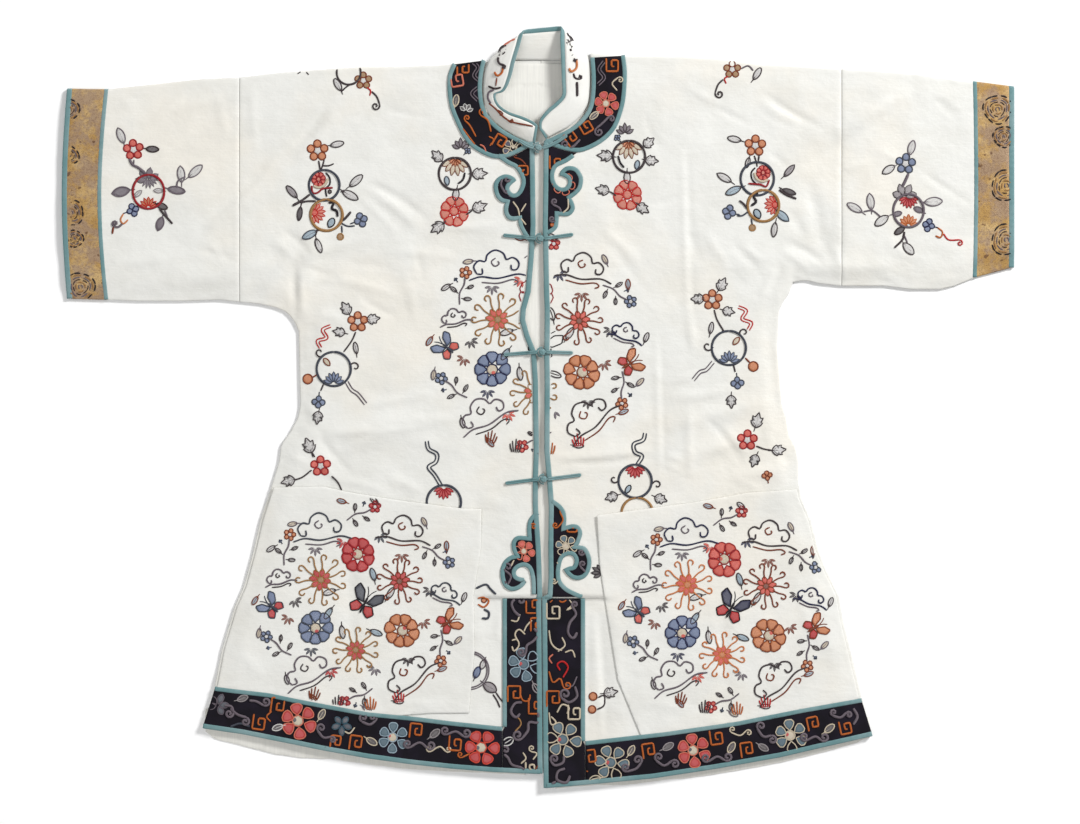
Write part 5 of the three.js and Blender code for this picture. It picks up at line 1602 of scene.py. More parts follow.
@dataclass
class Sleeve:
    """A sleeve extension with its brocade cuff and their bindings, all folded at the top."""

    cut: Cut
    fine: float = 4.0
    coarse: float = 13.0
    cuff_extra: float = 0.2
    cuff_lap: float = 2.0
    binding_top: float = 0.5
    binding_inset: float = 0.3

    def length_at(self, x0: float, x1: float, bow0: float, bow1: float) -> Points:
        """The laid-open cut of a stretch of the sleeve between two ends, which bow outwards.

        Args:
            x0: the end nearer the body.
            x1: the other end.
            bow0: how far the nearer end bows out.
            bow1: how far the other end bows out.

        Returns:
            Its places in order.
        """
        cut, cloth = self.cut, FoldedCloth(self.cut)
        lines = []
        for x, bow in ((x0, bow0), (x1, bow1)):
            low, top = look_up(cut.underarm, x), float(cut.fold(x))
            up = np.linspace(0, 1, END_POINTS)
            out = cut.sign * (x + bow * np.sin(math.pi * up))
            front = column(out, blend(low, top, up))
            over = column(cut.sign * x, np.linspace(top, top + cloth.arc, FOLD_POINTS)[1:-1])
            down = cloth.on_back(
                cut.sign * (x + bow * np.sin(math.pi * up)), blend(low + BACK_INSET, top, up)
            )
            lines.append(np.vstack([front, over, down[::-1]]))
        across = np.linspace(x0, x1, max(2, int((x1 - x0) / 4)))
        under = look_up(cut.underarm, across)
        low_front = column(cut.sign * across, under)
        low_back = cloth.on_back(cut.sign * across, under + BACK_INSET)
        return np.vstack([low_front, lines[1][1:-1], low_back[::-1], lines[0][1:-1][::-1]])

    def stretch(
        self, name: str, ends: tuple[float, float, float, float], extra: float, finish: bpy.types.Material
    ) -> bpy.types.Object:
        """One closed stretch of cloth of the sleeve.

        Args:
            name: the piece's name.
            ends: both ends and their bows, as length_at() takes them.
            extra: how far it stands off the usual face.
            finish: its material.

        Returns:
            The object.
        """
        cloth = FoldedCloth(self.cut, extra)
        outline = self.length_at(*ends)
        inner = cloth.lattice(outline, self.fine, self.coarse)
        flat = triangulate(densify(outline, self.fine), self.fine, inner)
        return shell(name, flat, cloth.place, 0.0, CLOTH_WALL, finish)

    def edge_binding(
        self, name: str, x: float, bow: float, width: float, finish: bpy.types.Material
    ) -> bpy.types.Object:
        """A binding round the sleeve at x.

        Args:
            name: the piece's name.
            x: its distance from the middle.
            bow: how far it bows out.
            width: its width.
            finish: its material.

        Returns:
            The object.
        """
        cut, cloth = self.cut, FoldedCloth(self.cut)
        low, top = look_up(cut.underarm, x), float(cut.fold(x))
        up = np.linspace(0, 1, END_POINTS)
        out = cut.sign * (x + bow * np.sin(math.pi * up))
        front = column(out, blend(low + self.binding_inset, top, up))
        over = column(cut.sign * x, np.linspace(top, top + cloth.arc, FOLD_POINTS + 2)[1:-1])
        down = cloth.on_back(out[::-1], blend(low + BACK_INSET + self.binding_inset, top, up)[::-1])
        line = np.vstack([front, over, down])
        return binding(name, line, width, cloth, finish, BINDING_WALL, self.binding_top - BINDING_WALL)

    def build(self, room: Workroom) -> list[bpy.types.Object]:
        """Makes the sleeve, the cuff and the two bindings.

        Args:
            room: takes the finished pieces.

        Returns:
            The sleeve, its seam binding, the cuff and its edge binding.
        """
        word, cut, finishes = self.cut.side.word, self.cut, room.finishes
        seam, end = cut.cuff_seam_bow, cut.cuff_end_bow
        start, stop = SLEEVE_SEAM_X + SEAM_GAP / 2, CUFF_SEAM_X + CUFF_BINDING / 2
        sleeve = self.stretch(f"silk_sleeve_{word}", (start, stop, 0.0, seam), 0.0, finishes.silk)
        cuff = self.stretch(
            f"brocade_cuff_{word}", (stop, CUFF_X + self.cuff_lap, seam, end), self.cuff_extra,
            finishes.brocade,
        )
        middle = CUFF_SEAM_X + CUFF_BINDING / 2
        seam_tape = self.edge_binding(
            f"bias_cuff_seam_{word}", middle, seam, CUFF_BINDING, finishes.binding
        )
        edge_x = (CUFF_X + SEAM_GAP + CUFF_END_X) / 2
        width = CUFF_END_X - CUFF_X - SEAM_GAP
        edge_tape = self.edge_binding(f"bias_cuff_edge_{word}", edge_x, end, width, finishes.binding)
        room.take(sleeve, "silk", f"sleeve_{word}")
        room.cut(f"sleeve_{word}", sleeve, self.length_at(start, stop, 0.0, seam), "floor")
        room.take(cuff, "brocade", f"cuff_{word}")
        room.cut(f"cuff_{word}", cuff, self.length_at(stop, CUFF_X + self.cuff_lap, seam, end), "floor")
        room.take(seam_tape, "binding", f"cuff_seam_binding_{word}", on=f"cuff_{word}")
        room.take(edge_tape, "binding", f"cuff_edge_binding_{word}", on=f"cuff_{word}")
        return [sleeve, seam_tape, cuff, edge_tape]


@dataclass
class Trimmings:
    """The black bands, cloud heads and bias bindings that lie on one front."""

    cut: Cut
    spacing: float = 4.0
    shoulder_margin: float = 0.05
    lap: float = 0.4
    gap: float = 0.2
    covered: float = 2.2
    foot_x: float = 8.0
    hem_points: int = 100
    rounds: int = 4
    made: dict[str, bpy.types.Object] = field(default_factory=dict)
    fields: dict[str, Points] = field(default_factory=dict)

    def __post_init__(self) -> None:
        """Sets out the lines that the pieces share."""
        cut = self.cut
        self.ground = Ground(cut)
        self.inwards = 1 if cut.side is Side.RIGHT else -1
        self.neck = self.below_shoulder(smooth_line(cut.neckline))
        self.neck_edge = self.below_shoulder(smooth_line(cut.neck_band_edge))
        self.hem = np.array([(cut.sign * x, y) for x, y in cut.front_hem])
        self.hem_top = np.array(cut.hem_band_top, float)

    def below_shoulder(self, line: Points) -> Points:
        """The part of a line that lies below the shoulder, with its end on it."""
        shoulder = self.cut.fold(line[:, 0]) + FOLD_RADIUS
        return line[line[:, 1] < shoulder - self.shoulder_margin]

    def front_line(self, inset: float, top: float, bottom: float) -> Points:
        """The centre-front edge moved in, from one height down to another.

        Args:
            inset: how far it is moved in.
            top: where it starts.
            bottom: where it ends.

        Returns:
            The line.
        """
        rows = sorted(self.cut.front_edge, key=lambda row: -row[1])
        ys = np.array([top, *[y for _, y in rows if bottom < y < top], bottom])
        return column(self.cut.edge_x(ys) + self.cut.sign * inset, ys)

    def field_of(self, name: str, outline: Points, room: Workroom) -> None:
        """Makes a black field of a band from its outline.

        Args:
            name: the band's name.
            outline: (n, 2) corners in order.
            room: takes the finished pieces.
        """
        low, high = outline.min(axis=0), outline.max(axis=0)
        flat = triangulate(densify(outline, self.spacing), self.spacing, lattice(low, high, self.spacing))
        word = self.cut.side.word
        made = shell(
            f"satin_{name}_{word}", flat, self.ground.place, BAND_LIFT, BAND_WALL, room.finishes.band
        )
        self.made[name] = room.take(made, "band", f"{name}_{word}")
        self.fields[name] = outline
        room.cut(f"{name}_{word}", made, outline, f"silk_body_{word}")

    def bound(self, name: str, line: Points, width: float, on: str, room: Workroom) -> None:
        """Makes a bias binding along a line, sewn on a cloth.

        Args:
            name: its node's name, with SIDE where the side's word goes.
            line: (n, 2) points in order.
            width: its width.
            on: the cloth that it is sewn on.
            room: takes the finished pieces.
        """
        word = self.cut.side.word
        node = name.replace("SIDE", word)
        made = binding(f"bias_{node}", line, width, self.ground, room.finishes.binding)
        self.made[name] = room.take(made, "binding", node, on=f"{on}_{word}")

    def neck_band(self, room: Workroom) -> None:
        """The band round the neck between its two bindings.

        Args:
            room: takes the finished pieces.
        """
        half = NARROW_BINDING / 2
        outer = offset_line(self.neck_edge, self.inwards * half)
        inner = offset_line(self.neck, -self.inwards * half)
        self.field_of("neck_band", np.vstack([outer, inner[::-1]]), room)
        self.bound("neck_band_outer_binding_SIDE", outer, NARROW_BINDING, "neck_band", room)
        self.bound("neck_band_seam_binding_SIDE", inner, NARROW_BINDING, "neck_band", room)

    def cloud_heads(self, room: Workroom) -> None:
        """The two cloud heads with their bindings.

        Args:
            room: takes the finished pieces.
        """
        cut, half = self.cut, NARROW_BINDING / 2
        hand = self.inwards
        upper = offset_line(joined(cut.upper_cloud), hand * half)
        lower = offset_line(joined(cut.lower_cloud), hand * half)
        reach = abs(upper[0, 0])
        neck = self.neck_edge[np.abs(self.neck_edge[:, 0]) < reach + 1]
        neck = neck + np.array([0, -self.lap])
        front = self.front_line(FRONT_EDGE_BINDING / 2, neck[-1, 1], upper[-1, 1])
        self.field_of("cloud_head_upper", np.vstack([upper, front[::-1], neck[::-1]]), room)
        self.bound(
            "cloud_head_upper_binding_SIDE", self.started_at(upper), NARROW_BINDING, "cloud_head_upper",
            room,
        )
        lower = lower[lower[:, 1] > TUCK_Y + 0.2]
        front = self.front_line(FRONT_EDGE_BINDING / 2, lower[0, 1], lower[-1, 1])
        self.field_of("cloud_head_lower", np.vstack([lower, front[::-1]]), room)
        self.bound("cloud_head_lower_binding_SIDE", lower, NARROW_BINDING, "cloud_head_lower", room)

    def started_at(self, line: Points) -> Points:
        """The line from where it comes out from under the neck band.

        Args:
            line: (n, 2) points in order.

        Returns:
            The part of it that shows.
        """
        clear = distance_to(line, self.neck_edge) > self.covered
        clear[np.argmax(clear) :] = True
        return line[clear]

    def lower_bands(self, room: Workroom) -> None:
        """The straight front band below the tuck, and the hem band that meets it.

        Args:
            room: takes the finished pieces.
        """
        cut, half = self.cut, NARROW_BINDING / 2
        s, x = cut.sign, cut.front_band_x
        top = TUCK_Y - TUCK_STEP - SEAM_GAP
        corner_y = float(look_up(cut.hem_band_top, x))
        inner = column(x - s * half, [top, corner_y])
        hem_low = look_up(cut.front_hem, abs(x)) + HEM_BINDING / 2
        hem_edge = look_up(cut.front_hem, self.foot_x) + HEM_BINDING / 2
        front = self.front_line(FRONT_EDGE_BINDING / 2, top, hem_edge)
        foot = column([x - s * self.gap, x - s * self.gap], [hem_low, corner_y - NARROW_BINDING])
        self.field_of("front_band", np.vstack([front, foot, inner[::-1]]), room)
        self.bound("front_band_binding_SIDE", inner, NARROW_BINDING, "front_band", room)
        rows = np.array(sorted((s * a, b) for a, b in cut.hem_band_top))
        far = rows[-1, 0]
        # The side leans, so where the band meets it is found in a few rounds
        for _ in range(self.rounds):
            far = s * float(cut.side_x(np.interp(far, rows[:, 0], rows[:, 1]))) - self.lap
        beyond = np.linspace(abs(x) + self.gap / 2, far, self.hem_points)
        line = column(s * beyond, np.interp(beyond, rows[:, 0], rows[:, 1]))
        upper = offset_line(line, -s * half)
        far = cut.front_hem[-1][0] - self.lap
        beyond = np.linspace(abs(x) + self.gap / 2, far, self.hem_points)
        low = column(s * beyond, look_up(cut.front_hem, beyond) + HEM_BINDING / 2)
        self.field_of("hem_band", np.vstack([upper, low[::-1]]), room)
        self.bound("hem_band_upper_binding_SIDE", upper, NARROW_BINDING, "hem_band", room)

    def edges(self, room: Workroom) -> None:
        """The bindings of the centre-front edge and of the hem.

        Args:
            room: takes the finished pieces.
        """
        cut, s = self.cut, self.cut.sign
        top = self.neck_edge[-1, 1] - 0.6
        foot = float(look_up(cut.front_hem, 6.0))
        line = self.front_line(FRONT_EDGE_BINDING / 2, top, foot + self.lap)
        self.bound("front_edge_binding_SIDE", line, FRONT_EDGE_BINDING, "body", room)
        start = s * float(cut.edge_x(foot)) + FRONT_EDGE_BINDING / 2
        xs = np.linspace(start, cut.front_hem[-1][0] - 0.5, 60)
        line = column(s * xs, look_up(cut.front_hem, xs) + HEM_BINDING / 2)
        self.bound("hem_edge_binding_SIDE", line, HEM_BINDING, "hem_band", room)

    def build(self, room: Workroom) -> list[bpy.types.Object]:
        """Makes all the trimmings of the front.

        Args:
            room: takes the finished pieces.

        Returns:
            The pieces.
        """
        self.neck_band(room)
        self.cloud_heads(room)
        self.lower_bands(room)
        self.edges(room)
        return list(self.made.values())


@dataclass
class Pocket:
    """A patch pocket, gaping a little at its mouth and caught by the hem band at its foot."""

    cut: Cut
    spacing: float = 3.8
    foot_side_y: float = -340.0
    tucked: float = 0.8

    def outline(self) -> Points:
        """The pocket's cut, seen from above.

        Returns:
            Its points in order.
        """
        cut, s = self.cut, self.cut.sign
        rows = np.array(cut.pocket, float)
        hem = np.array(sorted(cut.hem_band_top), float)
        low_x = np.linspace(rows[-1, 0], cut.side_x(self.foot_side_y) - s * POCKET_SIDE_INSET, 40)
        foot = column(low_x, np.interp(low_x, hem[:, 0], hem[:, 1]) - self.tucked)
        ys = np.linspace(foot[-1, 1] + 2, rows[0, 1] - 1, 60)
        side = column(cut.side_x(ys) - s * POCKET_SIDE_INSET, ys)
        inner = rows[rows[:, 1] > np.interp(rows[:, 0], hem[:, 0], hem[:, 1])]
        return np.vstack([inner, foot, side])

    def build(self, room: Workroom) -> bpy.types.Object:
        """Makes the pocket.

        Args:
            room: takes the finished piece.

        Returns:
            The piece.
        """
        outline = self.outline()
        low, high = outline.min(axis=0), outline.max(axis=0)
        flat = triangulate(densify(outline, self.spacing), self.spacing, lattice(low, high, self.spacing))
        ground = Ground(self.cut, gape=True)
        word = self.cut.side.word
        made = shell(
            f"silk_pocket_{word}", flat, ground.place, POCKET_LIFT, POCKET_WALL, room.finishes.silk
        )
        room.take(made, "silk", f"pocket_{word}")
        room.cut(f"pocket_{word}", made, outline, f"silk_body_{word}")
        return made


@dataclass
class LiningHem:
    """The lining's hem where it hangs out below a front and comes down to the floor."""

    cut: Cut
    under: float = 24.0
    bend: float = 2.5
    least: float = 4.0
    slope: float = 0.5
    columns: int = 130

    def build(self, room: Workroom) -> bpy.types.Object:
        """Makes the hem of the lining.

        Args:
            room: takes the finished piece.

        Returns:
            The piece.
        """
        cut, rows = self.cut, self.cut.lining_drop
        resting = BACK_WALL + SEAM_GAP + LINING_WALL
        x = np.linspace(rows[0][0], rows[-1][0], self.columns)
        hem = look_up(cut.front_hem, x)
        clear = np.minimum(look_up(BACK_HEM, x), hem + self.bend) - SEAM_GAP
        low = np.minimum(hem - look_up(rows, x), clear - self.least)
        ripple = 0.5 * np.sin(x * 0.21) + 0.35 * np.sin(x * 0.47 + 1)
        stations = [
            (low + 0.3 * ripple, LINING_WALL * 0.85),
            (low + 0.6, LINING_WALL + 0.25),
            (blend(low, clear, 0.35), LINING_WALL + 0.1 + 0.3 * np.abs(ripple)),
            (blend(low, clear, 0.7), LINING_WALL + self.slope + 0.3 * np.abs(ripple)),
            (clear, resting - 0.1 + 0 * x),
            (hem + self.under, resting + 0 * x),
        ]
        upper = [np.column_stack([cut.sign * x, y, np.broadcast_to(z, x.shape)]) for y, z in stations]
        lower = [row - np.array([0, 0, LINING_WALL * 0.85]) for row in upper[::-1]]
        weave = [row[:, :2] for row in upper + lower]
        made = strip(
            f"lining_edge_{cut.side.word}", np.array(upper + lower), np.array(weave), room.finishes.lining
        )
        room.take(made, "lining", f"lining_hem_{cut.side.word}")
        seen = np.vstack([upper[0][:, :2], upper[-1][::-1, :2]])
        room.cut(f"lining_hem_{cut.side.word}", made, seen, "floor", "silk_body_" + cut.side.word)
        return made


@dataclass
class LiningBack:
    """The back's lining where it shows, with the step of its neck facing."""

    base: float = 1.9
    facing_y: float = 388.0
    facing_step: float = 0.35
    fold_rise: float = 0.3
    fold_width: float = 5.0
    fold_drop: float = 9.0
    fold_slope: float = 0.1
    spacing: float = 5.0
    seam_spacing: float = 4.0

    def height(self, points: Points, lift: Points | float) -> Points:
        """The lining's points, raised a little where the neck facing lies over it.

        Args:
            points: (n, 2) points.
            lift: how far they stand off the face.

        Returns:
            (n, 3) points.
        """
        step = self.facing_step * smoothstep(points[:, 1], self.facing_y - 0.6, self.facing_y + 0.4)
        away = points[:, 1] - self.facing_y + self.fold_drop + points[:, 0] * self.fold_slope
        folds = self.fold_rise * np.exp(-((away / self.fold_width) ** 2))
        return np.column_stack([points, self.base + LINING_WALL + lift + step + folds - self.facing_step])

    def build(self, room: Workroom) -> bpy.types.Object:
        """Makes the back's lining.

        Args:
            room: takes the finished piece.

        Returns:
            The piece.
        """
        right = [(low, y) for low, _, y in BACK_LINING]
        left = [(high, y) for _, high, y in BACK_LINING]
        outline = np.array(right + left[::-1], float)
        low, high = outline.min(axis=0), outline.max(axis=0)
        inner = lattice(low, high, self.spacing)
        across = np.arange(low[0], high[0], self.seam_spacing)
        seam = [column(across, np.full(len(across), self.facing_y + d)) for d in (-0.7, 0.5)]
        flat = triangulate(densify(outline, self.spacing), self.spacing, np.vstack([inner, *seam]))
        made = shell("lining_back_cloth", flat, self.height, 0.0, LINING_WALL - 0.3, room.finishes.lining)
        room.take(made, "lining", "lining_back")
        room.cut("lining_back", made, outline, "silk_body_right", "silk_body_left")
        return made


# The stand collar, from its right end round the back: the sewn edge (x, y, z), then the free edge
COLLAR = [
    (-6.6, 315.4, 6.4, -3.4, 337.6, 12),
    (-15.2, 318.6, 6.6, -10.8, 343.2, 13),
    (-28.4, 325, 6.6, -23.4, 348.6, 14),
    (-42.4, 333.4, 6.6, -37.8, 353.4, 14),
    (-55, 343.6, 6.6, -50, 361.8, 13.6),
    (-63, 354.6, 6.6, -54.6, 371, 12.6),
    (-67, 367, 6.6, -53.8, 376.8, 12.6),
    (-68, 378.6, 6.6, -43, 380, 15),
    (-67.6, 393, 6.6, -35.4, 395.4, 16.4),
    (-65.8, 405, 6.6, -30.6, 414.6, 17),
    (-62.6, 412.4, 6.6, -25, 433.8, 16),
    (-60.4, 417.4, 5, -19.6, 450.6, 12.4),
    (-53, 417.2, 2.4, -15.4, 452.4, 8.6),
    (-38, 416.6, 1.6, -7, 453.4, 7.6),
    (-1, 416.4, 1.4, 4.2, 455, 7.6),
    (26, 416.8, 1.6, 13.8, 456, 7.6),
    (45, 418.4, 2.4, 20, 456.6, 8.6),
    (55, 423, 5, 23.6, 455.4, 12.4),
    (57.4, 416, 6.6, 24, 441, 16),
    (58.6, 402.6, 6.6, 24.8, 417, 17),
    (58.4, 381, 6.6, 25.4, 393, 16.4),
    (55.8, 363, 6.6, 25.6, 373.6, 15),
    (46.8, 348.4, 6.6, 17.4, 364, 14.4),
    (33.4, 336.8, 6.6, 7.6, 355.8, 14),
    (16.6, 328, 6.6, -0.6, 344, 13),
    (5.2, 322, 6.4, 0.2, 332, 12),
]


def even_curve(knots: Points, share: Points) -> Points:
    """Points of a centripetal curve through knots, each span taking the same share of it.

    Args:
        knots: (n, 3) points that the curve passes.
        share: where to read it, from 0 to 1.

    Returns:
        (m, 3) points.
    """
    padded = np.vstack([2 * knots[0] - knots[1], knots, 2 * knots[-1] - knots[-2]])
    spot = np.clip(np.asarray(share, float), 0, 1) * (len(knots) - 1)
    span = np.minimum(spot.astype(int), len(knots) - 2)
    t = (spot - span)[:, None]
    a, b, c, d = (padded[span + k] for k in range(4))
    before, here, after = (
        np.maximum(
            np.sqrt(np.linalg.norm(q - p, axis=1)), 1e-4
        )[:, None] for p, q in ((a, b), (b, c), (c, d))
    )
    leave = ((b - a) / before - (c - a) / (before + here) + (c - b) / here) * here
    enter = ((c - b) / here - (d - b) / (here + after) + (d - c) / after) * here
    return b + leave * t + (3 * (c - b) - 2 * leave - enter) * t**2 + (2 * (b - c) + leave + enter) * t**3


@dataclass
class Collar:
    """The stand collar, folded over on the fronts, and the binding of its free edges."""

    crown: float = 2.4
    full_rise: float = 8.0
    binding_share: float = 0.14
    end_share: float = 0.014
    probe: float = 0.012
    columns: int = 150
    rows: int = 12
    binding_half: float = 1.15
    least_width: float = 1.9
    most_width: float = 2.9
    corner_out: float = 0.004
    corner_up: float = 0.05
    flat_length: float = 320.0
    flat_height: float = 40.0
    measured_at: float = 0.45

    def __post_init__(self) -> None:
        """Splits the table into the sewn and the free edge."""
        table = np.array(COLLAR, float)
        self.base, self.top = table[:, :3], table[:, 3:]

    def face(self, u: Points, v: Points) -> Points:
        """Points of the collar's middle face, by their shares along it and up it.

        Args:
            u: shares of the way along it.
            v: shares of the way up it.

        Returns:
            (n, 3) points.
        """
        low, high = even_curve(self.base, u), even_curve(self.top, u)
        rise = np.minimum(1, (high[:, 2] - low[:, 2]) / self.full_rise)
        made = blend(low, high, np.asarray(v)[:, None])
        made[:, 2] += self.crown * np.sin(math.pi * np.asarray(v)) * rise
        return made

    def way_out(self, u: Points) -> Points:
        """The way out of the collar's face at a share along it.

        Args:
            u: shares of the way along it.

        Returns:
            (n, 3) ways of length 1.
        """
        half = np.full(len(u), 0.5)
        aside = self.face(
            np.minimum(1, u + self.probe), half
        ) - self.face(np.maximum(0, u - self.probe), half)
        up = self.face(u, np.ones(len(u))) - self.face(u, np.zeros(len(u)))
        out = np.cross(up, aside)
        return out / np.linalg.norm(out, axis=1)[:, None]

    def place(self, points: Points, lift: Points | float) -> Points:
        """Points on the collar: (share along, share up), raised by a lift."""
        lift = np.broadcast_to(np.asarray(lift, float), len(points))
        return self.face(points[:, 0], points[:, 1]) + self.way_out(points[:, 0]) * lift[:, None]

    def cloth(self, finish: bpy.types.Material) -> bpy.types.Object:
        """The collar's silk as a closed sheet, a little short of its binding.

        Args:
            finish: its material.

        Returns:
            The object.
        """
        u = np.linspace(self.end_share, 1 - self.end_share, self.columns)
        v = np.linspace(0, 1 - self.binding_share, self.rows)
        places = np.array([(a, b) for b in v for a in u])
        half = COLLAR_WALL / 2
        upper, lower = self.place(places, half), self.place(places, -half)
        count, across = len(places), self.columns
        faces = []
        for j in range(self.rows - 1):
            for i in range(across - 1):
                a = j * across + i
                quad = (a, a + across, a + across + 1, a + 1)
                faces += [quad, tuple(k + count for k in reversed(quad))]
        ring = [*range(across), *[j * across + across - 1 for j in range(1, self.rows)]]
        ring += [*range((self.rows - 1) * across + across - 2, (self.rows - 1) * across - 1, -1)]
        ring += [j * across for j in range(self.rows - 2, 0, -1)]
        faces += [(a, b, b + count, a + count) for a, b in zip(ring, ring[1:] + ring[:1])]
        weave = places * np.array([self.flat_length, self.flat_height])
        made = make_object(
            "silk_collar", np.vstack([upper, lower]), faces, finish, np.vstack([weave, weave])
        )
        turn_out(made)
        return made

    def tape(self, finish: bpy.types.Material) -> bpy.types.Object:
        """The binding up one end, along the free edge and down the other end.

        Args:
            finish: its material.

        Returns:
            The object.
        """
        edge, end = 1 - self.binding_share / 2, self.end_share * 0.55
        out, rise = self.corner_out, self.corner_up
        turns = np.linspace(0, 1.57, 6)
        corner = [(end + out * (1 - math.cos(a)), edge - rise * (1 - math.sin(a))) for a in turns]
        up = [(end, v) for v in np.linspace(0.02, edge - 0.06, 12)]
        along = [(u, edge) for u in np.linspace(end + 0.008, 0.5, 70)]
        half = np.array(up + corner + along)
        path = np.vstack([half, (np.array([1, 0]) + half[::-1] * np.array([-1, 1]))[1:]])
        middle, out = self.place(path, 0.0), self.way_out(path[:, 0])
        way = np.gradient(middle, axis=0)
        way /= np.linalg.norm(way, axis=1)[:, None]
        across = np.cross(out, way)
        stand = self.face(path[:, 0], np.ones(len(path))) - self.face(path[:, 0], 0 * path[:, 0])
        height = np.linalg.norm(stand, axis=1)
        width = np.clip(height * self.binding_share / 2, self.least_width, self.most_width)[:, None]
        angles = np.linspace(0, 2 * math.pi, 12, endpoint=False)
        rows = [
            middle
            + across * width * np.sign(math.cos(a)) * abs(math.cos(a)) ** 0.7
            + out * self.binding_half * np.sign(math.sin(a)) * abs(math.sin(a)) ** 0.8
            for a in angles
        ]
        lengths = lengths_along(middle)
        weave = [np.column_stack([np.full(len(path), a * 1.2), lengths]) for a in angles]
        return strip("bias_collar", np.array(rows), np.array(weave), finish)

    def build(self, room: Workroom) -> list[bpy.types.Object]:
        """Makes the collar.

        Args:
            room: takes the finished pieces.

        Returns:
            The collar and its binding.
        """
        cloth = room.take(self.cloth(room.finishes.silk), "silk", "stand_collar")
        along_it = self.face(np.linspace(0, 1, 80), np.full(80, self.measured_at))
        width = float(np.linalg.norm(np.diff(along_it, axis=0), axis=1).sum())
        pattern = np.array([(0, 0), (width, 0), (width, self.flat_height), (0, self.flat_height)])
        room.cut("collar", cloth, pattern, "silk_body_right", "silk_body_left", "lining_back_cloth")
        tape = room.take(self.tape(room.finishes.binding), "binding", "collar_binding", on="collar")
        return [cloth, tape]


# The ball knot's rounds: the tilt, turn and radius of each
WINDINGS = ((0, 0, 3.1), (1.0, 0.3, 3.1), (1.0, 2.4, 3.1), (1.0, 4.5, 3.1), (1.57, 1.2, 2.6))


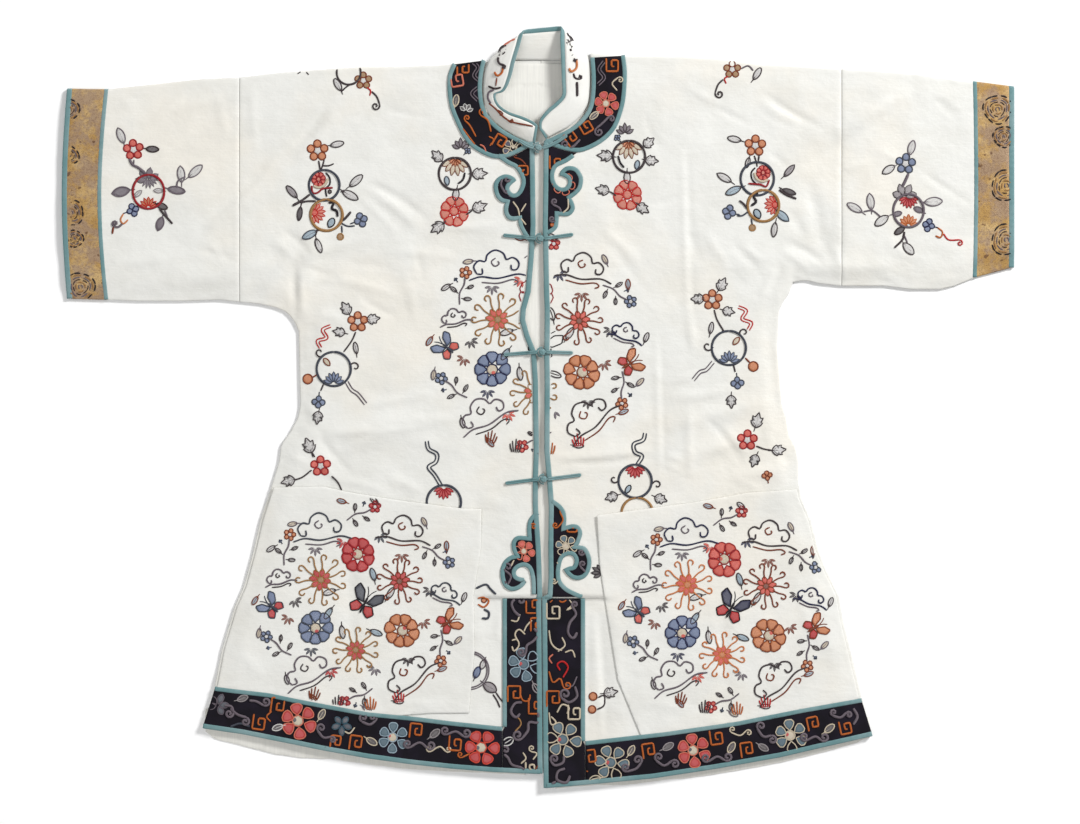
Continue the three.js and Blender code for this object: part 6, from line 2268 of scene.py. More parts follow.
@dataclass
class Frog:
    """A frog: a strap with a ball knot on the left front, and a strap with its loop on the right."""

    name: str
    x: float
    y: float
    bend: float
    right: tuple[float, float, float]
    left: tuple[float, float, float]
    cord_radius: float = 1.15
    strap_wall: float = 2.4
    knot_radius: float = 3.7
    loop_radius: float = 5.6
    knot_flatness: float = 0.86
    knot_sunk: float = 1.4
    loop_cord: float = 1.0
    stem_cord: float = 1.2
    strap_share: float = 0.94
    strap_end: float = 1.1

    @property
    def bottom(self) -> float:
        """The height of the straps over the bound edges."""
        fronts = front_height(LEFT_CUT, np.array([self.x]), np.array([self.y]))
        return float(fronts[0]) + 2 * SEAM_GAP + BINDING_WALL

    def strap(self, side: Side) -> Points:
        """The middle line of a strap, from its end to the knot.

        Args:
            side: the front that it is sewn on.

        Returns:
            (n, 3) points.
        """
        end, rise, step = self.right if side is Side.RIGHT else self.left
        cut = RIGHT_CUT if side is Side.RIGHT else LEFT_CUT
        near = self.x + side.value * self.loop_radius
        x = np.linspace(end, near, 40)
        share = (x - end) / (near - end)
        bow = rise * (1 - share) + (self.bend - 0.5) * 4 * rise * share * (1 - share)
        y = self.y + bow
        silk = front_height(cut, x, y) + SEAM_GAP + self.strap_wall / 2
        high = self.bottom + self.strap_wall / 2
        over = smoothstep(-side.value * x, -abs(step) - 3, -abs(step) + 3)
        return np.column_stack([x, y, blend(silk, high, over)])

    def cord(
        self, name: str, line: Points, finish: bpy.types.Material, radius: float = 0.0
    ) -> bpy.types.Object:
        """A round cord along a line, with the ripple of its winding.

        Args:
            name: the piece's name.
            line: (n, 2) points in order.
            finish: its material.
            radius: its radius, if it isn't the strap's.

        Returns:
            The object.
        """
        radius = radius or self.cord_radius
        way = np.gradient(line, axis=0)
        way /= np.linalg.norm(way, axis=1)[:, None]
        across = np.cross(np.array([0.0, 0.0, 1.0]), way)
        across /= np.maximum(np.linalg.norm(across, axis=1), 1e-6)[:, None]
        up = np.cross(way, across)
        lengths = lengths_along(line)
        swell = (radius * (1 + 0.07 * np.sin(lengths * 3.4)))[:, None]
        angles = np.linspace(0, 2 * math.pi, 10, endpoint=False)
        rows = [line + swell * (across * math.cos(a) + up * math.sin(a)) for a in angles]
        weave = [np.column_stack([np.full(len(line), a * radius), lengths]) for a in angles]
        return strip(name, np.array(rows), np.array(weave), finish)

    def ring(self, tilt: float, turn: float, radius: float) -> Points:
        """A closed ring round the knot's middle, tilted and turned.

        Args:
            tilt: its tilt in radians.
            turn: the turn in radians.
            radius: its radius.

        Returns:
            (n, 3) points.
        """
        a = np.linspace(0, 2 * math.pi, 33)
        across = radius * np.sin(a)
        flat = np.column_stack([radius * np.cos(a), across * math.cos(tilt), across * math.sin(tilt)])
        c, s = math.cos(turn), math.sin(turn)
        turned = flat @ np.array([[c, s, 0], [-s, c, 0], [0, 0, self.knot_flatness]])
        return turned + np.array(
            [self.x, self.y, self.bottom + self.knot_radius * self.knot_flatness - self.knot_sunk]
        )

    def build(self, room: Workroom) -> list[bpy.types.Object]:
        """Makes both halves of the frog.

        Args:
            room: takes the finished pieces.

        Returns:
            The loop's half and the knot's half.
        """
        halves = []
        for side, word in ((Side.RIGHT, "loop"), (Side.LEFT, "knot")):
            middle = self.strap(side)
            aside = np.array([0, self.cord_radius * self.strap_share, 0])
            end = middle[0] + np.array([side.value * self.strap_end, 0, 0])
            turn = np.array(
                [middle[0] + aside, end + aside * 0.7, end, end - aside * 0.7, middle[0] - aside]
            )
            line = np.vstack([(middle + aside)[::-1], turn[1:-1], middle - aside])
            cords = [self.cord(f"frog_{self.name}_{word}_cord", line, room.finishes.binding)]
            if word == "loop":
                a = np.linspace(math.radians(82), math.radians(278), 30)
                ring = np.column_stack([np.cos(a), np.sin(a), np.zeros(30)]) * self.loop_radius
                ring += np.array([self.x, self.y, self.bottom + 1.1])
                cords.append(self.cord("ring", ring, room.finishes.binding, self.loop_cord))
            else:
                high = middle[-1, 2]
                stem = np.linspace((self.x + self.loop_radius, self.y, high), (self.x + 2, self.y, high), 8)
                cords.append(self.cord("stem", stem, room.finishes.binding, self.stem_cord))
                for winding in WINDINGS:
                    ring = self.ring(*winding)
                    cords.append(self.cord("winding", ring, room.finishes.binding, self.stem_cord))
            whole = merge(f"frog_{self.name}_{word}_cords", cords)
            halves.append(room.take(whole, "binding", f"frog_{self.name}_{word}", on=f"body_{side.word}"))
        return halves


def merge(name: str, parts: list[bpy.types.Object]) -> bpy.types.Object:
    """Joins objects that share a finish into one piece.

    Args:
        name: the piece's name.
        parts: the objects.

    Returns:
        The one object that is left.
    """
    with bpy.context.temp_override(
        active_object=parts[0], selected_editable_objects=parts, selected_objects=parts
    ):
        bpy.ops.object.join()
    parts[0].name = name
    parts[0].data.name = name
    return parts[0]


FROGS = [
    Frog("neck", -2.6, 311.4, 0.36, (-24, 7.6, -40), (30, 13.6, 40)),
    Frog("chest", -0.4, 202.6, 0.5, (-42.6, 3.6, -20.4), (37, 4.4, 11.6)),
    Frog("waist", 1.6, 66.4, 0.5, (-42, -3, -15), (36.6, -1, 12.6)),
    Frog("hip", 3.4, -85.8, 0.5, (-40, -4.8, -10.4), (46.6, 4.8, 15)),
]


@dataclass
class Studio:
    """A pale floor, soft light from the upper right, and the camera straight above."""

    look_at: tuple[float, float] = (-0.6, -5.4)
    view_width: float = 1296.0
    lens: float = 135.0
    sensor_width: float = 36.0
    floor_size: float = 12.0
    world_strength: float = 0.36
    pale: Colour = (0.985, 0.985, 0.985)
    grey: Colour = (0.965, 0.965, 0.97)

    def build(self) -> None:
        """Makes the floor, the lights and the camera."""
        shader = Shader("floor")
        grain = shader.noise(shader.place(), 40, 2)
        shader.set(Base_Color=shader.mix(grain * 0.1, self.pale, self.grey), Roughness=0.9)
        side = self.floor_size / 2
        corners = [(-side, -side, 0), (side, -side, 0), (side, side, 0), (-side, side, 0)]
        mesh = bpy.data.meshes.new("floor")
        mesh.from_pydata(corners, [], [(0, 1, 2, 3)])
        mesh.materials.append(shader.material)
        floor = bpy.data.objects.new("floor", mesh)
        bpy.context.scene.collection.objects.link(floor)
        self.light("key", (3.6, 3.1, 3.0), 1.25, 325)
        self.light("fill", (-1.6, -0.8, 3.0), 2.6, 36)
        world = bpy.data.worlds.new("studio")
        world.use_nodes = True
        world.node_tree.nodes["Background"].inputs["Color"].default_value = (1, 1, 1, 1)
        world.node_tree.nodes["Background"].inputs["Strength"].default_value = self.world_strength
        bpy.context.scene.world = world
        bpy.context.scene.view_settings.view_transform = "Standard"
        self.camera()

    def light(self, name: str, place: tuple[float, float, float], size: float, watts: float) -> None:
        """Adds a square light that faces the jacket's middle.

        Args:
            name: the light's name.
            place: where it stands, in metres.
            size: the length of its side, in metres.
            watts: its power.
        """
        data = bpy.data.lights.new(name, "AREA")
        data.size, data.energy = size, watts
        lamp = bpy.data.objects.new(name, data)
        lamp.location = place
        way = -lamp.location
        lamp.rotation_euler = way.to_track_quat("-Z", "Y").to_euler()
        bpy.context.scene.collection.objects.link(lamp)

    def camera(self) -> None:
        """Adds the camera, looking straight down."""
        data = bpy.data.cameras.new("camera")
        data.lens, data.sensor_width = self.lens, self.sensor_width
        data.clip_end = 50
        camera = bpy.data.objects.new("camera", data)
        height = self.view_width / MM_PER_METRE * self.lens / data.sensor_width
        x, y = (np.array(self.look_at) + np.array(CUT_ORIGIN)) / MM_PER_METRE
        camera.location = (x, y, height)
        bpy.context.scene.collection.objects.link(camera)
        bpy.context.scene.camera = camera


class Dye(Enum):
    """Thread colours of the needlework, as red, green and blue up to 255."""

    CHARCOAL = (74, 63, 66)
    BROWN = (58, 40, 40)
    SLATE = (72, 78, 92)
    LILAC = (124, 112, 122)
    ASH = (178, 170, 172)
    SMOKE = (244, 241, 238)
    PEARL = (250, 248, 244)
    NAVY = (34, 40, 84)
    BLUE = (128, 146, 184)
    ICE = (182, 204, 218)
    TEAL = (70, 110, 128)
    CREAM = (242, 226, 198)
    OCHRE = (188, 140, 84)
    ORANGE = (218, 112, 40)
    APRICOT = (240, 146, 84)
    RUST = (146, 66, 34)
    CORAL = (246, 88, 64)
    SALMON = (244, 138, 112)
    RED = (222, 26, 26)
    CRIMSON = (176, 22, 36)
    INK = (30, 24, 34)

    @property
    def linear(self) -> Points:
        """The colour as the renderer reads it, with its alpha.

        Returns:
            Red, green, blue and alpha.
        """
        share = np.array(self.value) / 255
        low, high = share / 12.92, ((share + 0.055) / 1.055) ** 2.4
        return np.append(np.where(share <= 0.04045, low, high) * THREAD_DEPTH, 1.0)


def cord_tree() -> bpy.types.GeometryNodeTree:
    """A node tree that lays a twisted cord along every edge chain of a mesh.

    Returns:
        The node group.
    """
    tree = bpy.data.node_groups.new("Couched cord", "GeometryNodeTree")
    face = tree.interface
    face.new_socket("Geometry", in_out="INPUT", socket_type="NodeSocketGeometry")
    for name, value in (("Spacing", 0.0022), ("Flatness", 0.62), ("Twist", 0.08), ("Twist Rate", 2600.0)):
        face.new_socket(name, in_out="INPUT", socket_type="NodeSocketFloat").default_value = value
    face.new_socket("Finish", in_out="INPUT", socket_type="NodeSocketMaterial")
    face.new_socket("Geometry", in_out="OUTPUT", socket_type="NodeSocketGeometry")

    def fill(made: bpy.types.Node, links: dict) -> None:
        """Sets or links a node's sockets.

        Args:
            made: the node.
            links: what its sockets hold: a value, or a socket to link.
        """
        for key, value in links.items():
            if isinstance(value, bpy.types.NodeSocket):
                tree.links.new(value, made.inputs[key])
            else:
                made.inputs[key].default_value = value

    def node(kind: str, links: dict, settings: dict | None = None) -> bpy.types.Node:
        """Adds a node with its settings, values and links.

        Args:
            kind: the node's type.
            links: what its sockets hold: a value, or a socket to link.
            settings: its own properties.

        Returns:
            The node.
        """
        made = tree.nodes.new(kind)
        for key, value in (settings or {}).items():
            setattr(made, key, value)
        fill(made, links)
        return made

    entry = tree.nodes.new("NodeGroupInput").outputs
    curve = node("GeometryNodeMeshToCurve", {"Mesh": entry["Geometry"]}).outputs[0]
    even = node(
        "GeometryNodeResampleCurve", {"Curve": curve, "Length": entry["Spacing"]}, {"mode": "LENGTH"}
    ).outputs[0]
    along = node("GeometryNodeSplineParameter", {}).outputs["Length"]
    girth = node("GeometryNodeInputNamedAttribute", {"Name": "girth"}, {"data_type": "FLOAT"}).outputs[0]
    turned = node(
        "ShaderNodeMath", {0: along, 1: entry["Twist Rate"]}, {"operation": "MULTIPLY"}
    ).outputs[0]
    wave = node("ShaderNodeMath", {0: turned}, {"operation": "SINE"}).outputs[0]
    swell = node(
        "ShaderNodeMath", {0: wave, 1: entry["Twist"], 2: 1.0}, {"operation": "MULTIPLY_ADD"}
    ).outputs[0]
    radius = node("ShaderNodeMath", {0: girth, 1: swell}, {"operation": "MULTIPLY"}).outputs[0]
    upright = node("GeometryNodeSetCurveNormal", {"Curve": even}, {"mode": "Z_UP"}).outputs[0]
    sized = node("GeometryNodeSetCurveRadius", {"Curve": upright, "Radius": radius}).outputs[0]
    stored = node(
        "GeometryNodeStoreNamedAttribute",
        {"Geometry": sized, "Name": "along", "Value": along},
        {"data_type": "FLOAT", "domain": "POINT"},
    ).outputs[0]
    ring = node("GeometryNodeCurvePrimitiveCircle", {"Resolution": 5, "Radius": 1.0}).outputs[0]
    shape = node("ShaderNodeCombineXYZ", {"X": 1.0, "Y": entry["Flatness"], "Z": 1.0}).outputs[0]
    profile = node("GeometryNodeTransform", {"Geometry": ring, "Scale": shape}).outputs[0]
    links = {"Curve": stored, "Profile Curve": profile, "Fill Caps": True}
    maker = tree.nodes.new("GeometryNodeCurveToMesh")
    if "Scale" in maker.inputs:
        links["Scale"] = radius
    fill(maker, links)
    read = node("GeometryNodeInputNamedAttribute", {"Name": "along"}, {"data_type": "FLOAT"}).outputs[0]
    spot = node("ShaderNodeCombineXYZ", {"X": read, "Y": read}).outputs[0]
    woven = node(
        "GeometryNodeStoreNamedAttribute",
        {"Geometry": maker.outputs[0], "Name": "Cloth", "Value": spot},
        {"data_type": "FLOAT2", "domain": "CORNER"},
    ).outputs[0]
    real = node("GeometryNodeRealizeInstances", {"Geometry": woven}).outputs[0]
    done = node("GeometryNodeSetMaterial", {"Geometry": real, "Material": entry["Finish"]}).outputs[0]
    leave = tree.nodes.new("NodeGroupOutput")
    tree.links.new(done, leave.inputs["Geometry"])
    return tree


@dataclass
class Needlework:
    """The embroidery of one region: drawn in pixels of the photo, worked on its cloth."""

    name: str
    ground: Callable[[Points, Points | float], Points]
    lift: float
    keep: Callable[[Points], Points] | None = None
    thickness: float = 1.15
    strands: list[tuple[Points, Dye, float]] = field(default_factory=list)
    pads: list[tuple[Points, Dye, float]] = field(default_factory=list)

    def cord(
        self, line: Points, dye: Dye, width: float = 1.5, smooth: bool = True, closed: bool = False
    ) -> None:
        """Couches a cord along places in the photo.

        Args:
            line: (n, 2) places in pixels.
            dye: the thread's colour.
            width: the cord's width in pixels.
            smooth: whether it curves through the places, or turns at them.
            closed: whether it returns to its start.
        """
        line = np.asarray(line, float)
        if closed:
            line = np.vstack([line, line[:1]])
        if smooth and len(line) > 2:
            line = smooth_line(line, 4)
        width = width * self.thickness
        line = resample(photo_points(line), CORD_STEP)
        kept = self.keep(line) if self.keep else np.ones(len(line), bool)
        start = 0
        for stop in [*np.flatnonzero(np.diff(kept)) + 1, len(line)]:
            if kept[start] and stop - start > 1:
                self.strands.append((line[start:stop], dye, width * MM_PER_PIXEL))
            start = stop

    def pad(
        self, outline: Points, dye: Dye, rim: Dye | None = None, width: float = 1.3, stitch: float = 0.0
    ) -> None:
        """Fills an outline with satin stitch, and couches a cord round it.

        Args:
            outline: (n, 2) places in pixels, in order.
            dye: the filling's colour.
            rim: the cord's colour, if it has one.
            width: the cord's width in pixels.
            stitch: the way of the stitches, in degrees.
        """
        outline = np.asarray(outline, float)
        flat = photo_points(outline)
        if self.keep is None or bool(self.keep(flat).all()):
            self.pads.append((flat, dye, stitch))
        if rim is not None:
            self.cord(outline, rim, width, smooth=False, closed=True)

    def cords_object(self, room: Workroom) -> bpy.types.Object:
        """All the cords as one plain mesh, made by the cord tree.

        Args:
            room: takes the finished pieces.

        Returns:
            The object.
        """
        points, edges, girth, thread_colours = [], [], [], []
        for line, dye, width in self.strands:
            first = sum(len(block) for block in points)
            points.append(self.ground(line, self.lift + width * CORD_SUNK))
            edges += [(first + k, first + k + 1) for k in range(len(line) - 1)]
            taper = np.ones(len(line))
            taper[[0, -1]] = CORD_TAPER
            girth.append(taper * width / (2 * MM_PER_METRE))
            thread_colours.append(np.tile(dye.linear, (len(line), 1)))
        mesh = bpy.data.meshes.new(self.name)
        mesh.from_pydata(metres(np.vstack(points)).tolist(), edges, [])
        layer = mesh.attributes.new("girth", "FLOAT", "POINT")
        layer.data.foreach_set("value", np.concatenate(girth).astype(np.float32))
        layer = mesh.attributes.new("thread", "FLOAT_COLOR", "POINT")
        layer.data.foreach_set("color", np.vstack(thread_colours).astype(np.float32).ravel())
        drawn = bpy.data.objects.new(self.name, mesh)
        bpy.context.scene.collection.objects.link(drawn)
        maker = drawn.modifiers.new("cords", "NODES")
        maker.node_group = room.cords
        sockets = {
            item.name: item.identifier for item in room.cords.interface.items_tree if item.in_out == "INPUT"
        }
        maker[sockets["Finish"]] = room.finishes.thread
        ready = drawn.evaluated_get(bpy.context.evaluated_depsgraph_get())
        plain = bpy.data.meshes.new_from_object(ready)
        drawn.modifiers.clear()
        drawn.data = plain
        plain.shade_smooth()
        return drawn

    def pads_object(self, room: Workroom) -> bpy.types.Object:
        """All the satin fillings as low domes, with painted shade on their rims and a painted highlight on
        their tops.

        Args:
            room: takes the finished pieces.

        Returns:
            The object.
        """
        points, faces, thread_colours, weave = [], [], [], []
        first = 0
        for outline, dye, stitch in self.pads:
            middle = outline.mean(axis=0)
            count = len(outline)
            reach = float(np.linalg.norm(outline - middle, axis=1).min())
            rise = min(PAD_RISE, PAD_LEAST_RISE + reach * PAD_SLOPE)
            rings = [(1.0, -0.1), (0.94, 0.6 * rise), (0.55, rise)]
            flat = np.vstack([*[middle + (outline - middle) * share for share, _ in rings], middle[None]])
            lifts = np.concatenate([*[np.full(count, high) for _, high in rings], [rise * 1.08]])
            points.append(self.ground(flat, self.lift + lifts))
            spots = list(range(count))
            if area_of(outline) < 0:
                spots.reverse()
            for low in range(len(rings) - 1):
                a, b = first + low * count, first + (low + 1) * count
                faces += [(a + i, a + j, b + j, b + i) for i, j in zip(spots, spots[1:] + spots[:1])]
            top, last = first + (len(rings) - 1) * count, first + len(rings) * count
            faces += [(top + i, top + j, last) for i, j in zip(spots, spots[1:] + spots[:1])]
            faces.append([first + i for i in reversed(spots)])
            # Painted shade on each pad's rim and shoulder and a painted highlight on its top, as a lit dome
            # shows them
            shade = np.tile(dye.linear, (len(flat), 1))
            shade[:count, :3] *= PAD_RIM_PAINTED_SHADE
            shade[count : 2 * count, :3] *= PAD_SHOULDER_PAINTED_SHADE
            shade[2 * count :, :3] = 1 - (1 - shade[2 * count :, :3]) * PAD_TOP_PAINTED_HIGHLIGHT
            thread_colours.append(shade)
            c, s = math.cos(math.radians(stitch)), math.sin(math.radians(stitch))
            weave.append(flat @ np.array([[c, -s], [s, c]]))
            first += len(flat)
        values = {"thread": np.vstack(thread_colours)}
        return make_object(
            f"{self.name}_fill", np.vstack(points), faces, room.finishes.thread, np.vstack(weave), values
        )

    def build(self, room: Workroom, cloth: str) -> bpy.types.Object | None:
        """Makes the embroidery as one piece.

        Args:
            room: takes the finished piece.
            cloth: what it is worked on.

        Returns:
            The piece, or None where the region has no stitches.
        """
        parts = []
        if self.strands:
            parts.append(self.cords_object(room))
        if self.pads:
            parts.append(self.pads_object(room))
        if not parts:
            return None
        whole = merge(self.name, parts) if len(parts) > 1 else parts[0]
        return room.take(whole, SLOTS[cloth.rsplit("_", 1)[0]], on=cloth)


# The record's material slot of the cloth that each region's needlework is worked on
SLOTS = {
    "body": "silk", "sleeve": "silk", "pocket": "silk", "collar": "silk", "cuff": "brocade",
    "neck_band": "band", "cloud_head_upper": "band", "cloud_head_lower": "band", "front_band": "band",
    "hem_band": "band",
}


def rotated(spots: list, angle: float, hand: int = 1) -> list:
    """Points turned about a motif's middle."""
    c, s = math.cos(angle), math.sin(angle)
    return [(x * c - y * hand * s, x * s + y * hand * c) for x, y in spots]


def photo_points(points: Points) -> Points:
    """Places in the photo as points of the cut."""
    x, y = photo(points[:, 0], points[:, 1])
    return np.column_stack([x, y])


@dataclass(frozen=True)
class Motif:
    """A motif at a place in the photo, with its size in pixels and the way it points in degrees."""

    x: float
    y: float
    size: float = 10.0
    turn: float = 90.0

    def at(self, points: list | Points) -> Points:
        """Places in the photo of points of the motif, whose own first axis is the way it points.

        Args:
            points: (n, 2) points in shares of the motif's size.

        Returns:
            (n, 2) places in pixels.
        """
        p = np.asarray(points, float) * self.size
        c, s = math.cos(math.radians(self.turn)), math.sin(math.radians(self.turn))
        return np.column_stack([self.x + p[:, 0] * c - p[:, 1] * s, self.y - p[:, 0] * s - p[:, 1] * c])

    def disc(self, x: float, y: float, reach: float, count: int = 10, squash: float = 1.0) -> Points:
        """Places round a small disc of the motif."""
        a = np.linspace(0, 2 * math.pi, count, endpoint=False)
        return self.at(np.column_stack([x + reach * np.cos(a), y + reach * squash * np.sin(a)]))

    def work(self, on: Needlework) -> None:
        """Works the motif."""


@dataclass(frozen=True)
class Blossom(Motif):
    """A plum blossom: round padded petals about a pale heart with dots."""

    petal: Dye = Dye.CORAL
    rim: Dye = Dye.CRIMSON
    heart: Dye = Dye.PEARL
    dots: Dye = Dye.TEAL
    petals: int = 5

    def work(self, on: Needlework) -> None:
        """Works the petals, the heart and its dots.

        Args:
            on: the needlework that takes the stitches.
        """
        for k in range(self.petals):
            a = 2 * math.pi * k / self.petals
            on.pad(
                self.disc(0.63 * math.cos(a), 0.63 * math.sin(a), 0.36, 9), self.petal, self.rim, 1.2,
                40.0 * k,
            )
        on.pad(self.disc(0, 0, 0.34), self.heart)
        for k in range(5):
            a = 2 * math.pi * (k + 0.5) / 5
            on.pad(self.disc(0.2 * math.cos(a), 0.2 * math.sin(a), 0.07, 5), self.dots)
        on.pad(self.disc(0, 0, 0.1, 6), Dye.TEAL)


@dataclass(frozen=True)
class Leaf(Motif):
    """A pointed leaf with an outline and a vein, or a leaf of solid stitches."""

    size: float = 15.0
    width: float = 0.40
    rim: Dye = Dye.CHARCOAL
    fill: Dye | None = Dye.SMOKE
    vein: Dye | None = Dye.CHARCOAL
    stem: float = 0.25
    lobed: bool = False

    def work(self, on: Needlework) -> None:
        """Works the leaf, three-pointed where it is lobed.

        Args:
            on: the needlework that takes the stitches.
        """
        u = np.linspace(-0.5, 0.5, 8)
        v = self.width / 2 * (1 - (2 * u) ** 2) ** 0.75
        if self.lobed:
            u = np.array([-0.5, -0.36, -0.10, -0.14, 0.22, 0.12, 0.5])
            v = np.array([0.0, 0.24, 0.40, 0.26, 0.34, 0.18, 0.0]) * self.width / 0.62
        outline = np.vstack([np.column_stack([u, v]), np.column_stack([u, -v])[::-1][1:-1]])
        if self.fill is not None:
            on.pad(self.at(outline), self.fill, self.rim, 1.25, self.turn + 30)
        else:
            on.cord(self.at(outline), self.rim, 1.25, smooth=False, closed=True)
        if self.vein is not None:
            on.cord(self.at([(-0.5 - self.stem, 0.04), (-0.2, 0.0), (0.30, 0.02)]), self.vein, 1.0)
            if self.lobed:
                for hand in (-1, 1):
                    on.cord(self.at([(-0.34, 0.03 * hand), (-0.16, 0.24 * hand)]), self.vein, 0.95)
        elif self.stem:
            on.cord(self.at([(-0.5 - self.stem, 0.04), (-0.45, 0)]), self.rim, 1.3)


@dataclass(frozen=True)
class Ring(Motif):
    """A couched ring, round or oval."""

    dye: Dye = Dye.CHARCOAL
    squash: float = 1.0
    width: float = 1.9

    def work(self, on: Needlework) -> None:
        """Works the ring."""
        on.cord(self.disc(0, 0, 1.0, 22, self.squash), self.dye, self.width, closed=True)


@dataclass(frozen=True)
class Fan(Motif):
    """Half a flower: pointed petals that spread from one place."""

    fill: Dye = Dye.CORAL
    rim: Dye | None = None
    petals: int = 7
    spread: float = 150.0
    inner: float = 0.15
    plump: float = 0.85
    heart: Dye | None = None

    def work(self, on: Needlework) -> None:
        """Works the petals, and the heart where it has one.

        Args:
            on: the needlework that takes the stitches.
        """
        step = math.radians(self.spread) / max(1, self.petals - 1)
        half = math.sin(min(step, 0.8) / 2) * 0.72 * self.plump
        for k in range(self.petals):
            a = (k - (self.petals - 1) / 2) * step
            reach = 1 - 0.16 * abs(2 * k / max(1, self.petals - 1) - 1)
            spots = [(self.inner, 0), (0.45 * reach, half), (0.75 * reach, half * 0.9), (reach, 0)]
            spots += [(0.75 * reach, -half * 0.9), (0.45 * reach, -half)]
            on.pad(self.at(rotated(spots, a)), self.fill, self.rim, 0.9, self.turn + math.degrees(a))
        if self.heart is not None:
            on.pad(self.disc(0.1, 0, 0.24, 9), self.heart, self.rim, 0.9)


@dataclass(frozen=True)
class Bud(Motif):
    """A bud of round lobes held by a calyx."""

    fill: Dye = Dye.BLUE
    rim: Dye = Dye.SLATE

    def work(self, on: Needlework) -> None:
        """Works the lobes and the calyx.

        Args:
            on: the needlework that takes the stitches.
        """
        for x, y, reach in ((0.25, 0.42, 0.34), (0.25, -0.42, 0.34), (0.55, 0, 0.36), (-0.15, 0, 0.32)):
            on.pad(self.disc(x, y, reach, 9), self.fill, self.rim, 1.2, 60 * y)
        on.cord(self.at([(-0.9, 0), (-0.5, 0)]), self.rim, 1.5)


@dataclass(frozen=True)
class Berry:
    """A round padded berry at a place in the photo."""

    x: float
    y: float
    size: float = 4.0
    fill: Dye = Dye.APRICOT
    rim: Dye = Dye.RUST

    def work(self, on: Needlework) -> None:
        """Works the berry."""
        on.pad(Motif(self.x, self.y, self.size).disc(0, 0, 1.0), self.fill, self.rim, 1.2)


@dataclass(frozen=True)
class Curl(Motif):
    """A tendril that winds into a spiral."""

    dye: Dye = Dye.CHARCOAL
    turns: float = 0.9
    hand: int = 1
    width: float = 1.6

    def work(self, on: Needlework) -> None:
        """Works the tendril.

        Args:
            on: the needlework that takes the stitches.
        """
        t = np.linspace(0, 1, 5 + int(7 * self.turns))
        reach = 0.5 * (1 - 0.74 * t)
        a = math.pi - self.hand * 2 * math.pi * self.turns * t
        on.cord(
            self.at(np.column_stack([0.5 + reach * np.cos(a), reach * np.sin(a)])), self.dye, self.width
        )


@dataclass(frozen=True)
class Fret:
    """A key fret: a cord that turns inwards at square corners."""

    x: float
    y: float
    size: float = 12.0
    turn: float = 0.0
    dye: Dye = Dye.ORANGE
    hand: int = 1

    def work(self, on: Needlework) -> None:
        """Works the fret.

        Args:
            on: the needlework that takes the stitches.
        """
        spots = [
            (-0.5, -0.75), (-0.5, 0.5), (0.5, 0.5), (0.5, -0.45), (-0.05, -0.45), (-0.05, 0.1), (0.18, 0.1)
        ]
        drawn = Motif(self.x, self.y, self.size, self.turn)
        on.cord(drawn.at([(x, y * self.hand) for x, y in spots]), self.dye, 1.9, smooth=False)


@dataclass(frozen=True)
class Line:
    """A stem, a scroll or a ribbon through places in the photo."""

    places: list[tuple[float, float]]
    dye: Dye = Dye.CHARCOAL
    width: float = 1.6
    gap: float = 0.0
    curls: tuple[float, float] = (0.0, 0.0)

    def work(self, on: Needlework) -> None:
        """Works the line, doubled where it has a gap, with a curl at each end that has a size.

        Args:
            on: the needlework that takes the stitches.
        """
        spots = np.array(self.places, float)
        line = smooth_line(spots, 4) if len(spots) > 2 else spots
        if self.gap:
            way = mitres(line)
            for hand in (-1, 1):
                on.cord(line + way * hand * self.gap / 2, self.dye, self.width * 0.75)
        else:
            on.cord(line, self.dye, self.width)
        for end, before, size in ((line[0], line[1], self.curls[0]), (line[-1], line[-2], self.curls[1])):
            if size:
                hand = 1 if size > 0 else -1
                turn = math.degrees(math.atan2(-(end - before)[1], (end - before)[0])) - 90 * hand
                Curl(end[0], end[1], abs(size) * 2.2, turn, self.dye, 1.25, hand, self.width).work(on)


@dataclass(frozen=True)
class Peony(Motif):
    """A peony: two rounds of petals about a heart."""

    petal: Dye = Dye.TEAL
    rim: Dye = Dye.ICE
    heart: Dye = Dye.TEAL
    spot: Dye = Dye.RED
    petals: int = 6
    round_petals: bool = False

    def work(self, on: Needlework) -> None:
        """Works the petals, then the heart.

        Args:
            on: the needlework that takes the stitches.
        """
        for k in range(self.petals):
            a = 2 * math.pi * k / self.petals + 0.3
            far = 0.7 + 0.06 * math.sin(5.0 * k)
            blunt = 0.37 if self.round_petals else 0.33
            spots = [(far - 0.36, 0), (far - 0.12, blunt * 0.72), (far + 0.16, blunt), (far + 0.34, 0.20)]
            spots += [(x, -y) for x, y in reversed(spots[1:])]
            on.pad(self.at(rotated(spots, a)), self.petal, self.rim, 1.15, math.degrees(a))
        on.pad(self.disc(0, 0.02, 0.34, 7), self.heart, self.rim, 1.15)
        on.pad(self.disc(0.02, 0.16, 0.2, 7), self.spot)


@dataclass(frozen=True)
class Chrysanthemum(Motif):
    """A chrysanthemum: thin petals that end in hooks, round a fan of short ones."""

    dye: Dye = Dye.OCHRE
    heart: Dye = Dye.CORAL
    petals: int = 11

    def work(self, on: Needlework) -> None:
        """Works the outer hooks, the inner petals and the heart.

        Args:
            on: the needlework that takes the stitches.
        """
        for k in range(self.petals):
            a = 2 * math.pi * k / self.petals
            hook = [(0.34, 0), (0.62, 0.02), (0.88, 0.10), (1.0, 0.02), (0.93, -0.12), (0.8, -0.08)]
            hand = 1 if k % 2 else -1
            on.cord(self.at(rotated(hook, a, hand)), self.dye, 1.5)
        Fan(self.x, self.y, self.size * 0.5, self.turn, self.heart, self.dye, 8, 315.0, 0.2, 0.8).work(on)
        on.pad(self.disc(0, 0, 0.14, 8), self.dye)


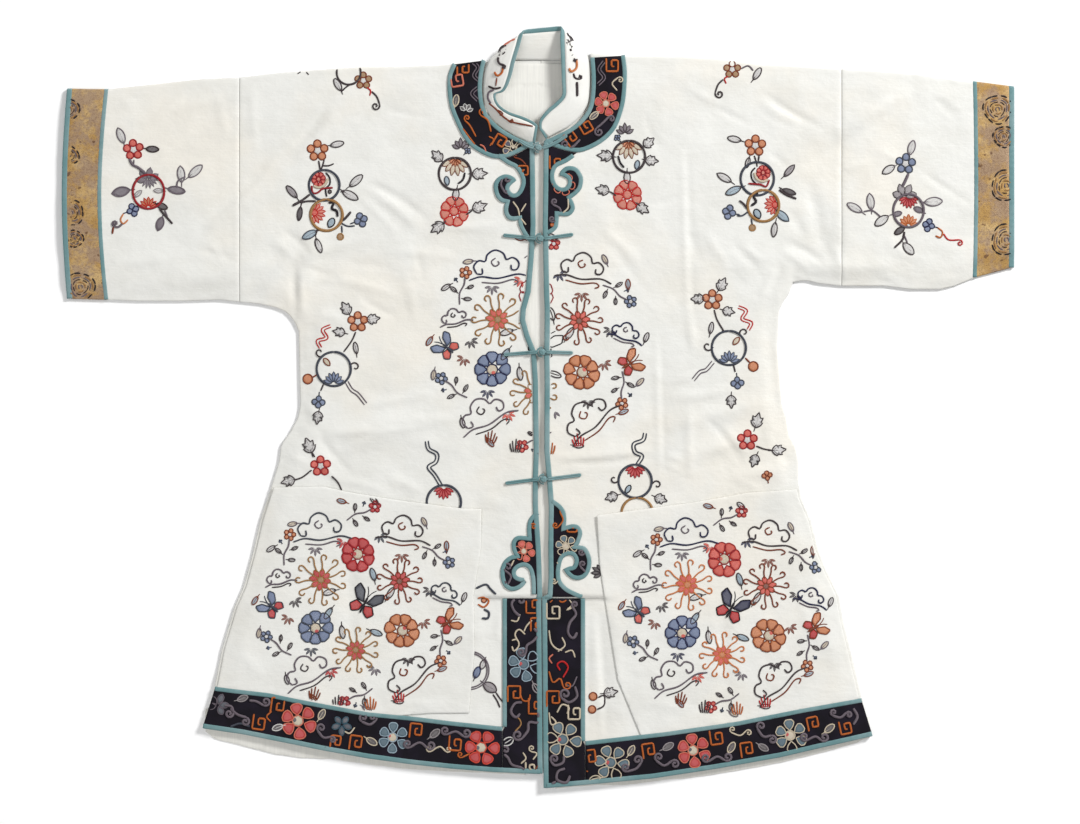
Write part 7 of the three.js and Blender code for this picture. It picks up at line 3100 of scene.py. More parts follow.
# A cloud's threads: their places in shares of its size, whether they have its first colour, and their width
CLOUD_THREADS = (
    (
        [
            (-0.5, -0.12), (-0.56, 0.06), (-0.42, 0.2), (-0.26, 0.16), (-0.2, 0.32), (0.0, 0.42), (0.2, 0.32),
            (0.26, 0.16), (0.42, 0.2), (0.56, 0.06), (0.5, -0.1), (0.36, -0.1), (0.36, 0.02),
        ],
        True, 1.6,
    ),
    ([(-0.5, -0.12), (-0.36, -0.14), (-0.36, 0.0)], True, 1.6),
    ([(0.0, 0.22), (-0.12, 0.14), (-0.04, 0.02), (0.08, 0.08), (0.04, 0.14)], False, 1.4),
    ([(-0.7, -0.26), (-0.4, -0.2), (0.0, -0.28), (0.5, -0.22), (0.8, -0.32)], True, 1.6),
    ([(-0.4, -0.34), (0.0, -0.4), (0.36, -0.34), (0.5, -0.42), (0.38, -0.48)], False, 1.4),
)


@dataclass(frozen=True)
class Cloud(Motif):
    """A cloud scroll: curled lobes over a long double tail."""

    size: float = 30.0
    dye: Dye = Dye.CHARCOAL
    second: Dye = Dye.LILAC

    def work(self, on: Needlework) -> None:
        """Works the lobes and the tails.

        Args:
            on: the needlework that takes the stitches.
        """
        across = replace(self, turn=self.turn - 90)
        for places, outer, width in CLOUD_THREADS:
            on.cord(across.at(places), self.dye if outer else self.second, width)


@dataclass(frozen=True)
class Butterfly(Motif):
    """A butterfly seen from above."""

    size: float = 14.0
    wing: Dye = Dye.NAVY
    second: Dye = Dye.RED
    rim: Dye = Dye.INK

    def work(self, on: Needlework) -> None:
        """Works the wings, the body and the feelers.

        Args:
            on: the needlework that takes the stitches.
        """
        upper = [(0.1, 0.08), (0.7, 0.3), (0.95, 0.72), (0.55, 0.86), (0.12, 0.5)]
        lower = [(-0.05, 0.08), (0.06, 0.46), (-0.3, 0.72), (-0.62, 0.48), (-0.4, 0.12)]
        for hand in (-1, 1):
            on.pad(self.at([(x, y * hand) for x, y in upper]), self.wing, self.rim, 1.2, 50 * hand)
            on.pad(self.at([(x, y * hand) for x, y in lower]), self.second, self.rim, 1.2, 20 * hand)
            on.cord(self.at([(0.4, 0), (0.72, 0.1 * hand), (0.95, 0.26 * hand)]), self.rim, 0.9)
        on.cord(self.at([(-0.5, 0), (0.4, 0)]), self.rim, 2.2)


@dataclass(frozen=True)
class Tuft(Motif):
    """Blades of grass that rise from one place."""

    size: float = 16.0
    dye: Dye = Dye.CHARCOAL
    blades: int = 5
    spread: float = 70.0

    def work(self, on: Needlework) -> None:
        """Works the blades.

        Args:
            on: the needlework that takes the stitches.
        """
        for k in range(self.blades):
            share = k / max(1, self.blades - 1) - 0.5
            a = math.radians(self.spread) * share
            reach = 1 - abs(share) * 0.5
            tip = (math.cos(a) * reach, math.sin(a) * reach)
            on.cord(
                self.at([(0, share * 0.5), (tip[0] * 0.5, tip[1] * 0.4 + share * 0.4), tip]), self.dye, 1.4
            )


@dataclass(frozen=True)
class Sprig(Motif):
    """A stem with a flower, a bud and three leaves, which fills a gap of a roundel."""

    size: float = 24.0
    petal: Dye = Dye.CORAL
    rim: Dye = Dye.RUST
    leaf: Dye = Dye.CHARCOAL

    def work(self, on: Needlework) -> None:
        """Works the stem and what grows on it.

        Args:
            on: the needlework that takes the stitches.
        """
        on.cord(self.at([(-0.95, -0.12), (-0.4, 0.06), (0.1, -0.02), (0.5, 0.06)]), Dye.LILAC, 1.5)
        spots = self.at([(0.72, 0.1), (-0.3, 0.42), (-0.55, -0.42), (0.1, -0.38), (0.2, 0.44)])
        Blossom(*spots[0], self.size * 0.34, self.turn, self.petal, self.rim).work(on)
        Leaf(*spots[1], self.size * 0.44, self.turn + 70, 0.42, self.leaf).work(on)
        Leaf(*spots[2], self.size * 0.44, self.turn - 75, 0.42, self.leaf).work(on)
        Leaf(*spots[3], self.size * 0.40, self.turn - 50, 0.42, self.leaf).work(on)
        Bud(*spots[4], self.size * 0.16, self.turn + 55).work(on)


# How far from a roundel's middle its kinds of motifs lie, in shares of its radius
HEART_LEAF_RING = 0.30
CHRYSANTHEMUM_RING = 0.42
PEONY_RING = 0.46
FAN_RINGS = (0.66, 0.60)
CLOUD_RING = 0.78
SPRIG_RING = 0.84
RIM_LEAF_RING = 0.96
TUFT_RING = 0.97


@dataclass(frozen=True)
class Roundel:
    """A round medallion: chrysanthemums and peonies among clouds, sprigs, butterflies, fans and leaves."""

    x: float
    y: float
    radius: float = 110.0
    main: Dye = Dye.OCHRE
    accent: Dye = Dye.CORAL
    deep: Dye = Dye.NAVY

    def spot(self, share: float, angle: float) -> tuple[float, float]:
        """A place in the medallion, by its share of the radius and an angle in degrees."""
        a = math.radians(angle)
        return self.x + self.radius * share * math.cos(a), self.y - self.radius * share * math.sin(a)

    def work(self, on: Needlework) -> None:
        """Works the medallion from its middle outwards.

        Args:
            on: the needlework that takes the stitches.
        """
        r = self.radius
        for angle, size, turn, dye in (
            (148, 0.30, 148, self.main), (30, 0.27, 35, Dye.RUST), (265, 0.27, 280, self.main)
        ):
            place = self.spot(CHRYSANTHEMUM_RING, angle)
            Chrysanthemum(*place, r * size * 0.78, turn, dye, self.accent, 11).work(on)
        for angle, petal, rim in (
            (92, self.accent, Dye.CRIMSON), (208, Dye.BLUE, self.deep), (328, Dye.APRICOT, Dye.RUST)
        ):
            place = self.spot(PEONY_RING, angle)
            Peony(*place, r * 0.15, angle, petal, rim, Dye.CREAM, self.accent, 8, True).work(on)
        for share, angle, size, turn, wing, second, rim in (
            (0.04, 0, 0.17, 62, self.deep, Dye.RED, Dye.INK),
            (0.80, 182, 0.13, 140, Dye.BLUE, self.accent, Dye.SLATE),
            (0.82, 348, 0.13, 30, Dye.APRICOT, Dye.RED, Dye.RUST),
        ):
            Butterfly(*self.spot(share, angle), r * size, turn, wing, second, rim).work(on)
        pairs = ((Dye.CHARCOAL, Dye.RUST), (self.deep, Dye.LILAC), (Dye.LILAC, Dye.CHARCOAL))
        clouds = ((60, 0.34), (118, 0.36), (232, 0.36), (304, 0.38), (8, 0.22), (162, 0.20))
        for k, (angle, size) in enumerate(clouds):
            Cloud(*self.spot(CLOUD_RING, angle), r * size, 90 + (angle - 90) * 0.2, *pairs[k % 3]).work(on)
        pairs = ((self.accent, Dye.CRIMSON), (Dye.APRICOT, Dye.RUST), (Dye.BLUE, Dye.SLATE))
        for k, angle in enumerate((88, 142, 206, 268, 332, 32)):
            Sprig(*self.spot(SPRIG_RING, angle), r * 0.17, angle - 70, *pairs[k % 3]).work(on)
        for k, angle in enumerate((12, 50, 74, 104, 128, 176, 190, 222, 246, 284, 312, 345)):
            dye = (Dye.CHARCOAL, Dye.RUST, self.deep, self.accent, Dye.LILAC)[k % 5]
            turn = 270 + (k % 3 - 1) * 30
            Fan(*self.spot(FAN_RINGS[k % 2], angle), r * 0.085, turn, dye, None, 5, 150.0, 0.1, 0.6).work(on)
        pairs = ((Dye.CHARCOAL, Dye.SMOKE), (Dye.RUST, Dye.ICE), (Dye.LILAC, Dye.CREAM))
        for k, angle in enumerate(range(4, 364, 24)):
            place = self.spot(RIM_LEAF_RING, angle + 6 * (k % 2))
            rim, leaf = pairs[k % 3]
            Leaf(*place, r * 0.10, angle + 65, 0.42, rim, leaf, rim).work(on)
        for angle, dye in ((244, Dye.RUST), (258, Dye.CHARCOAL), (276, Dye.ORANGE), (292, Dye.RED)):
            Tuft(*self.spot(TUFT_RING, angle), r * 0.12, 90 + (angle - 270) * 0.4, dye).work(on)
        for k, angle in enumerate((20, 66, 158, 196, 238, 300)):
            place = self.spot(HEART_LEAF_RING, angle)
            Leaf(*place, r * 0.13, angle + 40, 0.40, Dye.CHARCOAL, (Dye.SMOKE, Dye.ICE)[k % 2]).work(on)


@dataclass(frozen=True)
class CuffMedallion(Motif):
    """A woven medallion of the brocade: broken rings, dark outside and gilt and grey within."""

    def work(self, on: Needlework) -> None:
        """Works the rings from the outline inwards.

        Args:
            on: the needlework that takes the stitches.
        """
        rings = ((1.0, Dye.INK, 10, 1.5), (0.84, Dye.OCHRE, 7, 1.5), (0.68, Dye.LILAC, 6, 1.2))
        rings += ((0.52, Dye.BROWN, 7, 1.1), (0.34, Dye.OCHRE, 4, 1.4), (0.16, Dye.LILAC, 2, 1.2))
        for reach, dye, pieces, width in rings:
            for k in range(pieces):
                t = np.linspace(0, 1, 4)
                a = 2 * math.pi * (k + 0.12 * (k % 3) + 0.70 * t) / pieces + 3 * reach
                far = reach * (0.94 + 0.06 * np.sin(3 * a + self.x))
                on.cord(self.at(np.column_stack([far * np.cos(a), far * np.sin(a)])), dye, width)


def lobed_leaf(x: float, y: float, size: float, turn: float) -> Leaf:
    """A three-pointed leaf of the body's sprays."""
    return Leaf(x, y, size, turn, 0.62, lobed=True)


def pale_leaf(x: float, y: float, size: float, turn: float, rim: Dye, width: float = 0.44) -> Leaf:
    """A pearl leaf whose vein has its outline's colour."""
    return Leaf(x, y, size, turn, width, rim, Dye.PEARL, rim)


def dark_leaf(x: float, y: float, size: float, turn: float, rim: Dye, width: float = 0.5) -> Leaf:
    """A charcoal leaf whose vein has its outline's colour."""
    return Leaf(x, y, size, turn, width, rim, Dye.CHARCOAL, rim)


def ribbon(places: list[tuple[float, float]], curls: tuple[float, float] = (0.0, 0.0)) -> Line:
    """A broad lilac scroll of the bands and sleeves."""
    return Line(places, Dye.LILAC, 2.7, 0.0, curls)


# The motifs of each region, in pixels of the photo
RIGHT_SLEEVE = [
    Blossom(134, 150, 10.5, 95), pale_leaf(121.5, 136, 17, 112, Dye.LILAC),
    Leaf(153, 149.5, 14, -4, 0.44, Dye.BROWN, Dye.CHARCOAL, None),
    ribbon([(130, 159), (133, 165), (139, 168), (146, 174)]), Line([(134.5, 160), (134, 166)], Dye.LILAC),
    Fan(148.5, 182, 16, 102, Dye.LILAC, None, 4, 130, 0.1), Ring(149, 192, 17, 90, Dye.CRIMSON, 0.92, 2.3),
    Fan(149, 177, 13, 268, Dye.LILAC, None, 8, 140), Fan(149, 208, 11.5, 90, Dye.ORANGE, Dye.RED, 7, 150),
    pale_leaf(159, 191, 10, 178, Dye.ASH), pale_leaf(138.5, 194, 10, 40, Dye.ASH),
    Leaf(121.5, 192, 19, 192, 0.5, Dye.LILAC, Dye.LILAC, None),
    Leaf(177, 190.5, 19, -10, 0.4, Dye.LILAC, Dye.LILAC, None), pale_leaf(181.5, 174.5, 17, 96, Dye.LILAC),
    pale_leaf(196, 171.5, 19, 42, Dye.LILAC, 0.40),
    Line([(177, 188), (178.5, 181), (186, 177)], Dye.LILAC), Bud(131.5, 211, 9, 20, Dye.BLUE, Dye.NAVY),
    Line([(124, 214), (121, 220), (124, 224), (128.5, 220)], Dye.APRICOT),
    Line([(123, 224), (119, 227.5), (115, 227)], Dye.LILAC, 2.3, 0, (0, 3)),
    Line([(114, 227), (113, 234)], Dye.RUST, 1.9),
    Leaf(162.5, 206.5, 13, -22, 0.46, Dye.BROWN, Dye.CHARCOAL, None),
    Line([(160, 209), (165, 215), (173, 224)], Dye.CHARCOAL, 2.2),
    Line([(165, 210), (168, 217)], Dye.LILAC), Leaf(160.5, 224, 15, 252, 0.5, Dye.LILAC, Dye.LILAC, None),
]
LEFT_SLEEVE = [
    Blossom(905, 164, 10.5, 85, Dye.BLUE, Dye.SLATE), pale_leaf(911, 148, 16, 74, Dye.LILAC),
    Leaf(888, 170, 15, 212, 0.48, Dye.CHARCOAL, Dye.PEARL, Dye.ASH),
    ribbon([(908, 174), (905, 181), (902, 187)]),
    Fan(904, 198, 15.5, 88, Dye.ASH, Dye.CHARCOAL, 4, 140, 0.1),
    Ring(908, 211, 16.5, 90, Dye.LILAC, 0.92, 2.3), Fan(908, 197, 12.5, 272, Dye.RED, Dye.CRIMSON, 8, 140),
    Fan(908, 226, 12, 90, Dye.APRICOT, Dye.ORANGE, 7, 150),
    Leaf(897, 214, 10, 12, 0.5, Dye.LILAC, Dye.LILAC, None),
    Leaf(918, 210, 11, 155, 0.5, Dye.LILAC, Dye.LILAC, None), pale_leaf(933, 202, 19, 4, Dye.LILAC, 0.46),
    Leaf(881, 221, 17, 215, 0.48, Dye.CHARCOAL, Dye.PEARL, Dye.ASH),
    pale_leaf(870, 202, 17, 98, Dye.LILAC), pale_leaf(854, 208, 18, 150, Dye.LILAC, 0.40),
    Line([(880, 217), (872, 211), (863, 212)], Dye.LILAC), Bud(930, 226, 9, 165, Dye.BLUE, Dye.NAVY),
    Line([(937, 228), (942, 232), (940, 238), (935, 236)], Dye.ORANGE),
    Line([(943, 234), (948, 240), (959, 240)], Dye.RED, 1.6, 0, (0, 3)),
    Leaf(899, 231, 13, 215, 0.46, Dye.BROWN, Dye.CHARCOAL, None),
    Line([(904, 232), (902, 240), (894, 248)], Dye.CHARCOAL, 2.2),
    Leaf(908, 249, 16, 312, 0.5, Dye.CHARCOAL, Dye.PEARL, Dye.ASH),
    Line([(904, 236), (907, 243)], Dye.LILAC),
]
RIGHT_CHEST = [
    Blossom(318, 151, 11, 92, Dye.APRICOT, Dye.RUST, Dye.PEARL, Dye.INK), Leaf(337.5, 144.5, 15, 12),
    Line([(319, 161), (320, 167), (321, 171)]), Line([(324.5, 160), (323, 166), (321, 171)]),
    Line([(323, 166), (329, 166), (334, 164)]), Ring(324.5, 185.5, 15.2, 90, Dye.SLATE, 1.0, 2.3),
    Peony(319, 179.5, 7, 90, Dye.CORAL, Dye.CRIMSON, Dye.SALMON, Dye.CRIMSON, 8, True),
    Line([(314, 186), (319, 188), (325, 185), (328, 179)], Dye.CREAM, 2.6),
    Line([(326, 173), (330, 178), (330, 185), (326, 189), (327, 197)], Dye.INK, 1.7),
    Line([(312, 186), (313, 193), (318, 193), (323, 189), (333, 188)], Dye.CRIMSON, 1.9),
    Berry(330, 192, 2, Dye.BROWN, Dye.BROWN), Ring(326.8, 215.4, 15.6, 90, Dye.OCHRE, 1.02, 2.7),
    Fan(313.5, 213, 13.5, -4, Dye.SALMON, Dye.RED, 8, 160, 0.25, 0.85, Dye.CORAL),
    Line([(329, 203), (334, 203), (332, 209), (337, 211), (338, 217)], Dye.INK, 2.4),
    Leaf(331.5, 223, 11, 62, 0.62, Dye.INK, Dye.ICE, None, 0),
    Line([(310, 195), (302, 201), (293, 206)], Dye.CHARCOAL, 2.4),
    Line([(316, 201.5), (308, 201.5), (301, 203)], Dye.CHARCOAL, 1.9),
    Leaf(292, 192, 17, 132, 0.36, Dye.CHARCOAL, Dye.ASH),
    Leaf(300, 214, 15, 262, 0.34, Dye.CHARCOAL, Dye.CHARCOAL, None), Leaf(356.5, 181, 18, 42),
    Leaf(350.5, 195.5, 19, -28, 0.4, Dye.CHARCOAL, Dye.SMOKE), Line([(341, 192), (345, 192)]),
    Bud(359, 221, 10, 20, Dye.BLUE, Dye.SLATE), Line([(341, 223), (348, 226.5), (355, 226)], Dye.SLATE),
    Line([(343, 221), (347, 217), (351, 212)], Dye.CHARCOAL, 2.4),
    Line([(342, 226), (342.5, 233)], Dye.SLATE), Berry(340.6, 237, 3.4, Dye.OCHRE, Dye.OCHRE),
    Leaf(310, 235, 17, 207, 0.44, Dye.SLATE, Dye.ICE), Leaf(319, 246, 16, 290, 0.36),
    Line([(318, 229), (316, 236)], Dye.CHARCOAL),
]
LEFT_CHEST = [
    Blossom(755, 146, 11, 88, Dye.APRICOT, Dye.RUST, Dye.PEARL, Dye.INK), Leaf(734, 139.5, 15, 168),
    Leaf(747.5, 163, 12, 255, 0.36), Line([(754, 156), (756, 162), (757, 167)]),
    Line([(759, 155), (758, 162)]), Ring(757, 179, 16.6, 90, Dye.SLATE, 1.0, 2.3),
    Peony(763, 173, 7, 90, Dye.CORAL, Dye.CRIMSON, Dye.SALMON, Dye.CRIMSON, 8, True),
    Line([(768, 180), (762, 182), (756, 179), (754, 173)], Dye.CREAM, 2.6),
    Line([(755, 168), (751, 173), (752, 180), (756, 184)], Dye.INK, 1.7),
    Line([(769, 180), (766, 187), (760, 185), (748, 184)], Dye.CRIMSON, 1.9),
    Ring(763, 206, 15.6, 90, Dye.OCHRE, 1.0, 2.7),
    Fan(776, 205, 13, 184, Dye.SALMON, Dye.RED, 8, 160, 0.25, 0.85, Dye.CORAL),
    Line([(758, 194), (753, 196), (756, 202), (751, 206)], Dye.INK, 2.4),
    Leaf(757, 214, 11, 118, 0.62, Dye.INK, Dye.ICE, None, 0), Leaf(724, 178, 17, 150),
    Leaf(733, 191, 18, 205, 0.4, Dye.CHARCOAL, Dye.ICE),
    Line([(779, 190), (786, 195), (796, 199)], Dye.CHARCOAL, 2.4),
    Leaf(789, 171, 16, 48, 0.36, Dye.CHARCOAL, Dye.ASH),
    Leaf(789, 192, 15, -20, 0.34, Dye.CHARCOAL, Dye.CHARCOAL, None),
    Leaf(782, 216, 17, -40, 0.44, Dye.SLATE, Dye.ICE), Leaf(774, 230, 16, 262, 0.36),
    Bud(731, 213, 10, 165, Dye.BLUE, Dye.SLATE), Line([(748, 212), (742, 216), (737, 216)], Dye.SLATE),
    Line([(747, 209), (743, 204), (739, 201)], Dye.CHARCOAL, 2.2),
    Berry(752, 228, 3.4, Dye.OCHRE, Dye.OCHRE), Line([(751, 219), (752, 225)], Dye.SLATE),
]
RIGHT_SHOULDER = [
    Leaf(338, 85, 15, 120), Ring(349, 73, 12, 90, Dye.CHARCOAL, 1.0, 1.9),
    Blossom(363.5, 81, 9, 90, Dye.OCHRE, Dye.RUST), Line([(367, 88), (371, 91), (370, 96)], Dye.RED),
    Line([(372, 92), (377, 97), (380, 105)], Dye.CHARCOAL, 1.8, 0, (0, 4)),
    Line([(298, 74), (304, 71), (309, 75)]), Line([(352, 84), (346, 88), (342, 92)]),
]
LEFT_SHOULDER = [
    Blossom(732, 70, 9, 90, Dye.OCHRE, Dye.RUST), Line([(728, 77), (724, 79), (726, 84)], Dye.RED),
    Leaf(757, 74, 15, 58), Line([(723, 80), (718, 85), (715, 93)], Dye.CHARCOAL, 1.8, 0, (0, -4)),
    Line([(741, 69), (748, 66), (753, 71)], Dye.LILAC),
]
RIGHT_UPPER = [
    Ring(455, 174, 16, 90, Dye.CHARCOAL, 1.0, 2.2),
    Fan(455.5, 158.5, 19, 268, Dye.CREAM, Dye.RUST, 6, 112, 0.3, 0.9),
    Fan(455.5, 158.5, 11, 268, Dye.APRICOT, Dye.RUST, 5, 100, 0.1, 0.9),
    Leaf(447, 181, 10, 100, 0.5, Dye.SLATE, Dye.ICE, None, 0),
    Line([(458, 184), (463, 180), (465, 173)], Dye.INK, 2.0),
    Fan(461, 150, 12, 92, Dye.LILAC, Dye.CHARCOAL, 5, 120), lobed_leaf(437, 156, 15, 135),
    lobed_leaf(480, 174, 16, 4), Leaf(456, 195, 13, 262, 0.5), Bud(467, 152, 5, 45),
    Peony(454.5, 211.4, 14, 90, Dye.SALMON, Dye.RED, Dye.SALMON, Dye.CORAL, 8, True),
    lobed_leaf(480, 207, 16, 22), lobed_leaf(437.5, 228, 16, 215),
    Line([(466, 215), (472, 211)], Dye.CHARCOAL), Line([(446, 221), (442, 225)]),
]
LEFT_UPPER = [
    Ring(629, 157, 16, 90, Dye.CHARCOAL, 1.0, 2.2),
    Fan(628.5, 141.5, 19, 270, Dye.CREAM, Dye.RUST, 6, 112, 0.3, 0.9),
    Fan(628.5, 141.5, 11, 270, Dye.APRICOT, Dye.RUST, 5, 100, 0.1, 0.9),
    Leaf(637, 165, 10, 80, 0.5, Dye.SLATE, Dye.ICE, None, 0),
    Line([(624, 168), (620, 163), (618, 156)], Dye.INK, 2.0),
    Fan(625, 135, 12, 92, Dye.LILAC, Dye.CHARCOAL, 5, 120), lobed_leaf(649, 142.5, 14, 40),
    lobed_leaf(604.5, 156, 16, 176), lobed_leaf(652, 161, 14, -6), Leaf(627, 178, 13, 272, 0.5),
    Bud(618, 139, 5, 130), Peony(627.5, 195, 14, 90, Dye.SALMON, Dye.RED, Dye.SALMON, Dye.CORAL, 8, True),
    lobed_leaf(602, 190, 15, 165), lobed_leaf(643, 209, 15, -35), Line([(616, 196), (610, 192)]),
    Line([(636, 203), (640, 206)]),
]
RIGHT_SIDE = [
    Blossom(358, 322, 10.5, 90, Dye.APRICOT, Dye.RUST, Dye.PEARL, Dye.INK), lobed_leaf(346, 308, 15, 122),
    lobed_leaf(374, 319, 14, 8), lobed_leaf(339, 332, 13, 170), Leaf(356, 348, 13, 100, 0.36),
    Line([(356, 332), (352, 341), (344, 352)]),
    Line([(331, 326), (323, 330), (327, 338), (318, 341), (321, 348)], Dye.RED, 1.6, 2.6),
    Ring(334, 369, 17, 90, Dye.SLATE, 1.0, 2.2), Fan(334, 384, 13, 90, Dye.BLUE, Dye.SLATE, 7, 140),
    Leaf(327, 362, 10, 130, 0.5, Dye.RUST, Dye.CREAM, None, 0), Curl(325, 355, 11, 150, Dye.CHARCOAL),
    Curl(350, 368, 11, 10, Dye.CHARCOAL), Berry(308, 379, 5), Line([(317, 375), (312, 378)], Dye.RUST),
    Bud(319, 400, 9, 265), Line([(324, 384), (321, 391)]), lobed_leaf(318, 418, 14, 262),
    Line([(347, 382), (352, 390), (358, 394), (366, 404)], Dye.LILAC, 1.6, 3.0),
]
LEFT_SIDE = [
    Blossom(712, 300, 10.5, 90, Dye.APRICOT, Dye.RUST, Dye.PEARL, Dye.INK), lobed_leaf(722, 284, 15, 62),
    lobed_leaf(697, 299, 14, 180), lobed_leaf(728.6, 311.5, 13, -12), Leaf(711, 328, 13, 80, 0.36),
    Line([(714, 310), (717, 320), (724, 332)]),
    Line([(738, 307), (746, 311), (742, 319), (751, 323), (748, 330)], Dye.RED, 1.6, 2.6),
    Ring(728.6, 348, 17, 90, Dye.SLATE, 1.0, 2.2), Fan(729, 363, 13, 90, Dye.BLUE, Dye.SLATE, 7, 140),
    Leaf(736, 341, 10, 50, 0.5, Dye.RUST, Dye.CREAM, None, 0), Curl(713, 347, 11, 170, Dye.CHARCOAL),
    Curl(740, 336, 10, 40, Dye.CHARCOAL), Berry(753, 366.5, 5), Line([(745, 358), (750, 363)], Dye.RUST),
    Bud(737, 381, 9, 275), Line([(733, 364), (735, 372)]), lobed_leaf(731, 402, 14, 272),
    Line([(713, 362), (706, 370), (700, 372), (693, 380)], Dye.LILAC, 1.6, 3.0),
]
RIGHT_LOWER = [
    Blossom(321, 466, 10.5, 92), lobed_leaf(309, 445, 17, 112), lobed_leaf(288, 481, 15, 195),
    Line([(312, 470), (303, 477), (295, 480)]), Line([(315, 457), (312, 452)]),
    Line(
        [(427, 441), (429, 449), (437, 454), (436, 462), (429, 467), (435, 475), (441, 485)], Dye.SLATE,
        1.9, 3.0,
    ),
    Ring(444, 502, 17, 90, Dye.SLATE, 1.0, 2.3), Fan(444, 487, 13, 268, Dye.RED, Dye.CRIMSON, 7, 130),
    Line([(332, 476), (338, 482), (342, 490)], Dye.CHARCOAL),
    Line([(476, 588), (486, 584), (490, 588), (496, 594)], Dye.SLATE, 2.2),
    Line([(478, 598), (484, 597), (489, 601), (484, 607), (478, 604)], Dye.ORANGE, 1.7),
    Berry(484, 600, 2.6, Dye.APRICOT, Dye.RUST),
    Line([(484, 609), (489, 612), (488, 618), (482, 618)], Dye.SLATE, 2.2),
    Ring(470, 670, 17, 90, Dye.LILAC, 1.0, 1.3), Ring(470, 670, 19, 90, Dye.LILAC, 1.0, 1.3),
    Leaf(477, 672, 13, 70, 0.5, Dye.NAVY, Dye.BLUE), Leaf(483, 664, 11, 250, 0.5, Dye.CHARCOAL, Dye.SMOKE),
    Leaf(490, 687, 16, -32, 0.6, Dye.CHARCOAL, Dye.ASH), Line([(496, 692), (500, 698), (505, 704)]),
    Line([(493, 694), (497, 700), (500, 707)]),
]
LEFT_LOWER = [
    Blossom(747, 440, 10.5, 88), lobed_leaf(757, 420, 16, 76), lobed_leaf(754, 461, 14, 250),
    lobed_leaf(779, 450, 15, 6), Bud(767, 477, 7, 100, Dye.APRICOT, Dye.RUST),
    Line([(756, 446), (764, 449), (771, 450)]),
    Line([(645, 433), (643, 440), (634, 444), (635, 452), (642, 456), (637, 465)], Dye.SLATE, 1.9, 3.0),
    Ring(635, 481, 16.5, 90, Dye.SLATE, 1.0, 2.3), Fan(635, 466, 13, 270, Dye.RED, Dye.CRIMSON, 7, 130),
    Curl(619, 478, 10, 190), Curl(652, 484, 10, -10),
    Leaf(628, 489, 10, 60, 0.5, Dye.INK, Dye.ICE, None, 0), Ring(637, 513, 15.5, 90, Dye.OCHRE, 1.0, 2.4),
    lobed_leaf(611, 497, 14, 200), lobed_leaf(661, 499, 14, -20),
    Fan(603, 573, 13, 165, Dye.CHARCOAL, Dye.INK, 4, 80), Berry(593, 696, 4.2), Berry(592, 709, 4),
    lobed_leaf(611, 692, 15, 10), Line([(598, 697), (604, 695), (604, 705), (597, 709)], Dye.CHARCOAL),
]
FRONT_ROUNDEL = [Roundel(538, 345, 113)]
RIGHT_ROUNDEL = [Roundel(360, 604, 109, Dye.OCHRE, Dye.RED, Dye.SLATE)]
LEFT_ROUNDEL = [Roundel(726, 609, 109, Dye.APRICOT, Dye.CORAL, Dye.NAVY)]

RIGHT_FRONT_BAND = [
    Fret(533, 606, 13.6, 0, Dye.ORANGE, -1),
    ribbon([(519, 597), (512, 602), (514, 610), (520, 616)], (3.5, 0)),
    Line([(520, 614), (517, 621), (511, 620)], Dye.CREAM),
    Line([(532, 620), (527, 625), (524, 631)], Dye.CREAM), Fret(536, 623, 10.6, 0, Dye.ORANGE, 1),
    Line([(525, 634), (519, 629), (515, 634), (518, 641)], Dye.CREAM),
    ribbon([(534, 628), (538, 634), (533, 641), (527, 645), (526, 652)], (0, 4)),
    Line([(512, 640), (517, 639), (519, 645), (514, 651), (512, 646)], Dye.CREAM),
    Peony(524, 664, 15.7, 85), dark_leaf(536, 688, 12, 300, Dye.ASH),
    Fret(514, 692, 12.6, 0, Dye.ORANGE, 1),
    Line([(520, 693), (523, 700), (529, 700), (530, 694)], Dye.ORANGE),
    Fret(535, 707, 12.6, 0, Dye.ORANGE, -1),
    ribbon([(522, 702), (515, 703), (511, 711), (516, 717), (520, 713)]),
    Line([(514, 716), (519, 718), (521, 724), (515, 731)], Dye.OCHRE, 1.5),
    ribbon([(538, 712), (538, 722), (529, 722), (528, 730), (522, 738)], (0, 5)),
    Line([(523, 752), (526, 758), (521, 763)], Dye.CREAM),
    Line([(531, 751), (537, 753), (533, 759)], Dye.CREAM, 1.6, 0, (3, 0)),
    Fret(530, 768, 8.6, 0, Dye.CREAM, -1), dark_leaf(508, 741, 13, 30, Dye.PEARL, 0.6),
    ribbon([(503, 753), (508, 757), (512, 764), (522, 767)], (4, 4)),
    Line([(538, 765), (534, 772), (538, 775)], Dye.RUST, 1.2),
]
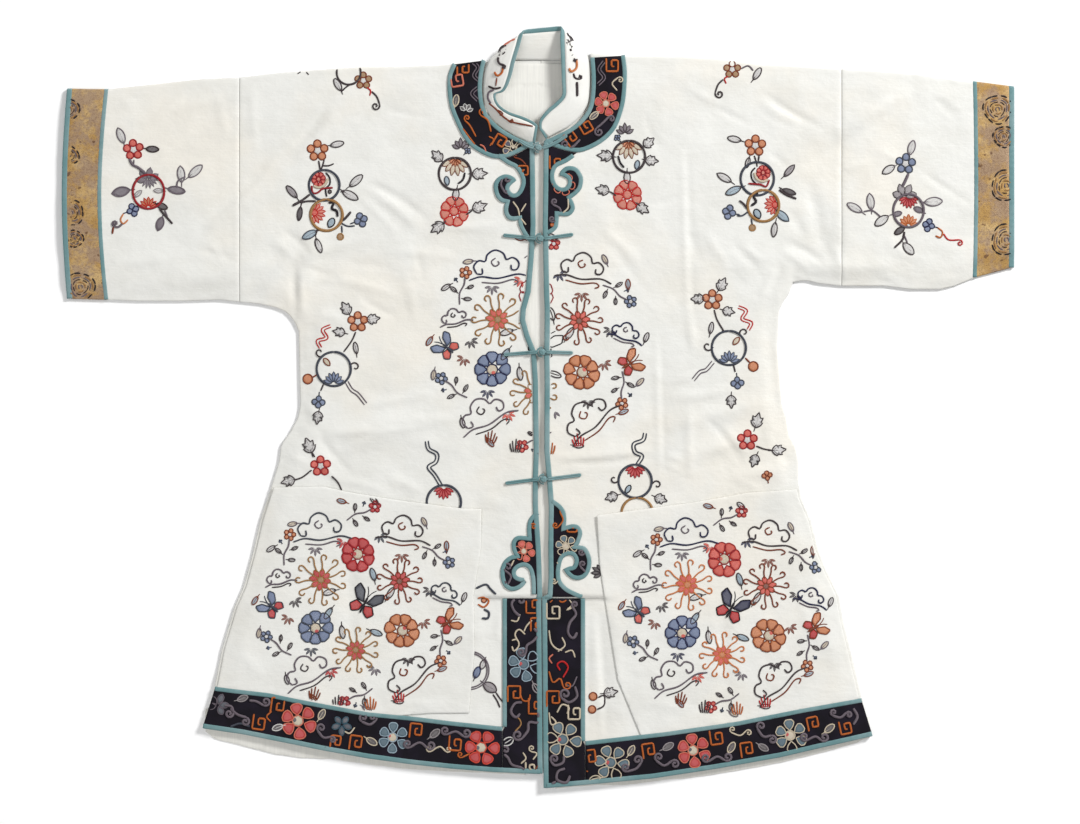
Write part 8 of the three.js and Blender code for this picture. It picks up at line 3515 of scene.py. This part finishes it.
LEFT_FRONT_BAND = [
    Line([(550, 602), (556, 598), (562, 602), (569, 598)], Dye.ORANGE),
    Line([(566, 596), (572, 604), (566, 610), (575, 606)], Dye.CREAM, 1.4),
    Fret(553, 612, 12.6, 0, Dye.CREAM, -1),
    ribbon([(572, 606), (576, 614), (570, 622), (568, 632), (573, 638), (577, 632)], (3, 0)),
    Line([(549, 630), (551, 642), (556, 648), (562, 650)], Dye.CREAM),
    Line([(562, 637), (565, 645), (558, 651)], Dye.CREAM),
    Line([(565, 652), (572, 650), (575, 657)], Dye.CREAM),
    Line([(553, 654), (549, 658), (552, 663)], Dye.SALMON),
    Line([(560, 670), (557, 664), (563, 661), (568, 667), (563, 677)], Dye.RED, 1.8),
    Line([(549, 671), (553, 682), (560, 678), (563, 686)], Dye.ORANGE, 1.7, 0, (0, -4)),
    Line([(577, 676), (572, 686), (566, 684)], Dye.LILAC, 1.6), Fret(553, 697, 12.6, 0, Dye.ORANGE, 1),
    ribbon([(575, 686), (577, 696), (569, 702), (562, 698)], (0, 5)),
    Line([(557, 712), (562, 704), (569, 707), (567, 713)], Dye.CREAM, 1.7),
    Fret(574, 713, 11.6, 0, Dye.CREAM, -1),
    Line([(549, 712), (551, 724), (556, 722), (551, 716)], Dye.CREAM),
    Peony(563, 739, 16.7, 95, Dye.TEAL, Dye.CREAM),
    ribbon([(564, 755), (563, 762), (555, 765), (551, 761)], (0, 4)),
    ribbon([(565, 768), (558, 771), (557, 779), (566, 782), (570, 775)]), ribbon([(548, 785), (556, 781)]),
]
RIGHT_HEM = [
    Fan(218, 705, 13, 65, Dye.SLATE, Dye.LILAC, 5, 250, 0.1),
    ribbon([(225, 705), (232, 706), (234, 712)], (0, 4)),
    Line([(231, 726), (241, 723), (250, 726)], Dye.SLATE, 2.2),
    ribbon([(231, 708), (238, 714), (247, 717)], (0, 4)),
    ribbon([(250, 700), (257, 701), (264, 705)], (0, -4)), dark_leaf(243, 698, 12, 20, Dye.ASH),
    Fret(278, 704, 12.6, -8, Dye.ORANGE, 1), Line([(272, 711), (267, 716), (271, 721)], Dye.ORANGE),
    Fret(259, 723, 11.6, -8, Dye.ORANGE, -1),
    Peony(298.5, 720.5, 16.7, 80, Dye.RED, Dye.SALMON, Dye.CREAM, Dye.SLATE, 6, True),
    dark_leaf(278, 727, 12, 200, Dye.PEARL), dark_leaf(322, 714, 12, 60, Dye.CREAM),
    ribbon([(318, 730), (324, 737), (332, 736)], (4, 3)),
    Fan(342, 724, 12, 270, Dye.SLATE, Dye.TEAL, 5, 280, 0.1), Fret(336, 740, 9.6, -8, Dye.ORANGE, 1),
    Fret(356, 741, 11.6, -8, Dye.ORANGE, 1), ribbon([(362, 721), (370, 724), (376, 720)], (4, -4)),
    dark_leaf(372, 741, 13, -30, Dye.CREAM),
    Peony(393, 737, 14.2, 70, Dye.TEAL, Dye.ICE, Dye.CREAM, Dye.RED),
    Fret(416, 729, 11.6, -6, Dye.ORANGE, 1), ribbon([(410, 747), (420, 742), (428, 748)], (4, -4)),
    dark_leaf(435, 733, 13, 40, Dye.ASH),
    Line([(431, 751), (440, 746), (446, 751)], Dye.CREAM, 1.6, 0, (3, -3)),
    Fret(455, 744, 11.6, -4, Dye.ORANGE, -1), ribbon([(447, 734), (456, 731), (464, 736)], (4, -4)),
    Peony(481.5, 747, 16.2, 100, Dye.RED, Dye.CORAL, Dye.CREAM, Dye.SLATE, 6, True),
    Line([(462, 757), (470, 753)], Dye.ORANGE, 1.6, 0, (3, 0)),
    Line([(355, 727), (350, 733), (345, 731)], Dye.CREAM),
]
LEFT_HEM = [
    Fret(589, 756, 12.6, 8, Dye.ORANGE, 1), Fret(578, 777, 12.6, 8, Dye.ORANGE, -1),
    Line([(584, 762), (581, 768), (588, 771)], Dye.ORANGE), Peony(611, 762, 16.2, 95, Dye.TEAL, Dye.CREAM),
    dark_leaf(631, 750, 12, 60, Dye.CREAM), dark_leaf(595, 778, 12, 190, Dye.CREAM),
    ribbon([(576, 750), (572, 758), (578, 764)]), ribbon([(627, 771), (636, 768), (641, 762)], (4, -4)),
    Fret(648, 749, 11.6, 8, Dye.ORANGE, 1), ribbon([(656, 760), (664, 765), (672, 760)], (4, 4)),
    dark_leaf(668, 746, 13, 30, Dye.ASH),
    Peony(693, 750, 15.7, 80, Dye.RED, Dye.SALMON, Dye.CREAM, Dye.SLATE, 6, True),
    Fret(716, 738, 11.6, 8, Dye.ORANGE, -1), ribbon([(708, 761), (717, 756), (725, 760)], (4, -4)),
    dark_leaf(731, 747, 13, 60, Dye.CREAM),
    Line([(731, 732), (740, 735), (746, 730)], Dye.CREAM, 1.6, 0, (3, 3)),
    Fret(746, 748, 11.6, 8, Dye.ORANGE, 1), ribbon([(757, 728), (763, 736), (771, 735)], (4, 4)),
    dark_leaf(763, 747, 12, -30, Dye.ASH),
    Peony(790, 735, 15.2, 80, Dye.TEAL, Dye.CREAM, Dye.CREAM, Dye.RED),
    Fret(812, 722, 10.6, 12, Dye.ORANGE, 1), ribbon([(806, 740), (815, 736), (821, 740)], (4, -4)),
    dark_leaf(829, 728, 13, 40, Dye.CREAM), ribbon([(832, 715), (840, 717), (846, 712)], (3, 3)),
    Fret(845, 728, 10.6, 12, Dye.ORANGE, -1), ribbon([(853, 708), (857, 716), (853, 724)]),
]
RIGHT_NECK = [
    Fret(463, 68, 11.6, 0, Dye.ORANGE, 1), Fret(457, 81, 11.6, 10, Dye.SALMON, -1),
    Line([(472, 62), (478, 68), (474, 76), (480, 82)], Dye.LILAC, 1.6, 2.6),
    Line([(478, 88), (472, 94), (478, 101)], Dye.LILAC, 1.6, 2.6),
    dark_leaf(456, 101, 13, 80, Dye.CREAM, 0.45), Fan(466, 112, 9, 80, Dye.CHARCOAL, Dye.PEARL, 4, 120),
    Line([(465, 121), (470, 126), (476, 137)], Dye.ORANGE, 1.7, 0, (3, 0)),
    Line([(481, 116), (488, 121), (491, 132)], Dye.ORANGE, 1.7, 0, (4, 0)),
    Line([(463, 129), (469, 137), (475, 145)], Dye.ORANGE, 1.5), Fret(500, 141, 10.6, -30, Dye.ORANGE, 1),
    Line([(489, 137), (494, 140), (490, 146)], Dye.ORANGE),
    Line([(480, 145), (484, 147), (486, 152)], Dye.SALMON),
    Peony(513, 149, 9.4, 0, Dye.NAVY, Dye.CREAM, Dye.NAVY, Dye.CREAM, 6),
]
LEFT_NECK = [
    Fret(612, 66, 11.6, 0, Dye.ORANGE, -1),
    Line([(604, 62), (599, 70), (604, 78), (598, 85)], Dye.LILAC, 1.6, 2.6),
    Line([(618, 78), (612, 84), (617, 91)], Dye.CREAM, 1.6, 0, (3, 0)),
    Peony(606, 104, 11.4, 90, Dye.RED, Dye.SALMON, Dye.CREAM, Dye.CRIMSON, 6, True),
    dark_leaf(594, 116, 12, 220, Dye.CREAM, 0.45),
    Line([(609, 117), (602, 124), (596, 129)], Dye.LILAC, 2.3, 0, (3, -4)),
    Fret(586, 128, 10.6, 30, Dye.ORANGE, -1), Fret(570, 138, 10.6, 35, Dye.ORANGE, 1),
    Line([(580, 140), (573, 147), (566, 149)], Dye.LILAC, 2.3, 0, (0, 4)),
    Line([(558, 141), (553, 147), (560, 150)], Dye.CREAM),
]
RIGHT_UPPER_HEAD = [
    Line([(515, 158), (521, 160), (526, 165)], Dye.RUST, 1.7, 0, (3, 0)),
    Fret(523, 171, 9.6, 0, Dye.ORANGE, 1),
    Line([(503, 178), (501, 185), (505, 193)], Dye.LILAC, 2.3, 0, (4, -3)),
    Line([(506, 186), (511, 190), (509, 197)], Dye.LILAC),
    Line([(513, 202), (518, 209), (520, 217), (526, 225)], Dye.CREAM),
    Line([(526, 204), (521, 212)], Dye.CREAM), Line([(516, 180), (522, 186), (518, 193)], Dye.SALMON, 1.6),
]
LEFT_UPPER_HEAD = [
    Fret(555, 164, 10.6, 0, Dye.ORANGE, -1),
    Peony(563, 184, 10.9, 90, Dye.CORAL, Dye.SALMON, Dye.CREAM, Dye.RED, 6, True),
    Line([(553, 205), (560, 209), (560, 217), (554, 222)], Dye.LILAC, 2.3, 0, (3, 3)),
    Line([(568, 199), (568, 208), (563, 213)], Dye.CREAM),
    Line([(574, 190), (578, 196), (574, 203)], Dye.LILAC, 2.3),
    Berry(552, 225, 1.8, Dye.ORANGE, Dye.ORANGE),
]
RIGHT_LOWER_HEAD = [
    Line([(531, 524), (526, 530), (530, 537)], Dye.ORANGE, 1.7, 0, (3, 0)),
    Peony(524, 551, 9.9, 90, Dye.CORAL, Dye.SALMON, Dye.CREAM, Dye.RED, 6, True),
    Line([(505, 570), (511, 576), (508, 584)], Dye.LILAC, 2.3, 0, (4, 3)),
    Line([(531, 566), (529, 575), (532, 584)], Dye.CREAM), Fret(531, 590, 7.6, 0, Dye.ORANGE, 1),
    Line([(514, 560), (511, 566)], Dye.CREAM),
]
LEFT_LOWER_HEAD = [
    Line([(560, 512), (563, 520), (558, 527)], Dye.ORANGE, 1.7, 0, (3, 3)),
    Fret(572, 527, 9.6, 0, Dye.ORANGE, -1),
    Peony(566, 546, 10.4, 90, Dye.TEAL, Dye.CREAM, Dye.CREAM, Dye.RED, 6),
    Line([(582, 541), (588, 547), (584, 554)], Dye.LILAC, 2.3, 0, (3, 3)),
    Line([(557, 562), (561, 572), (557, 582)], Dye.CREAM, 1.6, 0, (0, 3)),
    Line([(580, 566), (586, 574), (580, 582)], Dye.LILAC, 2.3, 0, (3, 3)),
]
RIGHT_CUFF = [
    CuffMedallion(68.6, 110, 12), CuffMedallion(70, 156, 10), CuffMedallion(72, 213, 13),
    CuffMedallion(75.5, 239, 9), CuffMedallion(81, 287, 15),
]
LEFT_CUFF = [
    CuffMedallion(997, 109.5, 15), CuffMedallion(1003, 137, 11), CuffMedallion(1006, 186, 16),
    CuffMedallion(1006, 240, 16),
]
COLLAR_WORK = [
    Line([(515, 40), (509, 43), (504, 46)], Dye.SALMON, 1.9),
    Leaf(502.5, 51, 12, 62, 0.55, Dye.CHARCOAL, Dye.CHARCOAL, None, 0.1),
    Line([(499.5, 56), (498, 61), (500, 65), (504, 66)], Dye.CHARCOAL, 2.3, 0, (0, 2)),
    Line([(503, 68), (502, 74), (497, 77), (494.5, 73)], Dye.ORANGE, 2.2),
    Line([(497, 79), (496, 87)], Dye.RUST, 1.3),
    Line([(488.5, 87), (495, 89.5), (501, 88.5)], Dye.BROWN, 2.0),
    Line([(494, 91), (489, 93), (488, 99), (491, 104)], Dye.LILAC, 2.0),
    Line([(489, 104), (495, 109), (504, 118), (513, 123), (533, 127)], Dye.RUST, 1.6),
    Line([(498, 111), (502, 113)], Dye.RUST, 1.5, 0, (0, 2)),
    Line([(506, 119), (510, 123)], Dye.RUST, 1.5, 0, (0, -2)),
    Line([(567, 34), (568.5, 37)], Dye.CHARCOAL, 1.8),
    Leaf(570, 43, 14, -76, 0.5, Dye.CHARCOAL, Dye.CHARCOAL, None, 0.1),
    Line([(570.5, 50), (572, 56), (576, 59)], Dye.CHARCOAL, 2.4, 0, (0, 2)),
    Line([(576.5, 61), (576.5, 69), (571, 73), (569, 69.5)], Dye.APRICOT, 2.4),
    Line([(573.5, 74.5), (575, 79), (579.5, 80)], Dye.CHARCOAL, 2.0, 0, (0, -2)),
    Line([(577, 83), (577.3, 97)], Dye.CHARCOAL, 2.7),
]


@dataclass
class CollarGround:
    """Lays stitches that are given in the photo on the collar's outer face."""

    collar: Collar
    columns: int = 240
    rows: int = 24

    def __post_init__(self) -> None:
        """Lists places of the face, with where each lies seen from above."""
        u = np.linspace(0.02, 0.98, self.columns)
        v = np.linspace(0.02, 0.88, self.rows)
        shares = np.array([(a, b) for a in u for b in v])
        upwards = np.sign(self.collar.way_out(shares[:, 0])[:, 2])
        self.seen = self.collar.place(shares, upwards * COLLAR_WALL / 2)

    def place(self, points: Points, lift: Points | float) -> Points:
        """The points on the face that shows there, raised by a lift.

        Args:
            points: (n, 2) points.
            lift: how far they stand off the face.

        Returns:
            (n, 3) points.
        """
        gaps = ((points[:, None, :] - self.seen[None, :, :2]) ** 2).sum(axis=2)
        lift = np.broadcast_to(np.asarray(lift, float), len(points))
        return np.column_stack([points, self.seen[gaps.argmin(axis=1), 2] + lift])

    def on(self, points: Points) -> Points:
        """Which points lie over the collar."""
        gaps = ((points[:, None, :] - self.seen[None, :, :2]) ** 2).sum(axis=2)
        return gaps.min(axis=1) < COLLAR_REACH**2


@dataclass
class Embroidery:
    """All the needlework of one side of the jacket, region by region."""

    cut: Cut
    trimmings: Trimmings
    pocket: Points

    def on_body(self, points: Points) -> Points:
        """Which points lie on the silk of this front, clear of its edges.

        Args:
            points: (n, 2) points.

        Returns:
            True for each point on it.
        """
        x, s = points[:, 0], points[:, 1]
        sign = self.cut.sign
        clear = sign * (x - self.cut.edge_x(s)) > WORK_TO_FRONT_EDGE
        clear &= (s < self.cut.fold(x) + 2.0) & (np.abs(x) < SLEEVE_SEAM_X - 1)
        return clear & (self.cut.inside_seam(x, np.minimum(s, self.cut.fold(x))) > 2)

    def on_sleeve(self, points: Points) -> Points:
        """Which points lie on the silk of this sleeve.

        Args:
            points: (n, 2) points.

        Returns:
            True for each point on it.
        """
        x, s = np.abs(points[:, 0]), points[:, 1]
        over = (s < self.cut.fold(x) + 2.0) & (s > look_up(self.cut.underarm, x) + 2)
        return over & (x > SLEEVE_SEAM_X + 1) & (x < CUFF_SEAM_X)

    def on_cuff(self, points: Points) -> Points:
        """Which points lie on the brocade.

        Args:
            points: (n, 2) points.

        Returns:
            True for each point on it.
        """
        x, s = np.abs(points[:, 0]), points[:, 1]
        over = (s < self.cut.fold(x) + 2.0) & (s > look_up(self.cut.underarm, x) + 1)
        return over & (x > CUFF_SEAM_X + 7.5) & (x < CUFF_X + 3)

    def within(self, outline: Points, inset: float) -> Callable[[Points], Points]:
        """A test for points that lie inside an outline, clear of it by an inset.

        Args:
            outline: (n, 2) corners in order.
            inset: how far inside they have to lie.

        Returns:
            The test.
        """

        def test(points: Points) -> Points:
            """Which points lie inside.

            Args:
                points: (n, 2) points.

            Returns:
                True for each point inside.
            """
            found = inside(points, outline)
            found[found] = distance_to(points[found], outline, closed=True) > inset
            return found

        return test

    def build(self, room: Workroom) -> None:
        """Works every region of this side.

        Args:
            room: takes the finished pieces.
        """
        word = self.cut.side.word
        silk = FoldedCloth(self.cut)
        ground = self.trimmings.ground
        first = self.cut.side is Side.RIGHT
        body = [*RIGHT_CHEST, *RIGHT_SHOULDER, *RIGHT_UPPER, *RIGHT_SIDE, *RIGHT_LOWER]
        if not first:
            body = [*LEFT_CHEST, *LEFT_SHOULDER, *LEFT_UPPER, *LEFT_SIDE, *LEFT_LOWER]
        regions = [
            ("body", silk.place, 0.0, self.on_body, [*body, *FRONT_ROUNDEL]),
            ("sleeve", silk.place, 0.0, self.on_sleeve, RIGHT_SLEEVE if first else LEFT_SLEEVE),
            (
                "cuff", FoldedCloth(self.cut, 0.2).place, -0.15, self.on_cuff,
                RIGHT_CUFF if first else LEFT_CUFF,
            ),
            (
                "pocket", Ground(self.cut, gape=True).place, POCKET_LIFT,
                self.within(self.pocket, WORK_TO_POCKET_EDGE), RIGHT_ROUNDEL if first else LEFT_ROUNDEL,
            ),
        ]
        bands = {
            "neck_band": RIGHT_NECK if first else LEFT_NECK,
            "cloud_head_upper": RIGHT_UPPER_HEAD if first else LEFT_UPPER_HEAD,
            "cloud_head_lower": RIGHT_LOWER_HEAD if first else LEFT_LOWER_HEAD,
            "front_band": RIGHT_FRONT_BAND if first else LEFT_FRONT_BAND,
            "hem_band": RIGHT_HEM if first else LEFT_HEM,
        }
        for key, motifs in bands.items():
            keep = self.within(self.trimmings.fields[key], WORK_TO_OUTLINE)
            regions.append((key, ground.place, BAND_LIFT, keep, motifs))
        for key, place, lift, keep, motifs in regions:
            work = Needlework(f"needlework_{key}_{word}", place, lift, keep)
            for motif in motifs:
                motif.work(work)
            work.build(room, f"{key}_{word}")


def main() -> None:
    """Builds the jacket piece by piece."""
    logging.basicConfig(level=logging.INFO, format="%(name)s: %(message)s")
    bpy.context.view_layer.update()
    room = Workroom(Finishes(), cord_tree())
    for cut in CUTS:
        BodyHalf(cut).build(room)
        Sleeve(cut).build(room)
        trimmings = Trimmings(cut)
        trimmings.build(room)
        pocket = Pocket(cut)
        pocket.build(room)
        LiningHem(cut).build(room)
        Embroidery(cut, trimmings, pocket.outline()).build(room)
    LiningBack().build(room)
    collar = Collar()
    collar.build(room)
    ground = CollarGround(collar)
    sprigs = Needlework("needlework_collar", ground.place, 0.1, ground.on)
    for motif in COLLAR_WORK:
        motif.work(sprigs)
    sprigs.build(room, "collar")
    for frog in FROGS:
        frog.build(room)
    for cloth in room.cloths.values():
        cloth.declare()
    Studio().build()
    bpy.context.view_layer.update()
    log.info("%d pieces", room.count)


if __name__ == "__main__":
    main()
